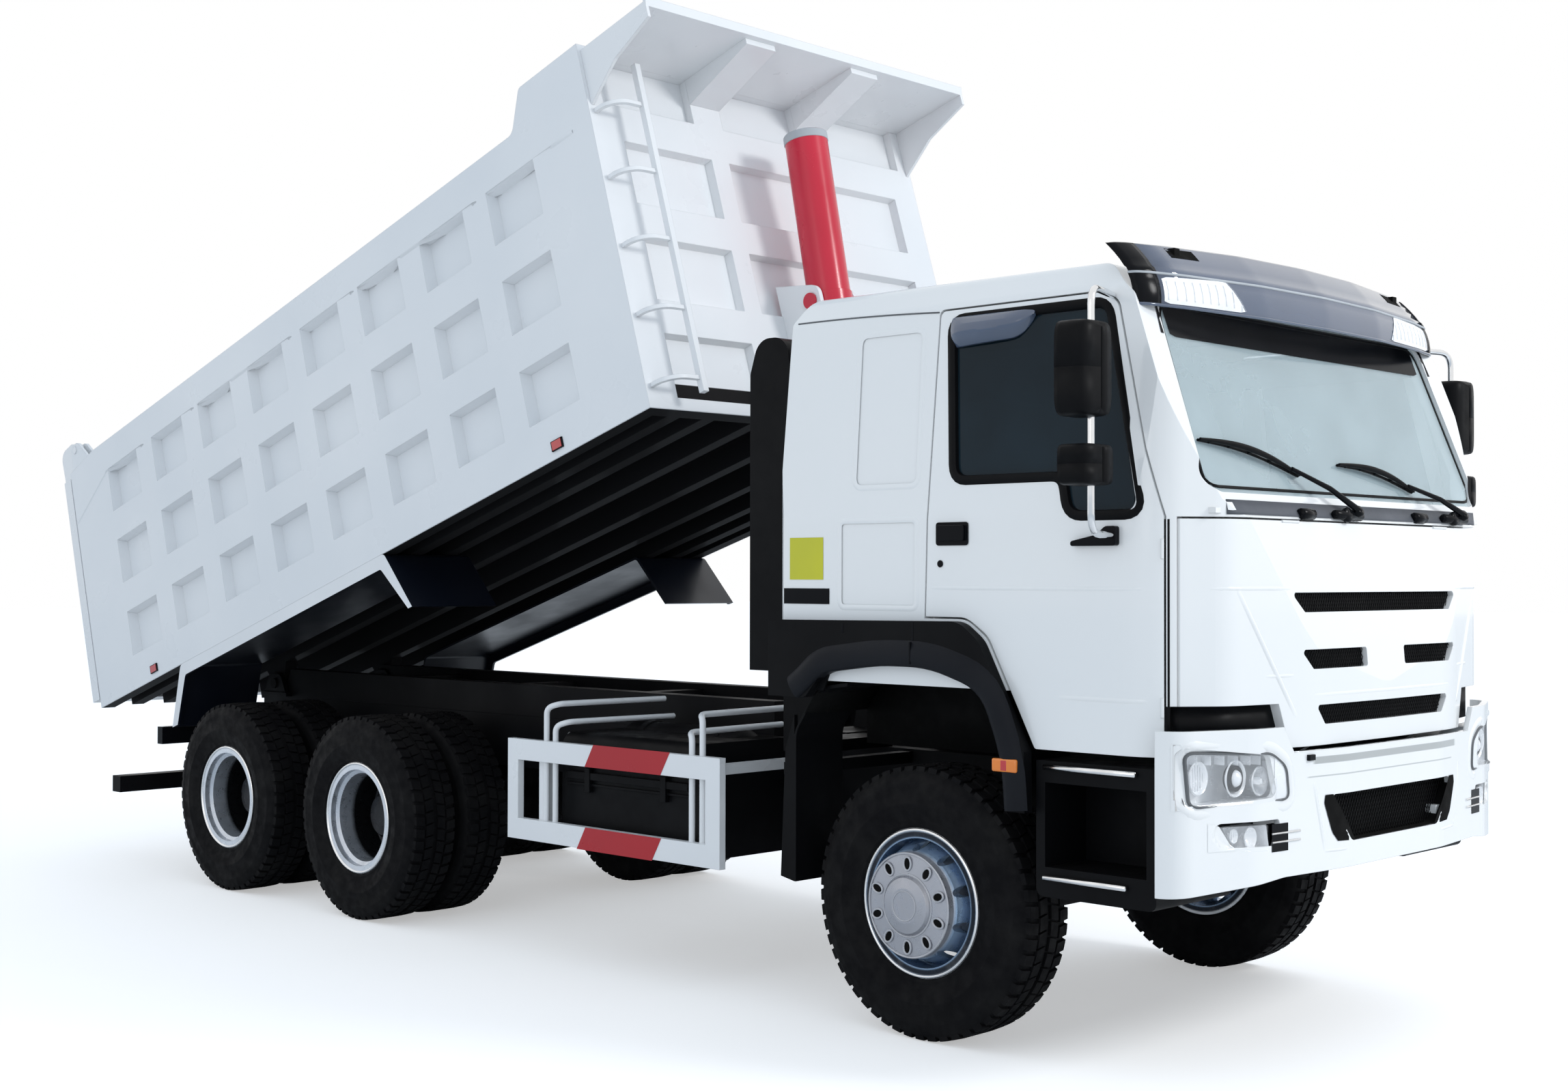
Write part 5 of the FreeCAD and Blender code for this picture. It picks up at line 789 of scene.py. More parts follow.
# tyres
tyreSet = {
    "lugs": 54, "groove": 0.014, "lugShare": 0.70, "rings": 128, "rim": 0.268, "half": 0.152,
    "shoulder": (0.068, 0.119), "shoulderLean": 0.12, "drop": 0.003,
    "rib": (0.012, 0.056), "ribLean": -0.16, "ribStart": 0.3, "ribShare": 0.86,
}


def tyreProfile(radius):
    rim, deep = tyreSet["rim"], radius - tyreSet["groove"]
    half = [
        (rim, 0.098), (rim + 0.012, 0.112), (rim + 0.030, 0.124), (rim + 0.036, 0.131),
        (rim + 0.044, 0.131), (rim + 0.050, 0.129), (rim + 0.085, 0.1455), (rim + 0.118, 0.150),
        (rim + 0.122, 0.1515), (rim + 0.128, 0.1515), (rim + 0.132, 0.1500), (rim + 0.165, 0.1475),
        (rim + 0.195, 0.1425), (rim + 0.202, 0.1435), (rim + 0.208, 0.1420), (rim + 0.228, 0.1345),
        (deep - 0.010, 0.126), (deep, 0.112), (deep + 0.001, 0.060), (deep + 0.0015, 0.0),
    ]
    return [(r, -y) for r, y in half] + [(r, y) for r, y in reversed(half[:-1])]


def treadBlock(shape, centre, radius, start, end, ends, skew, drop=0.0):
    depth, steps = tyreSet["groove"], 3
    inner, outer = ends
    rows = []
    for k in range(steps + 1):
        t = start + (end - start) * k / steps
        row = []
        for y, height, lean in ((inner, 0, 0), (inner, depth, 0), (outer, depth - drop, skew),
                                (outer + math.copysign(0.008, outer), -0.020, skew)):
            r = radius - depth + height
            row.append(centre + Vector((math.cos(t + lean) * r, y, math.sin(t + lean) * r)))
        rows.append(row)
    first = len(shape.verts)
    shape.grid(rows)
    last = first + steps * 4
    shape.faces.append((first, first + 1, first + 2, first + 3))
    shape.faces.append((last + 3, last + 2, last + 1, last))


def addTyre(carcass, treads, centre, radius):
    carcass.spin(tyreProfile(radius), centre, (0, 1, 0), tyreSet["rings"])
    pitch = 2 * math.pi / tyreSet["lugs"]
    for side in (-1, 1):
        for k in range(tyreSet["lugs"]):
            start = pitch * (k + (0.5 if side > 0 else 0))
            treadBlock(treads, centre, radius, start, start + pitch * tyreSet["lugShare"],
                       [side * y for y in tyreSet["shoulder"]], pitch * tyreSet["shoulderLean"],
                       tyreSet["drop"])
            start += pitch * tyreSet["ribStart"]
            treadBlock(treads, centre, radius, start, start + pitch * tyreSet["ribShare"],
                       [side * y for y in tyreSet["rib"]], pitch * tyreSet["ribLean"])


def makeTyres(station, side):
    name = "%s_%s" % (station, sideNames[side])
    node = "tyre_" + name
    low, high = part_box(node)
    centres = [middle(node)]
    if station != "front":
        offset = (high[1] - low[1]) / 2 - tyreSet["half"]
        centres = [middle(node) + Vector((0, offset * k, 0)) for k in (-1, 1)]
    carcass, treads = Shape(), Shape()
    for centre in centres:
        addTyre(carcass, treads, centre, (high[2] - low[2]) / 2)
    wall = carcass.piece("casing_" + name, "tyre", "wheel_" + name, "tyre_rubber", smooth=60)
    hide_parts(node)
    treads.piece("tread_" + name, "tyre", "wheel_" + name, "tyre_rubber", smooth=50)


for station in ("front", "middle", "rear"):
    for side in (-1, 1):
        makeTyres(station, side)
print("tyres made")

doorTree = {-1: skinTree("door_right"), 1: skinTree("door_left")}
cabTree = skinTree("cab_shell")
noseTree = skinTree("front_flap", "cab_shell")
grilleTree = skinTree("flap_grille")
bumperTree = skinTree("bumper")
lampTree = skinTree("front_lamps", "bumper")
glassTree = skinTree("cab_glass")
frameTree = skinTree("frame")
boxTree = skinTree("battery_box")
bedTree = skinTree("bed_body")


# doors
doorSet = {
    "window": [(0.222, 2.205), (0.735, 2.205), (0.765, 2.058), (1.062, 2.058), (0.898, 2.815),
               (0.182, 2.815)],
    "windowCorner": 0.055, "sealWidth": 0.030,
    "handle": ((0.140, 1.945), (0.300, 2.035)), "grip": ((0.152, 1.963), (0.288, 2.023)),
    "lock": (0.160, 1.875), "lockRadius": 0.014,
}
rainSet = {"start": 0.175, "long": 0.405, "top": 2.832, "low": 2.705, "bulge": 0.030, "turn": 0.72}


def makeDoorTrim(side):
    tree, body, name = doorTree[side], doorBodies[side], sideNames[side]
    edge = Shape()
    wide = doorSet["sealWidth"]
    seal(edge, flatRounded(doorSet["window"], doorSet["windowCorner"]),
         lambda a, b: sideSkin(tree, a, b, side), (wide, wide - 0.004, 0.004, -0.006, -0.010),
         (-0.001, 0.004, 0.005, 0.001, -0.016), True)
    edge.piece("windowSeal_" + name, "moulding", body, "black_plastic", smooth=50)

    handle = Shape()
    low, high = doorSet["handle"]
    spot, normal = sideSkin(tree, (low[0] + high[0]) / 2, (low[1] + high[1]) / 2, side)
    for (low, high), corner, start, end in ((doorSet["handle"], 0.014, 0.001, 0.006),
                                            (doorSet["grip"], 0.010, 0.004, 0.020)):
        outline = [(axleX + a, b) for a, b in flatRounded(rectangle(low, high), corner)]
        handle.plate(outline, spot.y + side * start, spot.y + side * end)
    handle.piece("doorHandle_" + name, "glossBlack", body, "black_plastic", bevel=0.003)

    lock = Shape()
    spot, normal = sideSkin(tree, *doorSet["lock"], side)
    lock.rod(spot - normal * 0.001, spot + normal * 0.005, doorSet["lockRadius"], 24, 0.002)
    lock.piece("doorLock_" + name, "glossBlack", body, "black_plastic")


def makeRainGuard(side):
    guard = Shape()
    rows = []
    top, turn = rainSet["top"], rainSet["turn"]
    for k in range(15):
        t = k / 14
        bulge = rainSet["bulge"] * math.sin(math.pi * min(1, t * 1.15)) ** 0.5
        low = rainSet["low"] + 0.02 * t
        if t >= turn:
            low = rainSet["low"] + 0.015 + 0.09 * ((t - turn) / (1 - turn)) ** 2
        spot, _ = sideSkin(doorTree[side], rainSet["start"] + rainSet["long"] * t, top + 0.010, side)
        base = spot + Vector((0, 0, -0.008))
        rows.append([base + Vector((0, side * out, drop)) for out, drop in (
            (0.002, 0), (0.012 + bulge, -0.035), (0.014 + bulge, (low - top) * 0.6),
            (bulge * 0.6 - 0.010, low - top))])
    guard.grid(rows)
    guard.piece("rainGuard_" + sideNames[side], "smoked", doorBodies[side], "smoke_plastic",
                thick=0.004, level=1)


mirrorSet = {
    # low and high corners of the main and the small mirror
    "cases": (((0.942, 1.332, 2.385), (1.068, 1.528, 2.715)), ((0.955, 1.335, 2.145), (1.075, 1.528, 2.285))),
    "squareness": 0.32, "shellStart": 0.35, "glassInset": 0.010, "glassCorner": 0.025,
    "post": [(0.905, 1.10, 2.842), (0.930, 1.16, 2.842), (1.0, 1.392, 2.842), (1.0, 1.392, 2.40),
             (1.0, 1.392, 1.975), (0.962, 1.19, 1.975)],
    "tube": 0.013, "bend": 0.07, "clamps": (2.240, 2.500, 2.680), "clampRadius": 0.021,
    "foot": [(0.790, 1.937), (0.985, 1.937), (0.985, 2.008), (0.940, 2.008), (0.905, 1.978), (0.790, 1.955)],
    "footReach": 1.155,
}


def mirrorHousing(shape, low, high, side):
    centre = [(low[i] + high[i]) / 2 for i in range(3)]
    half = [(high[i] - low[i]) / 2 for i in range(3)]
    start, power = mirrorSet["shellStart"], mirrorSet["squareness"]
    steps, rings = 28, 8
    rows = []
    for j in range(rings + 1):
        depth = j / rings
        size = 1 if depth < start else math.sqrt(max(0, 1 - ((depth - start) / (1 - start)) ** 2.6))
        size = 0.02 if j == rings else 0.55 + 0.45 * size
        row = []
        for k in range(steps):
            t = 2 * math.pi * k / steps
            a, b = math.cos(t), math.sin(t)
            y = math.copysign(abs(a) ** power, a) * half[1] * size
            z = math.copysign(abs(b) ** power, b) * half[2] * (0.86 + 0.14 * size)
            x = half[0] * (2 * depth - 1)
            row.append(fromAxle(centre[0] + x, side * (centre[1] + y), centre[2] + z))
        rows.append(row + [row[0]])
    shape.grid(rows)


def makeMirrors(side):
    body, name = doorBodies[side], sideNames[side]
    housing, glass = Shape(), Shape()
    inset = mirrorSet["glassInset"]
    for low, high in mirrorSet["cases"]:
        mirrorHousing(housing, low, high, side)
        face = rectangle((low[1] + inset, low[2] + inset), (high[1] - inset, high[2] - inset))
        glass.plate(mirrored(flatRounded(face, mirrorSet["glassCorner"]), side),
                    axleX + low[0] + 0.006, axleX + low[0] + 0.010, "YZ")
    case = housing.piece("mirrorCase_" + name, "moulding", body, "black_plastic", smooth=70, thick=0.004)
    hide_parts("mirror_" + name)
    glass.piece("mirrorGlass_" + name, "chrome", body, "hoist_chrome")

    arms = Shape()
    post = [fromAxle(x, side * y, z) for x, y, z in mirrorSet["post"]]
    arms.tube(rounded(post, mirrorSet["bend"]), mirrorSet["tube"], 12)
    for z in mirrorSet["clamps"]:
        x, y, _ = post[2]
        arms.rod((x, y, z - 0.02), (x, y, z + 0.02), mirrorSet["clampRadius"], 14, 0.003)
    arms.piece("mirrorArms_" + name, "chrome", body, "hoist_chrome", smooth=60)

    foot = Shape()
    spot, _ = sideSkin(doorTree[side], 0.9, 1.95, side)
    outline = [(axleX + a, b) for a, b in flatRounded(mirrorSet["foot"], 0.012)]
    foot.plate(outline, side * mirrorSet["footReach"], spot.y + side * 0.028)
    foot.piece("mirrorFoot_" + name, "glossBlack", body, "black_plastic", bevel=0.004)


for side in (-1, 1):
    makeDoorTrim(side)
    makeRainGuard(side)
    makeMirrors(side)
print("doors and mirrors trimmed")


# windscreen, cowl and wipers
screenSet = {
    "line": [(-1.075, 2.128), (1.075, 2.128), (1.015, 2.840), (-1.015, 2.840)], "corner": 0.10,
    "bandTop": 2.832, "bandLow": 2.70, "bandCorner": [(0.985, 2.700), (1.052, 2.705), (1.030, 2.838),
                                                      (0.965, 2.838)],
    "cowlHalf": 0.985, "cowl": (2.048, 2.058, 2.100),
}


def makeScreen():
    edge = Shape()
    line = grownLine(flatRounded(screenSet["line"], screenSet["corner"]), -0.020)
    seal(edge, line, lambda a, b: frontSkin(glassTree, a, b), (0.006, 0.004, -0.004, -0.006),
         (0.0, 0.004, 0.004, 0.0))
    edge.piece("screenSeal", "moulding", "cab", "black_plastic", smooth=60)

    # a gloss black band along the top of the screen and over the pillar corners: painted shadow of the visor
    band = Shape()
    rows = []
    for k in range(61):
        y = -1.0 + 2.0 * k / 60
        edge = max(0.0, (abs(y) - 0.92) / 0.08)
        low = screenSet["bandLow"] + 0.05 * (1 - math.sqrt(max(0.0, 1 - edge ** 2)))
        rows.append([frontSkin(glassTree, y, spread(screenSet["bandTop"], low, t), 0.0015)[0]
                     for t in (0, 0.35, 0.7, 1.0)])
    band.grid(rows)
    for side in (-1, 1):
        patch(band, cabTree, mirrored(screenSet["bandCorner"], side), 0.0018, 10, 6)
    band.piece("screenBand", "glossBlack", "cab", "black_plastic", smooth=60)


wiperSet = {
    # across and up, for each wiper
    "pivots": [(-0.120, 2.060), (0.790, 2.066)], "joints": [(-0.455, 2.224), (0.455, 2.190)],
    "blades": [((-1.020, 2.312), (-0.390, 2.205)), ((-0.050, 2.262), (0.510, 2.172))],
    "bow": 0.022, "clips": (2, 6, 10, 14, 18),
    # lumps about the pivot: start, end, radius, sides, chamfer
    "lumps": (((0.018, 0.045, 0.0), (0.018, -0.16, 0.004), 0.018, 14, 0.005),
              ((0.010, -0.07, 0.002), (0.034, -0.07, 0.006), 0.030, 16, 0.006),
              ((0.012, -0.405, 0.0), (0.012, -0.315, 0.0), 0.022, 14, 0.005)),
}


def makeWipers():
    arms, blades = Shape(), Shape()
    for pivot, joint, (start, end) in zip(wiperSet["pivots"], wiperSet["joints"], wiperSet["blades"]):
        root, normal = frontSkin(cabTree, *pivot)
        normal = Vector((abs(normal.x), 0, abs(normal.z))).normalized()
        arms.rod(root - normal * 0.01, root + normal * 0.050, 0.022, 20, 0.004)
        for a, b, radius, sides, chamfer in wiperSet["lumps"]:
            arms.rod(root + Vector(a), root + Vector(b), radius, sides, chamfer)
        elbow, out = frontSkin(glassTree, *joint)
        tip, first = elbow + out * 0.026, root + normal * 0.042
        arms.tube([first, first.lerp(tip, 0.5) + out * 0.016, tip], lambda t: 0.013 - 0.005 * t, 10)
        line = [frontSkin(glassTree, a, b + wiperSet["bow"] * math.sin(math.pi * k / 20))
                for k, (a, b) in enumerate(between(start, end, 20))]
        line = [(p, n) for p, n in line if p is not None]
        last = len(line) - 1
        blades.tube([p + n * 0.006 for p, n in line], 0.006, 6)
        blades.tube([p + n * (0.016 + 0.016 * math.sin(math.pi * i / last)) for i, (p, n) in enumerate(line)],
                    lambda t: 0.005 + 0.007 * math.sin(math.pi * t), 8)
        for i in wiperSet["clips"]:
            p, n = line[min(i, last)]
            blades.rod(p + n * 0.006, p + n * (0.018 + 0.014 * math.sin(math.pi * i / 20)), 0.008, 8)
    arms.piece("wiperArms", "glossBlack", "cab", "black_plastic", smooth=60)
    blade = blades.piece("wiperBlades", "moulding", "cab", "black_plastic", smooth=60)
    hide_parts("wipers")


def makeCowl():
    cover = Shape()
    half = screenSet["cowlHalf"]
    cover.grid([[frontSkin(cabTree, -half + 2 * half * k / 40, z, 0.003)[0] for z in screenSet["cowl"]]
                for k in range(41)])
    cover.piece("cowlCover", "cowlGrey", "cab", "black_plastic", smooth=60, thick=0.002)


makeScreen()
makeWipers()
makeCowl()
print("windscreen, cowl and wipers made")


# lamps in the bumper
lampSet = {
    "head": [(0.738, 1.034), (1.176, 1.026), (1.190, 1.214), (0.832, 1.200), (0.752, 1.150)],
    "headStrip": [(0.744, 1.038), (0.818, 1.037), (0.818, 1.190), (0.772, 1.160), (0.752, 1.120)],
    "fog": [(0.846, 0.856), (0.990, 0.864), (1.050, 0.952), (0.842, 0.950)],
    "slats": [(0.742, 0.850), (0.838, 0.855), (0.834, 0.950), (0.740, 0.948)],
    "infills": ([(1.196, 1.020), (1.2295, 1.014), (1.2295, 1.245), (1.205, 1.245)],
                [(1.000, 0.868), (1.114, 0.868), (1.114, 0.968), (1.060, 0.958)]),
    # across, up, radius, kind
    "bowls": ((1.108, 1.122, 0.056, "ribbed"), (0.958, 1.115, 0.062, "projector"),
              (0.840, 1.100, 0.050, "plain")),
    # across, up, radius, depth, ribs
    "fogBowls": ((0.915, 0.905, 0.036, 0.030, 0), (0.985, 0.915, 0.024, 0.022, 4)),
    "fins": (0.800, 0.054, 7), "slatLines": (0.884, 0.915),
}


def lampBowl(shape, line, side, depth, margin):
    # the pocket behind a lens: walls that follow the lens and a flat back
    spots = [frontSkin(lampTree, a, b)[0] for a, b in grownLine(mirrored(line, side), -margin)]
    back = min(spot.x for spot in spots) - depth * 0.25
    first = len(shape.verts)
    rows = [[Vector((spread(spot.x, back, reach) - 0.002, spot.y, spot.z)) for spot in spots + spots[:1]]
            for reach in (0.002, 0.3, 1.0)]
    shape.grid(rows)
    shape.faces.append(tuple(first + 2 * len(rows[0]) + k for k in range(len(spots))))


def reflector(shape, at, radius, depth, ribs=0):
    profile = [(0.001, -depth)] + [(radius * k / 10, -depth * (1 - (k / 10) ** 2)) for k in range(1, 11)]
    profile += [(radius * 1.04, 0.001), (radius * 1.08, -0.004)]
    shape.spin(profile, at, (1, 0, 0), 36)
    for k in range(ribs):
        across = -radius + 2 * radius * (k + 0.5) / ribs
        half = math.sqrt(max(0.0, radius ** 2 - across ** 2)) * 0.9
        rib = at + Vector((-0.012, across, 0))
        shape.rod(rib - Vector((0, 0, half)), rib + Vector((0, 0, half)), 0.0028, 8)


def makeOptics(line, side):
    inner, dark = Shape(), Shape()
    forward = (1, 0, 0)
    for y, z, radius, kind in lampSet["bowls"]:
        at = frontSkin(lampTree, side * y, z)[0] + Vector((-0.030, 0, 0))
        reflector(inner, at, radius, 0.045, 7 if kind == "ribbed" else 0)
        if kind == "projector":
            dark.spin([(0.046, 0.004), (0.046, -0.022), (0.034, -0.022), (0.034, 0.006), (0.046, 0.004)],
                      at + Vector((-0.004, 0, 0)), forward, 36)
            inner.spin([(0.001, 0.020), (0.014, 0.017), (0.026, 0.009), (0.033, -0.004), (0.034, -0.020)],
                       at + Vector((-0.002, 0, 0)), forward, 32)
        elif kind == "plain":
            inner.spin([(0.001, 0.012), (0.010, 0.010), (0.014, -0.002), (0.014, -0.036)],
                       at + Vector((-0.004, 0, 0)), forward, 24)
    start, pitch, count = lampSet["fins"]
    for k in range(count):
        y = start + pitch * k
        spot, _ = frontSkin(lampTree, side * y, heightSpan(line, y)[1] - 0.022)
        inner.box(spot + Vector((-0.060, -0.0015, -0.020)), spot + Vector((-0.020, 0.0015, 0.012)))
    inner.piece("headlampOptics_" + sideNames[side], "bowlSilver", "chassis", "hoist_chrome", smooth=50)
    dark.piece("headlampShroud_" + sideNames[side], "glossBlack", "chassis", "black_plastic", smooth=40)


def makeHeadlamp(side):
    name = sideNames[side]
    line = flatRounded(lampSet["head"], 0.032)
    sided = mirrored(line, side)
    skin = lambda a, b: frontSkin(lampTree, a, b)
    cover, bowl, bezel, brow, surround = [Shape() for _ in range(5)]
    patch(cover, lampTree, sided, 0.005, 36, 10)
    shield = cover.piece("headlampLens_" + name, "clearLens", "chassis", "lamp_lens", smooth=70)
    if side < 0:
        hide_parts("front_lamps")
    lampBowl(bowl, line, side, 0.09, 0.004)
    patch(bowl, lampTree, mirrored(lampSet["headStrip"], side), 0.0015, 8, 6)
    bowl.piece("headlampBowl_" + name, "bowlSilver", "chassis", "hoist_chrome", smooth=30)
    seal(bezel, sided, skin, (-0.004, -0.0035, 0.002, 0.0065), (-0.004, 0.0065, 0.0075, -0.001))
    bezel.piece("headlampBezel_" + name, "lampGrey", "chassis", "grey_metal", smooth=40)
    seal(brow, sided, skin, (0.0065, 0.020, 0.034, 0.046), (-0.001, 0.004, 0.0045, -0.0008))
    brow.piece("headlampBrow_" + name, "cabWhite", "chassis", "cab_paint", smooth=70)
    for infill in lampSet["infills"]:
        patch(surround, lampTree, mirrored(infill, side), 0.0012, 12, 6)
    surround.piece("lampSurround_" + name, "cabWhite", "chassis", "cab_paint", smooth=60)
    makeOptics(line, side)


def bumperFace(y):
    # halfway between the skin above and below the fog lamp's opening
    return (frontSkin(bumperTree, y, 0.985)[0].x + frontSkin(bumperTree, y, 0.832)[0].x) / 2


def makeFogLamp(side):
    name = sideNames[side]
    line = flatRounded(lampSet["fog"], 0.016)
    cover, bowl, back, bright = [Shape() for _ in range(4)]
    patch(cover, lampTree, mirrored(line, side), 0.002, 18, 5)
    cover.piece("fogLens_" + name, "clearLens", "chassis", "lamp_lens", smooth=70)
    lampBowl(bowl, line, side, 0.07, 0.003)
    for y, z, radius, depth, ribs in lampSet["fogBowls"]:
        at = frontSkin(lampTree, side * y, z)[0] + Vector((-0.012, 0, 0))
        reflector(bowl, at, radius, depth, ribs)
    bowl.piece("fogBowl_" + name, "bowlSilver", "chassis", "hoist_chrome", smooth=40)
    lampBowl(back, flatRounded(lampSet["slats"], 0.008), side, 0.05, 0.002)
    back.grid([[Vector((bumperFace(y) + 0.002, y, z)) for z in (0.850, 0.900, 0.949)]
               for y in (side * (0.741 + 0.094 * k / 8) for k in range(9))])
    back.piece("fogSlats_" + name, "glossBlack", "chassis", "black_plastic", smooth=40)
    for z in lampSet["slatLines"]:
        bright.tube([Vector((bumperFace(y) + 0.003, y, z))
                     for y in (side * (0.672 + 0.162 * j / 9) for j in range(10))], 0.0042, 6)
    bright.piece("fogLines_" + name, "chrome", "chassis", "hoist_chrome")


for side in (-1, 1):
    makeHeadlamp(side)
    makeFogLamp(side)
print("lamps made")


# grille flap and bumper face
grilleSet = {
    "slots": [[(-0.578, 1.699), (0.578, 1.699), (0.656, 1.769), (-0.656, 1.769)],
              [(-0.543, 1.491), (-0.152, 1.491), (-0.152, 1.561), (-0.616, 1.561)],
              [(0.152, 1.491), (0.543, 1.491), (0.616, 1.561), (0.152, 1.561)],
              [(-0.468, 1.287), (0.468, 1.287), (0.526, 1.357), (-0.526, 1.357)]],
    "pitch": 0.017, "wire": 0.0016,
}
mouthSet = {
    "line": [(-0.343, 0.852), (0.343, 0.852), (0.502, 1.028), (-0.502, 1.028)], "corner": 0.030,
    # depth behind the skin and how far each loop shrinks
    "loops": ((-0.0008, -0.002), (-0.030, -0.003), (-0.058, -0.004)),
    "skinAbove": 1.06, "proud": 0.0022, "top": 1.031, "outer": (0.538, 0.076, 0.174),
    "inner": (0.470, 0.150, 0.180), "pitch": 0.020, "wire": 0.0018, "wireDepth": 0.040,
}


def insideLine(line, a, b):
    inside = False
    for i, (x2, y2) in enumerate(line):
        x1, y1 = line[i - 1]
        if (y1 > b) != (y2 > b) and a < (x2 - x1) * (b - y1) / (y2 - y1) + x1:
            inside = not inside
    return inside


def meshPanel(shape, line, pitch, wire, place):
    # crossed wires within a closed line; place gives the spot for a, b and a lift
    low, high = min(a for a, _ in line), max(a for a, _ in line)
    bottom, top = min(b for _, b in line), max(b for _, b in line)
    tall = top - bottom
    for lean in (-1, 1):
        for k in range(int((high - low + tall) / pitch) + 1):
            start = low - tall / 2 + pitch * k
            a1, a2 = (start, start + tall * 0.6) if lean > 0 else (start + tall * 0.6, start)
            inside = [t / 12 for t in range(13)
                      if insideLine(line, spread(a1, a2, t / 12), bottom + 0.001 + (tall - 0.002) * t / 12)]
            if len(inside) < 2:
                continue
            ends = [place(spread(a1, a2, t), bottom + tall * t, 0.001 * lean)
                    for t in (inside[0], inside[-1])]
            if None not in ends:
                shape.rod(*ends, wire, 4)


def makeGrilles():
    wires = Shape()
    for slot in grilleSet["slots"]:
        meshPanel(wires, slot, grilleSet["pitch"], grilleSet["wire"],
                  lambda a, b, extra: frontSkin(grilleTree, a, b, 0.006 + extra)[0])
    wires.piece("grilleMesh", "moulding", "flap", "black_plastic", smooth=30)


def makeMouth():
    pocket = Shape()
    line = flatRounded(mouthSet["line"], mouthSet["corner"])
    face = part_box("bumper")[1][0]
    rows = []
    for inset, grow in mouthSet["loops"]:
        row = []
        for a, b in grownLine(line, grow):
            spot, _ = frontSkin(bumperTree, a * 1.03, b + (0.012 if b > 0.95 else -0.012))
            x = spot.x if spot is not None and spot.x > face - 0.12 else face - 0.03
            row.append(Vector((x + inset, a, b)))
        rows.append(row + [row[0]])
    first = len(pocket.verts)
    pocket.grid(rows)
    count = len(line)
    pocket.faces.append(tuple(first + 2 * (count + 1) + k for k in range(count)))
    # black flanks that follow the skin above the mouth
    above, top = mouthSet["skinAbove"], mouthSet["top"]
    for side in (-1, 1):
        rows = []
        for k in range(13):
            t = k / 12
            soft = 0.020 * math.exp(-((t / 0.10) ** 2)) + 0.020 * math.exp(-(((1 - t) / 0.12) ** 2))
            start, across, drop = mouthSet["outer"]
            outer = (start - across * t - soft, top - drop * t)
            start, across, drop = mouthSet["inner"]
            inner = (start - across * t, top - drop * t)
            crown = (frontSkin(bumperTree, side * outer[0], outer[1])[0].x
                     - frontSkin(bumperTree, side * outer[0], above)[0].x + mouthSet["proud"])
            rows.append([Vector((min(frontSkin(bumperTree, side * a, above)[0].x + crown,
                                     cadBox[1][0] - 0.0004), side * a, b))
                         for a, b in between(outer, inner, 2)])
        pocket.grid(rows)
    pocket.piece("mouthPocket", "pitBlack", "chassis", "black_plastic", smooth=40)
    wires = Shape()
    meshPanel(wires, grownLine(line, -0.004), mouthSet["pitch"], mouthSet["wire"],
              lambda a, b, extra: Vector((face - mouthSet["wireDepth"] + extra, a, b)))
    wires.piece("mouthMesh", "moulding", "chassis", "black_plastic", smooth=30)


swageSet = {
    # start, end, steps, half width, height; each is laid on both sides
    "nose": (((0.940, 1.780), (0.645, 1.320), 24, 0.012, 0.006),
             ((0.655, 1.470), (0.80, 1.470), 8, 0.007, 0.003),
             ((0.60, 1.262), (0.70, 1.262), 8, 0.007, 0.003),
             ((1.035, 1.785), (0.66, 1.785), 12, 0.008, 0.004)),
    "noseMiddle": ((-0.55, 1.395), (0.55, 1.395), 30, 0.008, 0.0025),
    "bumper": (((0.585, 1.080), (0.520, 0.830), 16, 0.010, 0.004),
               ((0.520, 0.826), (0.380, 0.824), 16, 0.006, 0.003)),
    "clip": (-0.605, 1.172),
}


def layRidge(shape, drop, values, side=1):
    start, end, steps, width, height = values
    ridge(shape, mirrored(between(start, end, steps), side), drop, width, height)


def makeNoseLines():
    lines, lips, clip = Shape(), Shape(), Shape()
    nose = lambda a, b: frontSkin(noseTree, a, b)
    bumper = lambda a, b: frontSkin(bumperTree, a, b)
    for side in (-1, 1):
        for values in swageSet["nose"]:
            layRidge(lines, nose, values, side)
        for values in swageSet["bumper"]:
            layRidge(lips, bumper, values, side)
    layRidge(lines, nose, swageSet["noseMiddle"])
    lines.piece("noseSwages", "cabWhite", "flap", "cab_paint", smooth=80)
    lips.piece("bumperSwages", "cabWhite", "chassis", "cab_paint", smooth=80)
    spot, _ = bumper(*swageSet["clip"])
    clip.box(spot + Vector((-0.012, -0.022, -0.010)), spot + Vector((0.010, 0.022, 0.012)))
    clip.piece("bandClip", "glossBlack", "chassis", "black_plastic", bevel=0.003)


gapSet = {
    "corner": (1.235, 1.368), "cornerFrom": 0.70, "cornerWide": 0.42, "cornerDepth": 0.040,
    "sillHalf": 0.70, "sillHeight": 1.185, "sill": ((-0.004, 0.007), (-0.006, 0.012), (-0.018, 0.013)),
    "pillarX": 1.128, "pillar": (1.25, 2.03), "pillarRubber": ((0.010, 0.016), (0.030, 0.024)),
}


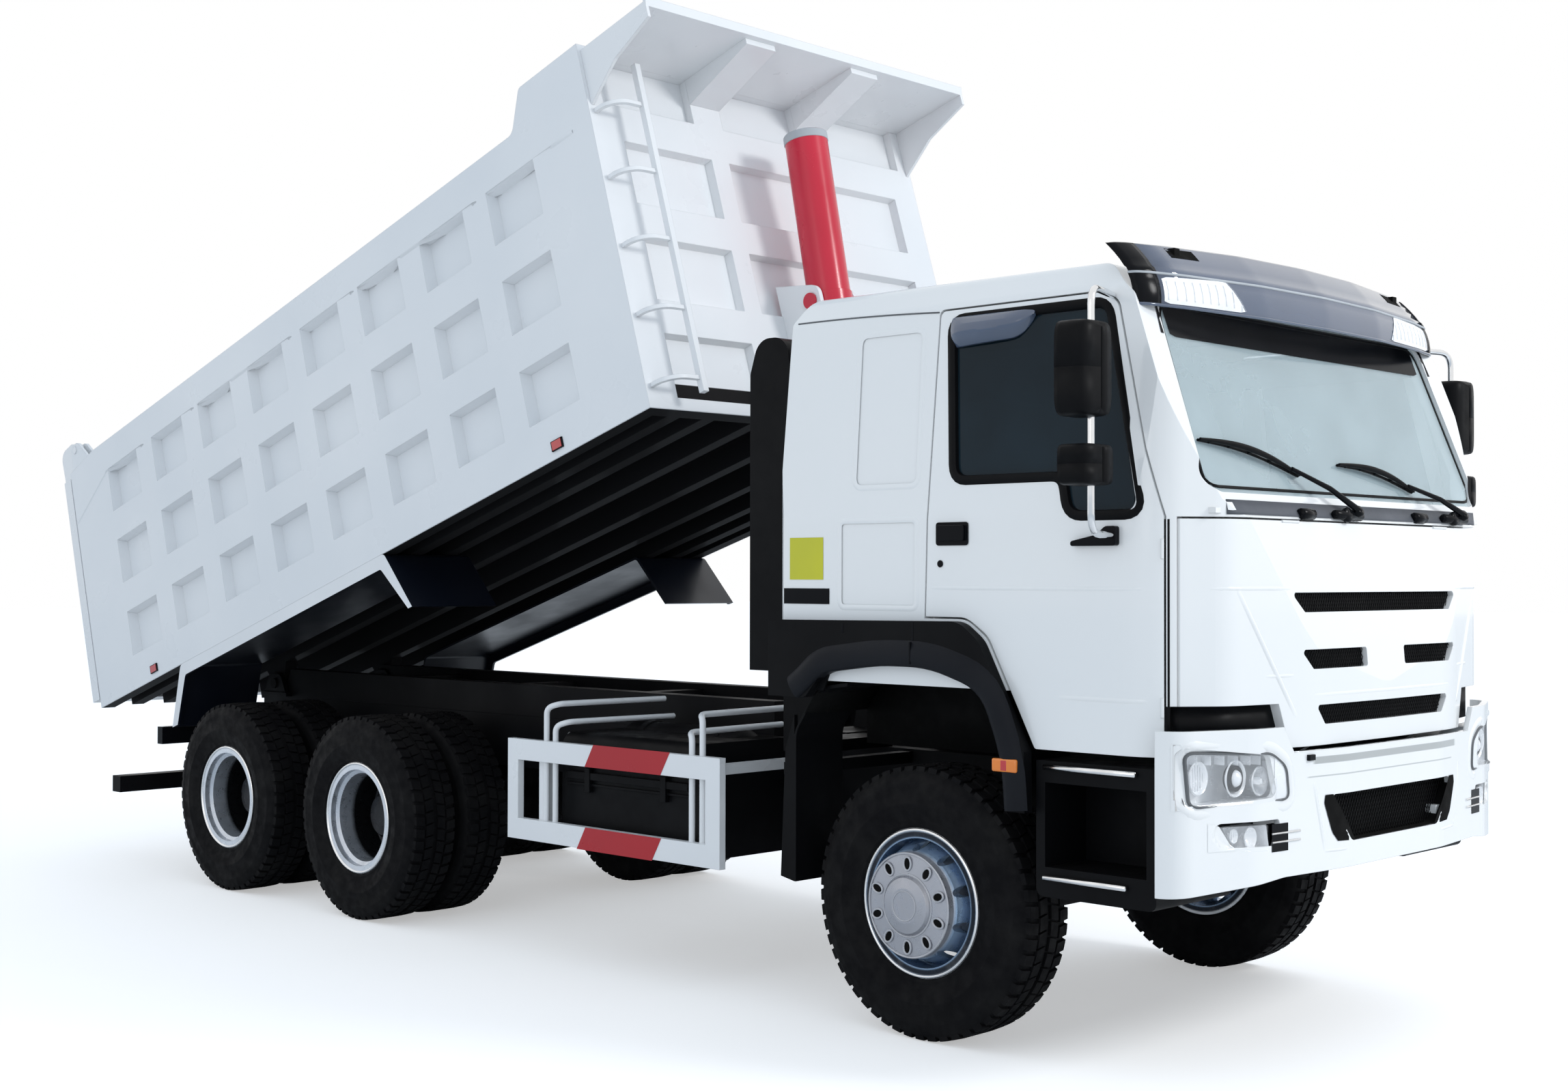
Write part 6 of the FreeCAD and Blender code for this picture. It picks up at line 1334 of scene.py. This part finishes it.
def makeNoseGaps():
    # dark fillers behind the joints between flap, pillar and bumper
    filler, sill, strip = Shape(), Shape(), Shape()
    for side in (-1, 1):
        rows = []
        for k in range(17):
            y = side * (gapSet["cornerFrom"] + gapSet["cornerWide"] * k / 16)
            spot, _ = frontSkin(noseTree, y, 1.45)
            if spot is not None:
                rows.append([Vector((spot.x - gapSet["cornerDepth"], spot.y, z)) for z in gapSet["corner"]])
        spot, _ = sideSkin(cabTree, 1.168, 1.60, side)
        if spot is not None:
            rows.append([Vector((spot.x - 0.03, spot.y - side * 0.035, z)) for z in gapSet["corner"]])
        filler.grid(rows)
        rows = []
        low, high = gapSet["pillar"]
        for j in range(13):
            spot, _ = sideSkin(doorTree[side], gapSet["pillarX"], spread(low, high, j / 12), side)
            if spot is not None:
                rows.append([spot + Vector((ahead, -side * inward, 0))
                             for ahead, inward in gapSet["pillarRubber"]])
        strip.grid(rows)
    filler.piece("cornerFiller", "moulding", "chassis", "black_plastic", thick=0.006)
    half = gapSet["sillHalf"]
    rows = []
    for k in range(31):
        spot, _ = frontSkin(bumperTree, -half + 2 * half * k / 30, gapSet["sillHeight"])
        if spot is not None:
            rows.append([spot + Vector((ahead, 0, up)) for ahead, up in gapSet["sill"]])
    sill.grid(rows)
    sill.piece("flapSill", "cabWhite", "chassis", "cab_paint", smooth=60, thick=0.002)
    strip.piece("pillarRubber", "moulding", "cab", "black_plastic", thick=0.010)


makeGrilles()
makeMouth()
makeNoseLines()
makeNoseGaps()
print("grilles and nose made")


# cab sides
flareSet = {
    "arch": [(-0.56, 1.330), (-0.50, 1.372), (-0.42, 1.440), (-0.12, 1.478), (0.14, 1.478), (0.40, 1.400),
             (0.500, 1.150), (0.515, 0.958)],
    # reach across the line and rise off the face
    "lip": [(-0.004, -0.050), (-0.004, 0.004), (0.004, 0.014), (0.024, 0.019), (0.060, 0.018),
            (0.088, 0.010), (0.100, -0.001)],
    "face": 1.248,
    # seams: x, half width, rise from, rise to, low, high
    "seams": ((0.06, 0.0035, -0.001, 0.001, 1.500, 1.652), (0.06, 0.0035, 0.010, 0.0195, 1.486, 1.572),
              (-0.31, 0.005, -0.001, 0.001, 1.600, 1.638)),
    "lamp": ((0.462, 1.102), (0.578, 1.152)), "lampRise": 0.022, "coreInset": (0.044, 0.006),
}
stepSet = {"edges": ((0.655, 1.060, 1.127), (0.655, 1.020, 0.722)), "y": 1.207, "radius": 0.011, "ribs": 9}
labelSet = {"sticker": ((-0.650, 1.812), (-0.460, 1.985)), "plate": ((-0.685, 1.712), (-0.425, 1.776))}
sideSwages = {
    "door": (((0.115, 1.782), (1.095, 1.782), 30, 0.009, 0.003),
             ((0.72, 1.385), (1.095, 1.385), 14, 0.010, 0.003)),
    # low corner, high corner, corner radius
    "panels": (((-0.30, 2.18), (0.04, 2.80), 0.045), ((-0.37, 1.70), (0.04, 2.05), 0.030)),
    "roofSeam": (-0.66, 0.07, 20, 2.882),
}


def ribbon(shape, path, side, face, profile):
    # a strip that follows a line on an upright face
    rows = []
    for i, (x, z) in enumerate(path):
        before, after = path[max(i - 1, 0)], path[min(i + 1, len(path) - 1)]
        way = Vector((after[0] - before[0], after[1] - before[1])).normalized()
        rows.append([fromAxle(x - way.y * reach, side * (face + rise), z + way.x * reach)
                     for reach, rise in profile])
    return shape.grid(rows)


def makeFlareTrim(side):
    name, face = sideNames[side], flareSet["face"]
    lip, marks, lamp, core = [Shape() for _ in range(4)]
    ribbon(lip, flatRounded(flareSet["arch"], 0.10, 5, False), side, face, flareSet["lip"])
    lip.piece("flareLip_" + name, "flareEdge", "cab", "black_plastic", smooth=60)
    for x, half, start, end, low, high in flareSet["seams"]:
        marks.box(fromAxle(x - half, side * (face + start), low),
                  fromAxle(x + half, side * (face + end), high))
    marks.piece("flareSeam_" + name, "glossBlack", "cab", "black_plastic")
    (x1, z1), (x2, z2) = flareSet["lamp"]
    dx, dz = flareSet["coreInset"]
    rise = flareSet["lampRise"]
    lamp.box(fromAxle(x1, side * face, z1), fromAxle(x2, side * (face + rise), z2))
    lamp.piece("sideLamp_" + name, "amberLens", "cab", "lamp_lens", bevel=0.008, segments=3)
    core.box(fromAxle(x1 + dx, side * (face + rise - 0.004), z1 + dz),
             fromAxle(x2 - dx, side * (face + rise + 0.0015), z2 - dz))
    core.piece("sideLampCore_" + name, "redLens", "cab", "lamp_red", bevel=0.003)


def makeStepEdges(side):
    edges = Shape()
    y = stepSet["y"]
    for start, end, z in stepSet["edges"]:
        edges.rod(fromAxle(start, side * y, z), fromAxle(end, side * y, z), stepSet["radius"], 14, 0.004)
        for k in range(stepSet["ribs"]):
            x = start + 0.04 + (end - start - 0.08) * k / (stepSet["ribs"] - 1)
            edges.rod(fromAxle(x, side * (y - 0.012), z + 0.006),
                      fromAxle(x, side * (y - 0.097), z + 0.006), 0.004, 6)
    edges.piece("stepEdges_" + sideNames[side], "chrome", "chassis", "grey_metal", smooth=50)


def makeCabLabels(side):
    sticker, plate = Shape(), Shape()
    sidePatch(sticker, cabTree, *labelSet["sticker"], side, 0.0015)
    sticker.piece("sideSticker_" + sideNames[side], "stickerYellow", "cab", "cab_paint")
    sidePatch(plate, cabTree, *labelSet["plate"], side, 0.002)
    plate.piece("sidePlate_" + sideNames[side], "glossBlack", "cab", "black_plastic")


def makeCabSwages(side):
    name = sideNames[side]
    lines, frames, seam = Shape(), Shape(), Shape()
    for values in sideSwages["door"]:
        layRidge(lines, lambda a, b: sideSkin(doorTree[side], a, b, side), values)
    lines.piece("doorSwages_" + name, "cabWhite", doorBodies[side], "cab_paint", smooth=80)
    for low, high, radius in sideSwages["panels"]:
        seal(frames, flatRounded(rectangle(low, high), radius), lambda a, b: sideSkin(cabTree, a, b, side),
             (-0.012, -0.005, 0.005, 0.013), (0.0045, 0.0055, 0.0025, -0.0005), True)
    frames.piece("panelSwages_" + name, "cabWhite", "cab", "cab_paint", smooth=80)
    start, pitch, count, z = sideSwages["roofSeam"]
    path = [sideSkin(cabTree, start + pitch * k, z - 0.0002 * k * k, side, 0.0005)[0] for k in range(count)]
    seam.tube([spot for spot in path if spot is not None], 0.0035, 6)
    seam.piece("roofSeam_" + name, "lampGrey", "cab", "grey_metal")


for side in (-1, 1):
    makeFlareTrim(side)
    makeStepEdges(side)
    makeCabLabels(side)
    makeCabSwages(side)
print("cab sides trimmed")


# visor
visorSet = {
    "plan": [(1.000, 1.138), (1.026, 1.130), (1.048, 1.088), (1.085, 0.900), (1.135, 0.450), (1.150, 0.0)],
    "half": 1.13, "lip": 2.806, "height": 0.235, "crown": 0.020, "lean": 0.125, "hollow": 0.010, "end": 1.045,
    # shares of the height where the sheet has a line of points
    "shares": [0.0, 0.03, 0.12, 0.25, 0.38, 0.49, 0.515, 0.585, 0.61, 0.72, 0.84, 0.93, 0.98, 1.0],
    # across and share of the height
    "lamp": [(0.575, 0.04), (1.030, 0.03), (1.030, 0.44), (0.665, 0.49)],
    "slots": (0.745, 0.905), "slotShares": (0.80, 0.88, 0.96), "slotClip": (0.86, 0.90),
}


def visorPlan():
    near = [(x, -y) for x, y in visorSet["plan"]]
    return flatRounded(near + [(x, -y) for x, y in reversed(near[:-1])], 0.03, 6, False)


def visorSpot(x, y, share, lift=0.0):
    middleShare = 1 - min(1.0, abs(y) / visorSet["half"]) ** 2
    back = visorSet["lean"] * share ** 1.8 - visorSet["hollow"] * math.sin(math.pi * share)
    rise = visorSet["height"] + visorSet["crown"] * middleShare
    swell = 0.005 if 0.50 < share < 0.60 else 0.0
    return fromAxle(x - back + swell + lift, y * (1 - 0.010 * share), visorSet["lip"] + rise * share)


def visorFront(y):
    # how far forward the plan lies at y
    line = visorPlan()
    for (x1, y1), (x2, y2) in zip(line, line[1:]):
        if (y1 - y) * (y2 - y) <= 0 and y1 != y2:
            return x1 + (x2 - x1) * (y - y1) / (y2 - y1)


def onVisor(y, share, lift=0.0):
    return visorSpot(visorFront(y), y, share, lift)


def makeVisor():
    line, edge, shares = visorPlan(), visorSet["end"], visorSet["shares"]
    shield, ends, lip, crease = [Shape() for _ in range(4)]
    corners = {side: (visorFront(edge), side * edge) for side in (-1, 1)}
    inner = [(visorFront(-edge), -edge)] + [p for p in line if abs(p[1]) <= edge] + [corners[1]]
    shield.grid([[visorSpot(x, y, share) for share in shares] for x, y in inner])
    cover = shield.piece("visorShield", "smoked", "cab", "smoke_plastic", smooth=50, thick=0.004)
    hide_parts("visor")
    right = [p for p in line if p[1] <= -edge] + [corners[-1]]
    left = [corners[1]] + [p for p in line if p[1] >= edge]
    for end in (right, left):
        ends.grid([[visorSpot(x, y, share, 0.001) for share in shares] for x, y in end])
    ends.piece("visorEnds", "glossBlack", "cab", "black_plastic", smooth=50, thick=0.005)
    lip.tube([visorSpot(x, y, 0.0) for x, y in line], 0.0065, 8)
    lip.piece("visorLip", "smoked", "cab", "smoke_plastic", smooth=60)
    crease.tube([visorSpot(x, y, 0.50, 0.003) for x, y in line], 0.0055, 8)
    crease.piece("visorCrease", "palePanel", "cab", "grey_metal", smooth=60)


def makeVisorLamps(side):
    name = sideNames[side]
    outline = flatRounded(visorSet["lamp"], 0.03)
    low, high = reachOf(outline)
    cover, bowl, slot = Shape(), Shape(), Shape()
    for shape, lift in ((cover, 0.010), (bowl, 0.004)):
        rows = []
        for k in range(17):
            y = low + (high - low) * k / 16
            bottom, top = heightSpan(outline, y)
            rows.append([onVisor(side * y, spread(bottom, top, j / 6), lift) for j in range(7)])
        shape.grid(rows)
    for k in range(10):
        y = low + 0.02 + (high - low - 0.04) * k / 9
        bottom, top = heightSpan(outline, y)
        bowl.tube([onVisor(side * y, spread(bottom, top, t), 0.006) for t in (0.15, 0.5, 0.85)], 0.0025, 6)
    cover.piece("visorLens_" + name, "clearLens", "cab", "lamp_lens", smooth=60)
    bowl.piece("visorBowl_" + name, "bowlSilver", "cab", "hoist_chrome", smooth=50)
    start, end = visorSet["slots"]
    slot.grid([[onVisor(side * spread(start, end, k / 8), share, 0.003) for share in visorSet["slotShares"]]
               for k in range(9)])
    y, share = visorSet["slotClip"]
    spot = onVisor(side * y, share)
    slot.box(spot + Vector((-0.02, -0.018, -0.016)), spot + Vector((0.014, 0.018, 0.016)))
    slot.piece("visorSlot_" + name, "pitBlack", "cab", "black_plastic", bevel=0.002)


makeVisor()
for side in (-1, 1):
    makeVisorLamps(side)
print("visor made")


# wheels
wheelSet = {
    # (radius, height) round the bright edge of the flange
    "bright": [(0.2790, 0.004), (0.2810, -0.004), (0.2870, -0.0065), (0.2940, -0.003), (0.2955, 0.006),
               (0.2900, 0.010)],
    "flangeFrom": 0.28, "holes": 10, "coverRing": 0.163, "coverOval": (0.0235, 0.0150), "coverFace": 0.135,
    "handRing": 0.240, "handOval": (0.026, 0.030), "nutRing": 0.1675, "nut": 0.0135,
    # radius and thickness of the rings on the front hub
    "rings": ((0.202, 0.005), (0.122, 0.0035), (0.058, 0.0025)),
}


def ovalLine(centre, angle, reach, long, wide, steps=20):
    line = []
    for k in range(steps):
        t = 2 * math.pi * k / steps
        r, s = reach + long * math.cos(t), wide * math.sin(t)
        line.append((centre.x - axleX + r * math.cos(angle) - s * math.sin(angle),
                     centre.z + r * math.sin(angle) + s * math.cos(angle)))
    return line


def wheelFace(tree, centre, radius, angle, side):
    return sideSkin(tree, centre.x - axleX + radius * math.cos(angle),
                    centre.z + radius * math.sin(angle), side)[0]


def blot(shape, tree, line, side, lift):
    # a flat dark patch on the side of a wheel: painted shade seen through a hole
    spots = [sideSkin(tree, a, b, side, lift)[0] for a, b in line]
    if None in spots:
        return
    y = side * sorted(side * spot.y for spot in spots)[len(spots) // 2]
    shape.add([Vector((spot.x, y, spot.z)) for spot in spots], [tuple(range(len(spots)))])


def dressHub(lips, dark, tree, centre, side):
    long, wide = wheelSet["coverOval"]
    for k in range(wheelSet["holes"]):
        angle = math.pi / 2 + 2 * math.pi * k / wheelSet["holes"]
        y = wheelFace(tree, centre, wheelSet["coverFace"], angle, side).y + side * 0.0015
        outer = ovalLine(centre, angle, wheelSet["coverRing"], long + 0.003, wide + 0.003)
        lips.tube([fromAxle(a, y, b) for a, b in outer], 0.0045, 6, closed=True)
        # flat dark ovals in the cover's holes: painted shade
        hole = ovalLine(centre, angle, wheelSet["coverRing"], long, wide)
        dark.add([fromAxle(a, y + side * 0.0008, b) for a, b in hole], [tuple(range(len(hole)))])
    for radius, thick in wheelSet["rings"]:
        face = wheelFace(tree, centre, radius - 0.006, 0.3, side)
        turns = [2 * math.pi * k / 60 for k in range(60)]
        lips.tube([Vector((centre.x + radius * math.cos(t), face.y + side * 0.0005,
                           centre.z + radius * math.sin(t))) for t in turns], thick, 6, closed=True)
    # flat dark ovals over the hand holes: painted shade
    long, wide = wheelSet["handOval"]
    for k in range(wheelSet["holes"]):
        angle = 2 * math.pi * (k + 0.5) / wheelSet["holes"]
        blot(dark, tree, ovalLine(centre, angle, wheelSet["handRing"], long, wide), side, 0.003)


def makeWheelTrim(place, side):
    name = "%s_%s" % (place, sideNames[side])
    node, body = "rim_" + name, "wheel_" + name
    tree, centre = skinTree(node), middle(node)
    bright, lips, dark = Shape(), Shape(), Shape()
    flange = max(side * v.co.y for v in parts[node].data.vertices
                 if math.hypot(v.co.x - centre.x, v.co.z - centre.z) > wheelSet["flangeFrom"])
    bright.spin(wheelSet["bright"], Vector((centre.x, side * flange, centre.z)), (0, -side, 0), 72,
                closed=True)
    bright.piece("brightRing_" + name, "wheelBright", body, "wheel_silver", smooth=60)
    if place == "front":
        dressHub(lips, dark, tree, centre, side)
        lips.piece("wheelRings_" + name, "wheelGrey", body, "wheel_silver", smooth=50)
        dark.piece("wheelHoles_" + name, "pitBlack", body, "frame_black")
        return
    size = wheelSet["nut"]
    for k in range(wheelSet["holes"]):
        angle = 2 * math.pi * (k + 0.5) / wheelSet["holes"]
        face = wheelFace(tree, centre, wheelSet["nutRing"], angle, side)
        if face is not None:
            lips.rod(face - Vector((0, side * 0.002, 0)), face + Vector((0, side * 0.024, 0)), size, 6, 0.003)
            lips.rod(face, face + Vector((0, side * 0.036, 0)), size * 0.62, 12, 0.002)
    if lips.verts:
        lips.piece("wheelRings_" + name, "castBlack", body, "axle_black", smooth=50)


for place in ("front", "middle", "rear"):
    for side in (-1, 1):
        makeWheelTrim(place, side)
print("wheels trimmed")


# side guards, tanks and frame fittings
guardSet = {
    # low and high of each rail, then the start and end of its red patch
    "red": (((0.555, 0.660), (-2.000, -1.475)), ((0.940, 1.045), (-1.945, -1.420))), "lean": 0.062,
    "hoops": ((-2.300, 1), (-1.215, -1)), "hoopDrops": (0.0, 0.075), "hoopRadius": 0.014, "hoopTop": 1.215,
}
chassisSet = {
    # side, start and end along the truck
    "tanks": ((-1, -2.26, -1.42), (1, -2.30, -1.60)), "tankY": 0.66, "tankZ": 1.000, "tankRadius": 0.115,
    "boltsX": [-0.95 - 0.14 * k for k in range(4)] + [-2.52 - 0.125 * k for k in range(6)],
    "boltsZ": ((0.985, 0.0), (1.075, 0.03)), "railReach": 0.62,
    # share of the box's height down from its top, depth, and how far it stands proud
    "lid": ((0.34, 0.034, 0.020), (0.44, 0.012, 0.010), (0.88, 0.012, 0.008)), "strapProud": 0.024,
}


def makeGuardTrim(side):
    name = sideNames[side]
    red, hoops = Shape(), Shape()
    low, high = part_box("side_guards")
    y = side * (max(abs(low[1]), abs(high[1])) + 0.0012)
    half = guardSet["lean"] / 2
    for (z1, z2), ends in guardSet["red"]:
        red.grid([[fromAxle(x - half, y, z1), fromAxle(x + half, y, z2)] for x in ends])
    red.piece("guardRed_" + name, "guardRed", "chassis", "lamp_red")
    for x, way in guardSet["hoops"]:
        for drop in guardSet["hoopDrops"]:
            foot, top = x + way * drop * 0.9, guardSet["hoopTop"] - drop * 1.1
            path = [fromAxle(foot, side * 1.165, 0.60), fromAxle(foot, side * 1.165, top - 0.02),
                    fromAxle(foot + way * 0.05, side * 1.13, top),
                    fromAxle(foot + way * 0.10, side * 0.50, top)]
            hoops.tube(rounded(path, 0.10, 8), guardSet["hoopRadius"], 12)
    hoops.piece("guardHoops_" + name, "plainWhite", "chassis", "cab_paint", smooth=60)


def airTank(shape, x1, x2, y, z, radius):
    half = (x2 - x1) / 2
    profile = [(0.001, -half)]
    for k in range(1, 7):
        t = math.pi / 2 * k / 6
        profile.append((radius * math.sin(t), -half + radius * 0.45 * (1 - math.cos(t))))
    profile += [(r, -h) for r, h in reversed(profile)]
    shape.spin(profile, fromAxle((x1 + x2) / 2, y, z), (1, 0, 0), 40)
    strap = [(radius + 0.001, -0.02), (radius + 0.006, -0.018), (radius + 0.006, 0.018),
             (radius + 0.001, 0.02)]
    for x in (x1 + 0.16, x2 - 0.16):
        shape.spin(strap, fromAxle(x, y, z), (1, 0, 0), 40, closed=True)


def makeChassisFittings():
    tanks, bolts, ribs = Shape(), Shape(), Shape()
    for side, x1, x2 in chassisSet["tanks"]:
        airTank(tanks, x1, x2, side * chassisSet["tankY"], chassisSet["tankZ"], chassisSet["tankRadius"])
    tanks.piece("airTanks", "chassisBlack", "chassis", "frame_black", smooth=40)
    for side in (-1, 1):
        for x in chassisSet["boltsX"]:
            for z, shift in chassisSet["boltsZ"]:
                hit, normal = sideSkin(frameTree, x + shift, z, side)
                if hit is not None and abs(hit.y) < chassisSet["railReach"]:
                    bolts.rod(hit, hit + normal * 0.012, 0.013, 6, 0.002)
    bolts.piece("frameBolts", "galvanised", "chassis", "grey_metal", smooth=30)
    low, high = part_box("battery_box")
    first, last, tall = low[0] + 0.05, high[0] - 0.05, high[2] - low[2]
    for side in (-1, 1):
        hit, _ = sideSkin(boxTree, (low[0] + high[0]) / 2 - axleX, (low[2] + high[2]) / 2, side)
        if hit is None:
            continue
        strips = [(first, last, high[2] - share * tall - deep, high[2] - share * tall, proud)
                  for share, deep, proud in chassisSet["lid"]]
        strips += [(x - 0.018, x + 0.018, high[2] - 0.52 * tall, high[2] - 0.30 * tall,
                    chassisSet["strapProud"]) for x in (first + 0.16, last - 0.16)]
        for x1, x2, z1, z2, proud in strips:
            ys = sorted((hit.y, hit.y + side * proud))
            ribs.box((x1, ys[0], z1), (x2, ys[1], z2))
    ribs.piece("boxRibs", "moulding", "chassis", "black_plastic", bevel=0.002)


for side in (-1, 1):
    makeGuardTrim(side)
makeChassisFittings()
print("guards and frame fittings made")


# arch liners
linerSet = {
    "path": [(-0.575, 1.26), (-0.52, 1.335), (-0.42, 1.428), (-0.12, 1.464), (0.14, 1.464), (0.385, 1.392),
             (0.485, 1.150), (0.500, 0.960)],
    "outer": 1.190, "inner": 0.800, "foot": 1.115,
}


def makeLiners(side):
    path = flatRounded(linerSet["path"], 0.12, 5, False)
    outer, inner, foot = linerSet["outer"], linerSet["inner"], linerSet["foot"]
    cover = Shape()
    cover.grid([[fromAxle(x, side * outer, z), fromAxle(x, side * 1.0, z - 0.002),
                 fromAxle(x, side * inner, z)] for x, z in path])
    cover.grid([[fromAxle(x, side * (inner + 0.002), foot),
                 fromAxle(x, side * (inner + 0.002), max(z - 0.002, foot))] for x, z in path if z > foot])
    cover.piece("archLiner_" + sideNames[side], "pitBlack", "cab", "black_plastic", smooth=50, thick=0.004)


for side in (-1, 1):
    makeLiners(side)
print("arch liners made")


# bed, in its own length and height
bedSet = {
    "crease": [(0.02, 1.250), (0.48, 1.445), (5.40, 1.445)],
    "creaseProfile": ((-0.010, 0.0), (-0.004, 0.004), (0.004, 0.004), (0.010, 0.0)),
    "reflectors": (0.75, 4.87), "reflectorHeight": 0.062, "reflector": (0.085, 0.050), "lensShare": 0.82,
}


def bedSkin(u, v, side, lift=0.0):
    return cast(bedTree, onBed(u, side * 3, v), (0, -side, 0), lift)[0]


def makeBedTrim(side):
    name = sideNames[side]
    crease, plates, lenses = Shape(), Shape(), Shape()
    line = []
    for start, end in zip(bedSet["crease"], bedSet["crease"][1:]):
        line += between(start, end, 30)[:-1]
    crease.grid([[bedSkin(u, v + shift, side, rise) for shift, rise in bedSet["creaseProfile"]]
                 for u, v in line + bedSet["crease"][-1:]])
    crease.piece("bedCrease_" + name, "bedWhite", "bed", "bed_paint", smooth=80)
    wide, tall = bedSet["reflector"]
    v = bedSet["reflectorHeight"]
    faces = [(0, 1, 2, 3), (7, 6, 5, 4)] + [(k, (k + 1) % 4, (k + 1) % 4 + 4, k + 4) for k in range(4)]
    for u in bedSet["reflectors"]:
        face = bedSkin(u, v, side).y
        for shape, scale, proud in ((plates, 1.0, 0.008), (lenses, bedSet["lensShare"], 0.010)):
            a, b = wide / 2 * scale, tall / 2 * scale
            corners = rectangle((u - a, v - b), (u + a, v + b))
            shape.add([onBed(p, face + side * out, q) for out in (-0.001, proud) for p, q in corners], faces)
    plates.piece("bedReflectorFrames_" + name, "glossBlack", "bed", "frame_black")
    lenses.piece("bedReflectors_" + name, "redLens", "bed", "lamp_red")


for side in (-1, 1):
    makeBedTrim(side)
print("bed trimmed")


# hoist
hoistSet = {"ring": 0.040, "proud": 0.0025}


def makeHoistTrim():
    axis = Vector(next(j["axis"] for j in frame["joints"] if j["name"] == "hoist_slide_1")).normalized()
    if axis.z < 0:
        axis = -axis
    spots = [v.co.copy() for v in parts["hoist_barrel"].data.vertices]
    top = max(p.dot(axis) for p in spots)
    rim = [p for p in spots if p.dot(axis) > top - 0.02]
    low = Vector([min(p[i] for p in rim) for i in range(3)])
    high = Vector([max(p[i] for p in rim) for i in range(3)])
    centre = (low + high) / 2
    centre += axis * (top - centre.dot(axis))
    radius = max((p - centre - axis * (p - centre).dot(axis)).length for p in rim)
    deep, proud = hoistSet["ring"], hoistSet["proud"]
    ring = Shape()
    ring.spin([(radius - 0.006, proud * 0.8), (radius - 0.002, proud), (radius + proud, -0.004),
               (radius + proud, -deep), (radius - 0.004, -deep - 0.003)], centre, axis, 56)
    ring.piece("hoistCapRing", "palePanel", "barrel", "hoist_red", smooth=50)


makeHoistTrim()
print("hoist trimmed")


# inside of the cab, and tail lamps
cabinSet = {
    "rearX": -0.640, "window": ((-0.52, 2.20), (0.52, 2.66)), "windowCorner": 0.12,
    "posts": (-0.66, 0.66), "postHeights": (1.70, 2.30, 2.78),
    "curtain": (-0.52, 0.34), "curtainY": 0.985, "curtainHeights": (2.12, 2.42, 2.72), "fold": 0.012,
    # place from the front axle, radius, tilt
    "wheel": ((0.800, 0.560, 2.020), 0.225, -28), "spokes": (0.0, 2.1, 4.2),
}


def makeCabin():
    panel, pane = Shape(), Shape()
    rear = max(axleX + cabinSet["rearX"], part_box("cab_interior")[0][0] + 0.02)
    outline = flatRounded(rectangle(*cabinSet["window"]), cabinSet["windowCorner"])
    pane.plate(outline, rear + 0.010, rear + 0.016, "YZ")
    pane.piece("rearPane", "palePanel", "cab", "trim_fabric")
    panel.tube([Vector((rear + 0.020, a, b)) for a, b in outline + outline[:1]], 0.020, 8)
    for y in cabinSet["posts"]:
        panel.tube([Vector((rear + 0.02, y, z)) for z in cabinSet["postHeights"]], 0.024, 8)
    panel.piece("rearFrame", "cabWhite", "cab", "grey_metal", smooth=60)
    start, long = cabinSet["curtain"]
    for side in (-1, 1):
        curtain = Shape()
        rows = []
        for k in range(33):
            t = k / 32
            y = side * (cabinSet["curtainY"] + cabinSet["fold"] * math.sin(t * 30))
            rows.append([fromAxle(start + long * t, y, z) for z in cabinSet["curtainHeights"]])
        curtain.grid(rows)
        curtain.piece("curtain_" + sideNames[side], "cloth", "cab", "trim_fabric", smooth=80, thick=0.004)


def makeSteeringWheel():
    place, radius, lean = cabinSet["wheel"]
    at = fromAxle(*place)
    tilt = Matrix.Rotation(math.radians(lean), 4, "Y")

    def spot(a):
        return at + tilt @ Vector((radius * math.cos(a), radius * math.sin(a), 0))

    ring = Shape()
    ring.tube([spot(2 * math.pi * k / 40) for k in range(41)], 0.014, 8)
    for a in cabinSet["spokes"]:
        ring.rod(at, spot(a), 0.011, 8)
    ring.rod(at + tilt @ Vector((0, 0, 0.02)), at + tilt @ Vector((0, 0, -0.30)), 0.030, 14)
    ring.piece("steeringWheel", "moulding", "cab", "black_plastic", smooth=60)


tailSet = {
    "start": 0.3, "pitch": 0.02, "count": 60, "half": 0.035, "gap": 0.006,
    "lenses": (("redLens", "lamp_red"), ("amberLens", "lamp_lens"), ("clearLens", "lamp_lens")),
}


def makeTailLenses(side):
    tree = skinTree("tail_lamps")
    low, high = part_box("tail_lamps")
    z = (low[2] + high[2]) / 2
    hits = [cast(tree, (low[0] - 1, side * (tailSet["start"] + tailSet["pitch"] * k), z), (1, 0, 0))[0]
            for k in range(tailSet["count"])]
    hits = [hit for hit in hits if hit is not None]
    x, gap, half = hits[0].x, tailSet["gap"], tailSet["half"]
    for k, (finishName, slot) in enumerate(tailSet["lenses"]):
        a, b = sorted(spread(hits[0].y, hits[-1].y, share / 3) for share in (k, k + 1))
        cover = Shape()
        cover.box((x - 0.006, a + gap, z - half), (x + 0.004, b - gap, z + half))
        cover.piece("tailLens%d_%s" % (k + 1, sideNames[side]), finishName, "chassis", slot, bevel=0.004)


makeCabin()
makeSteeringWheel()
for side in (-1, 1):
    makeTailLenses(side)
print("cabin and tail lamps made")
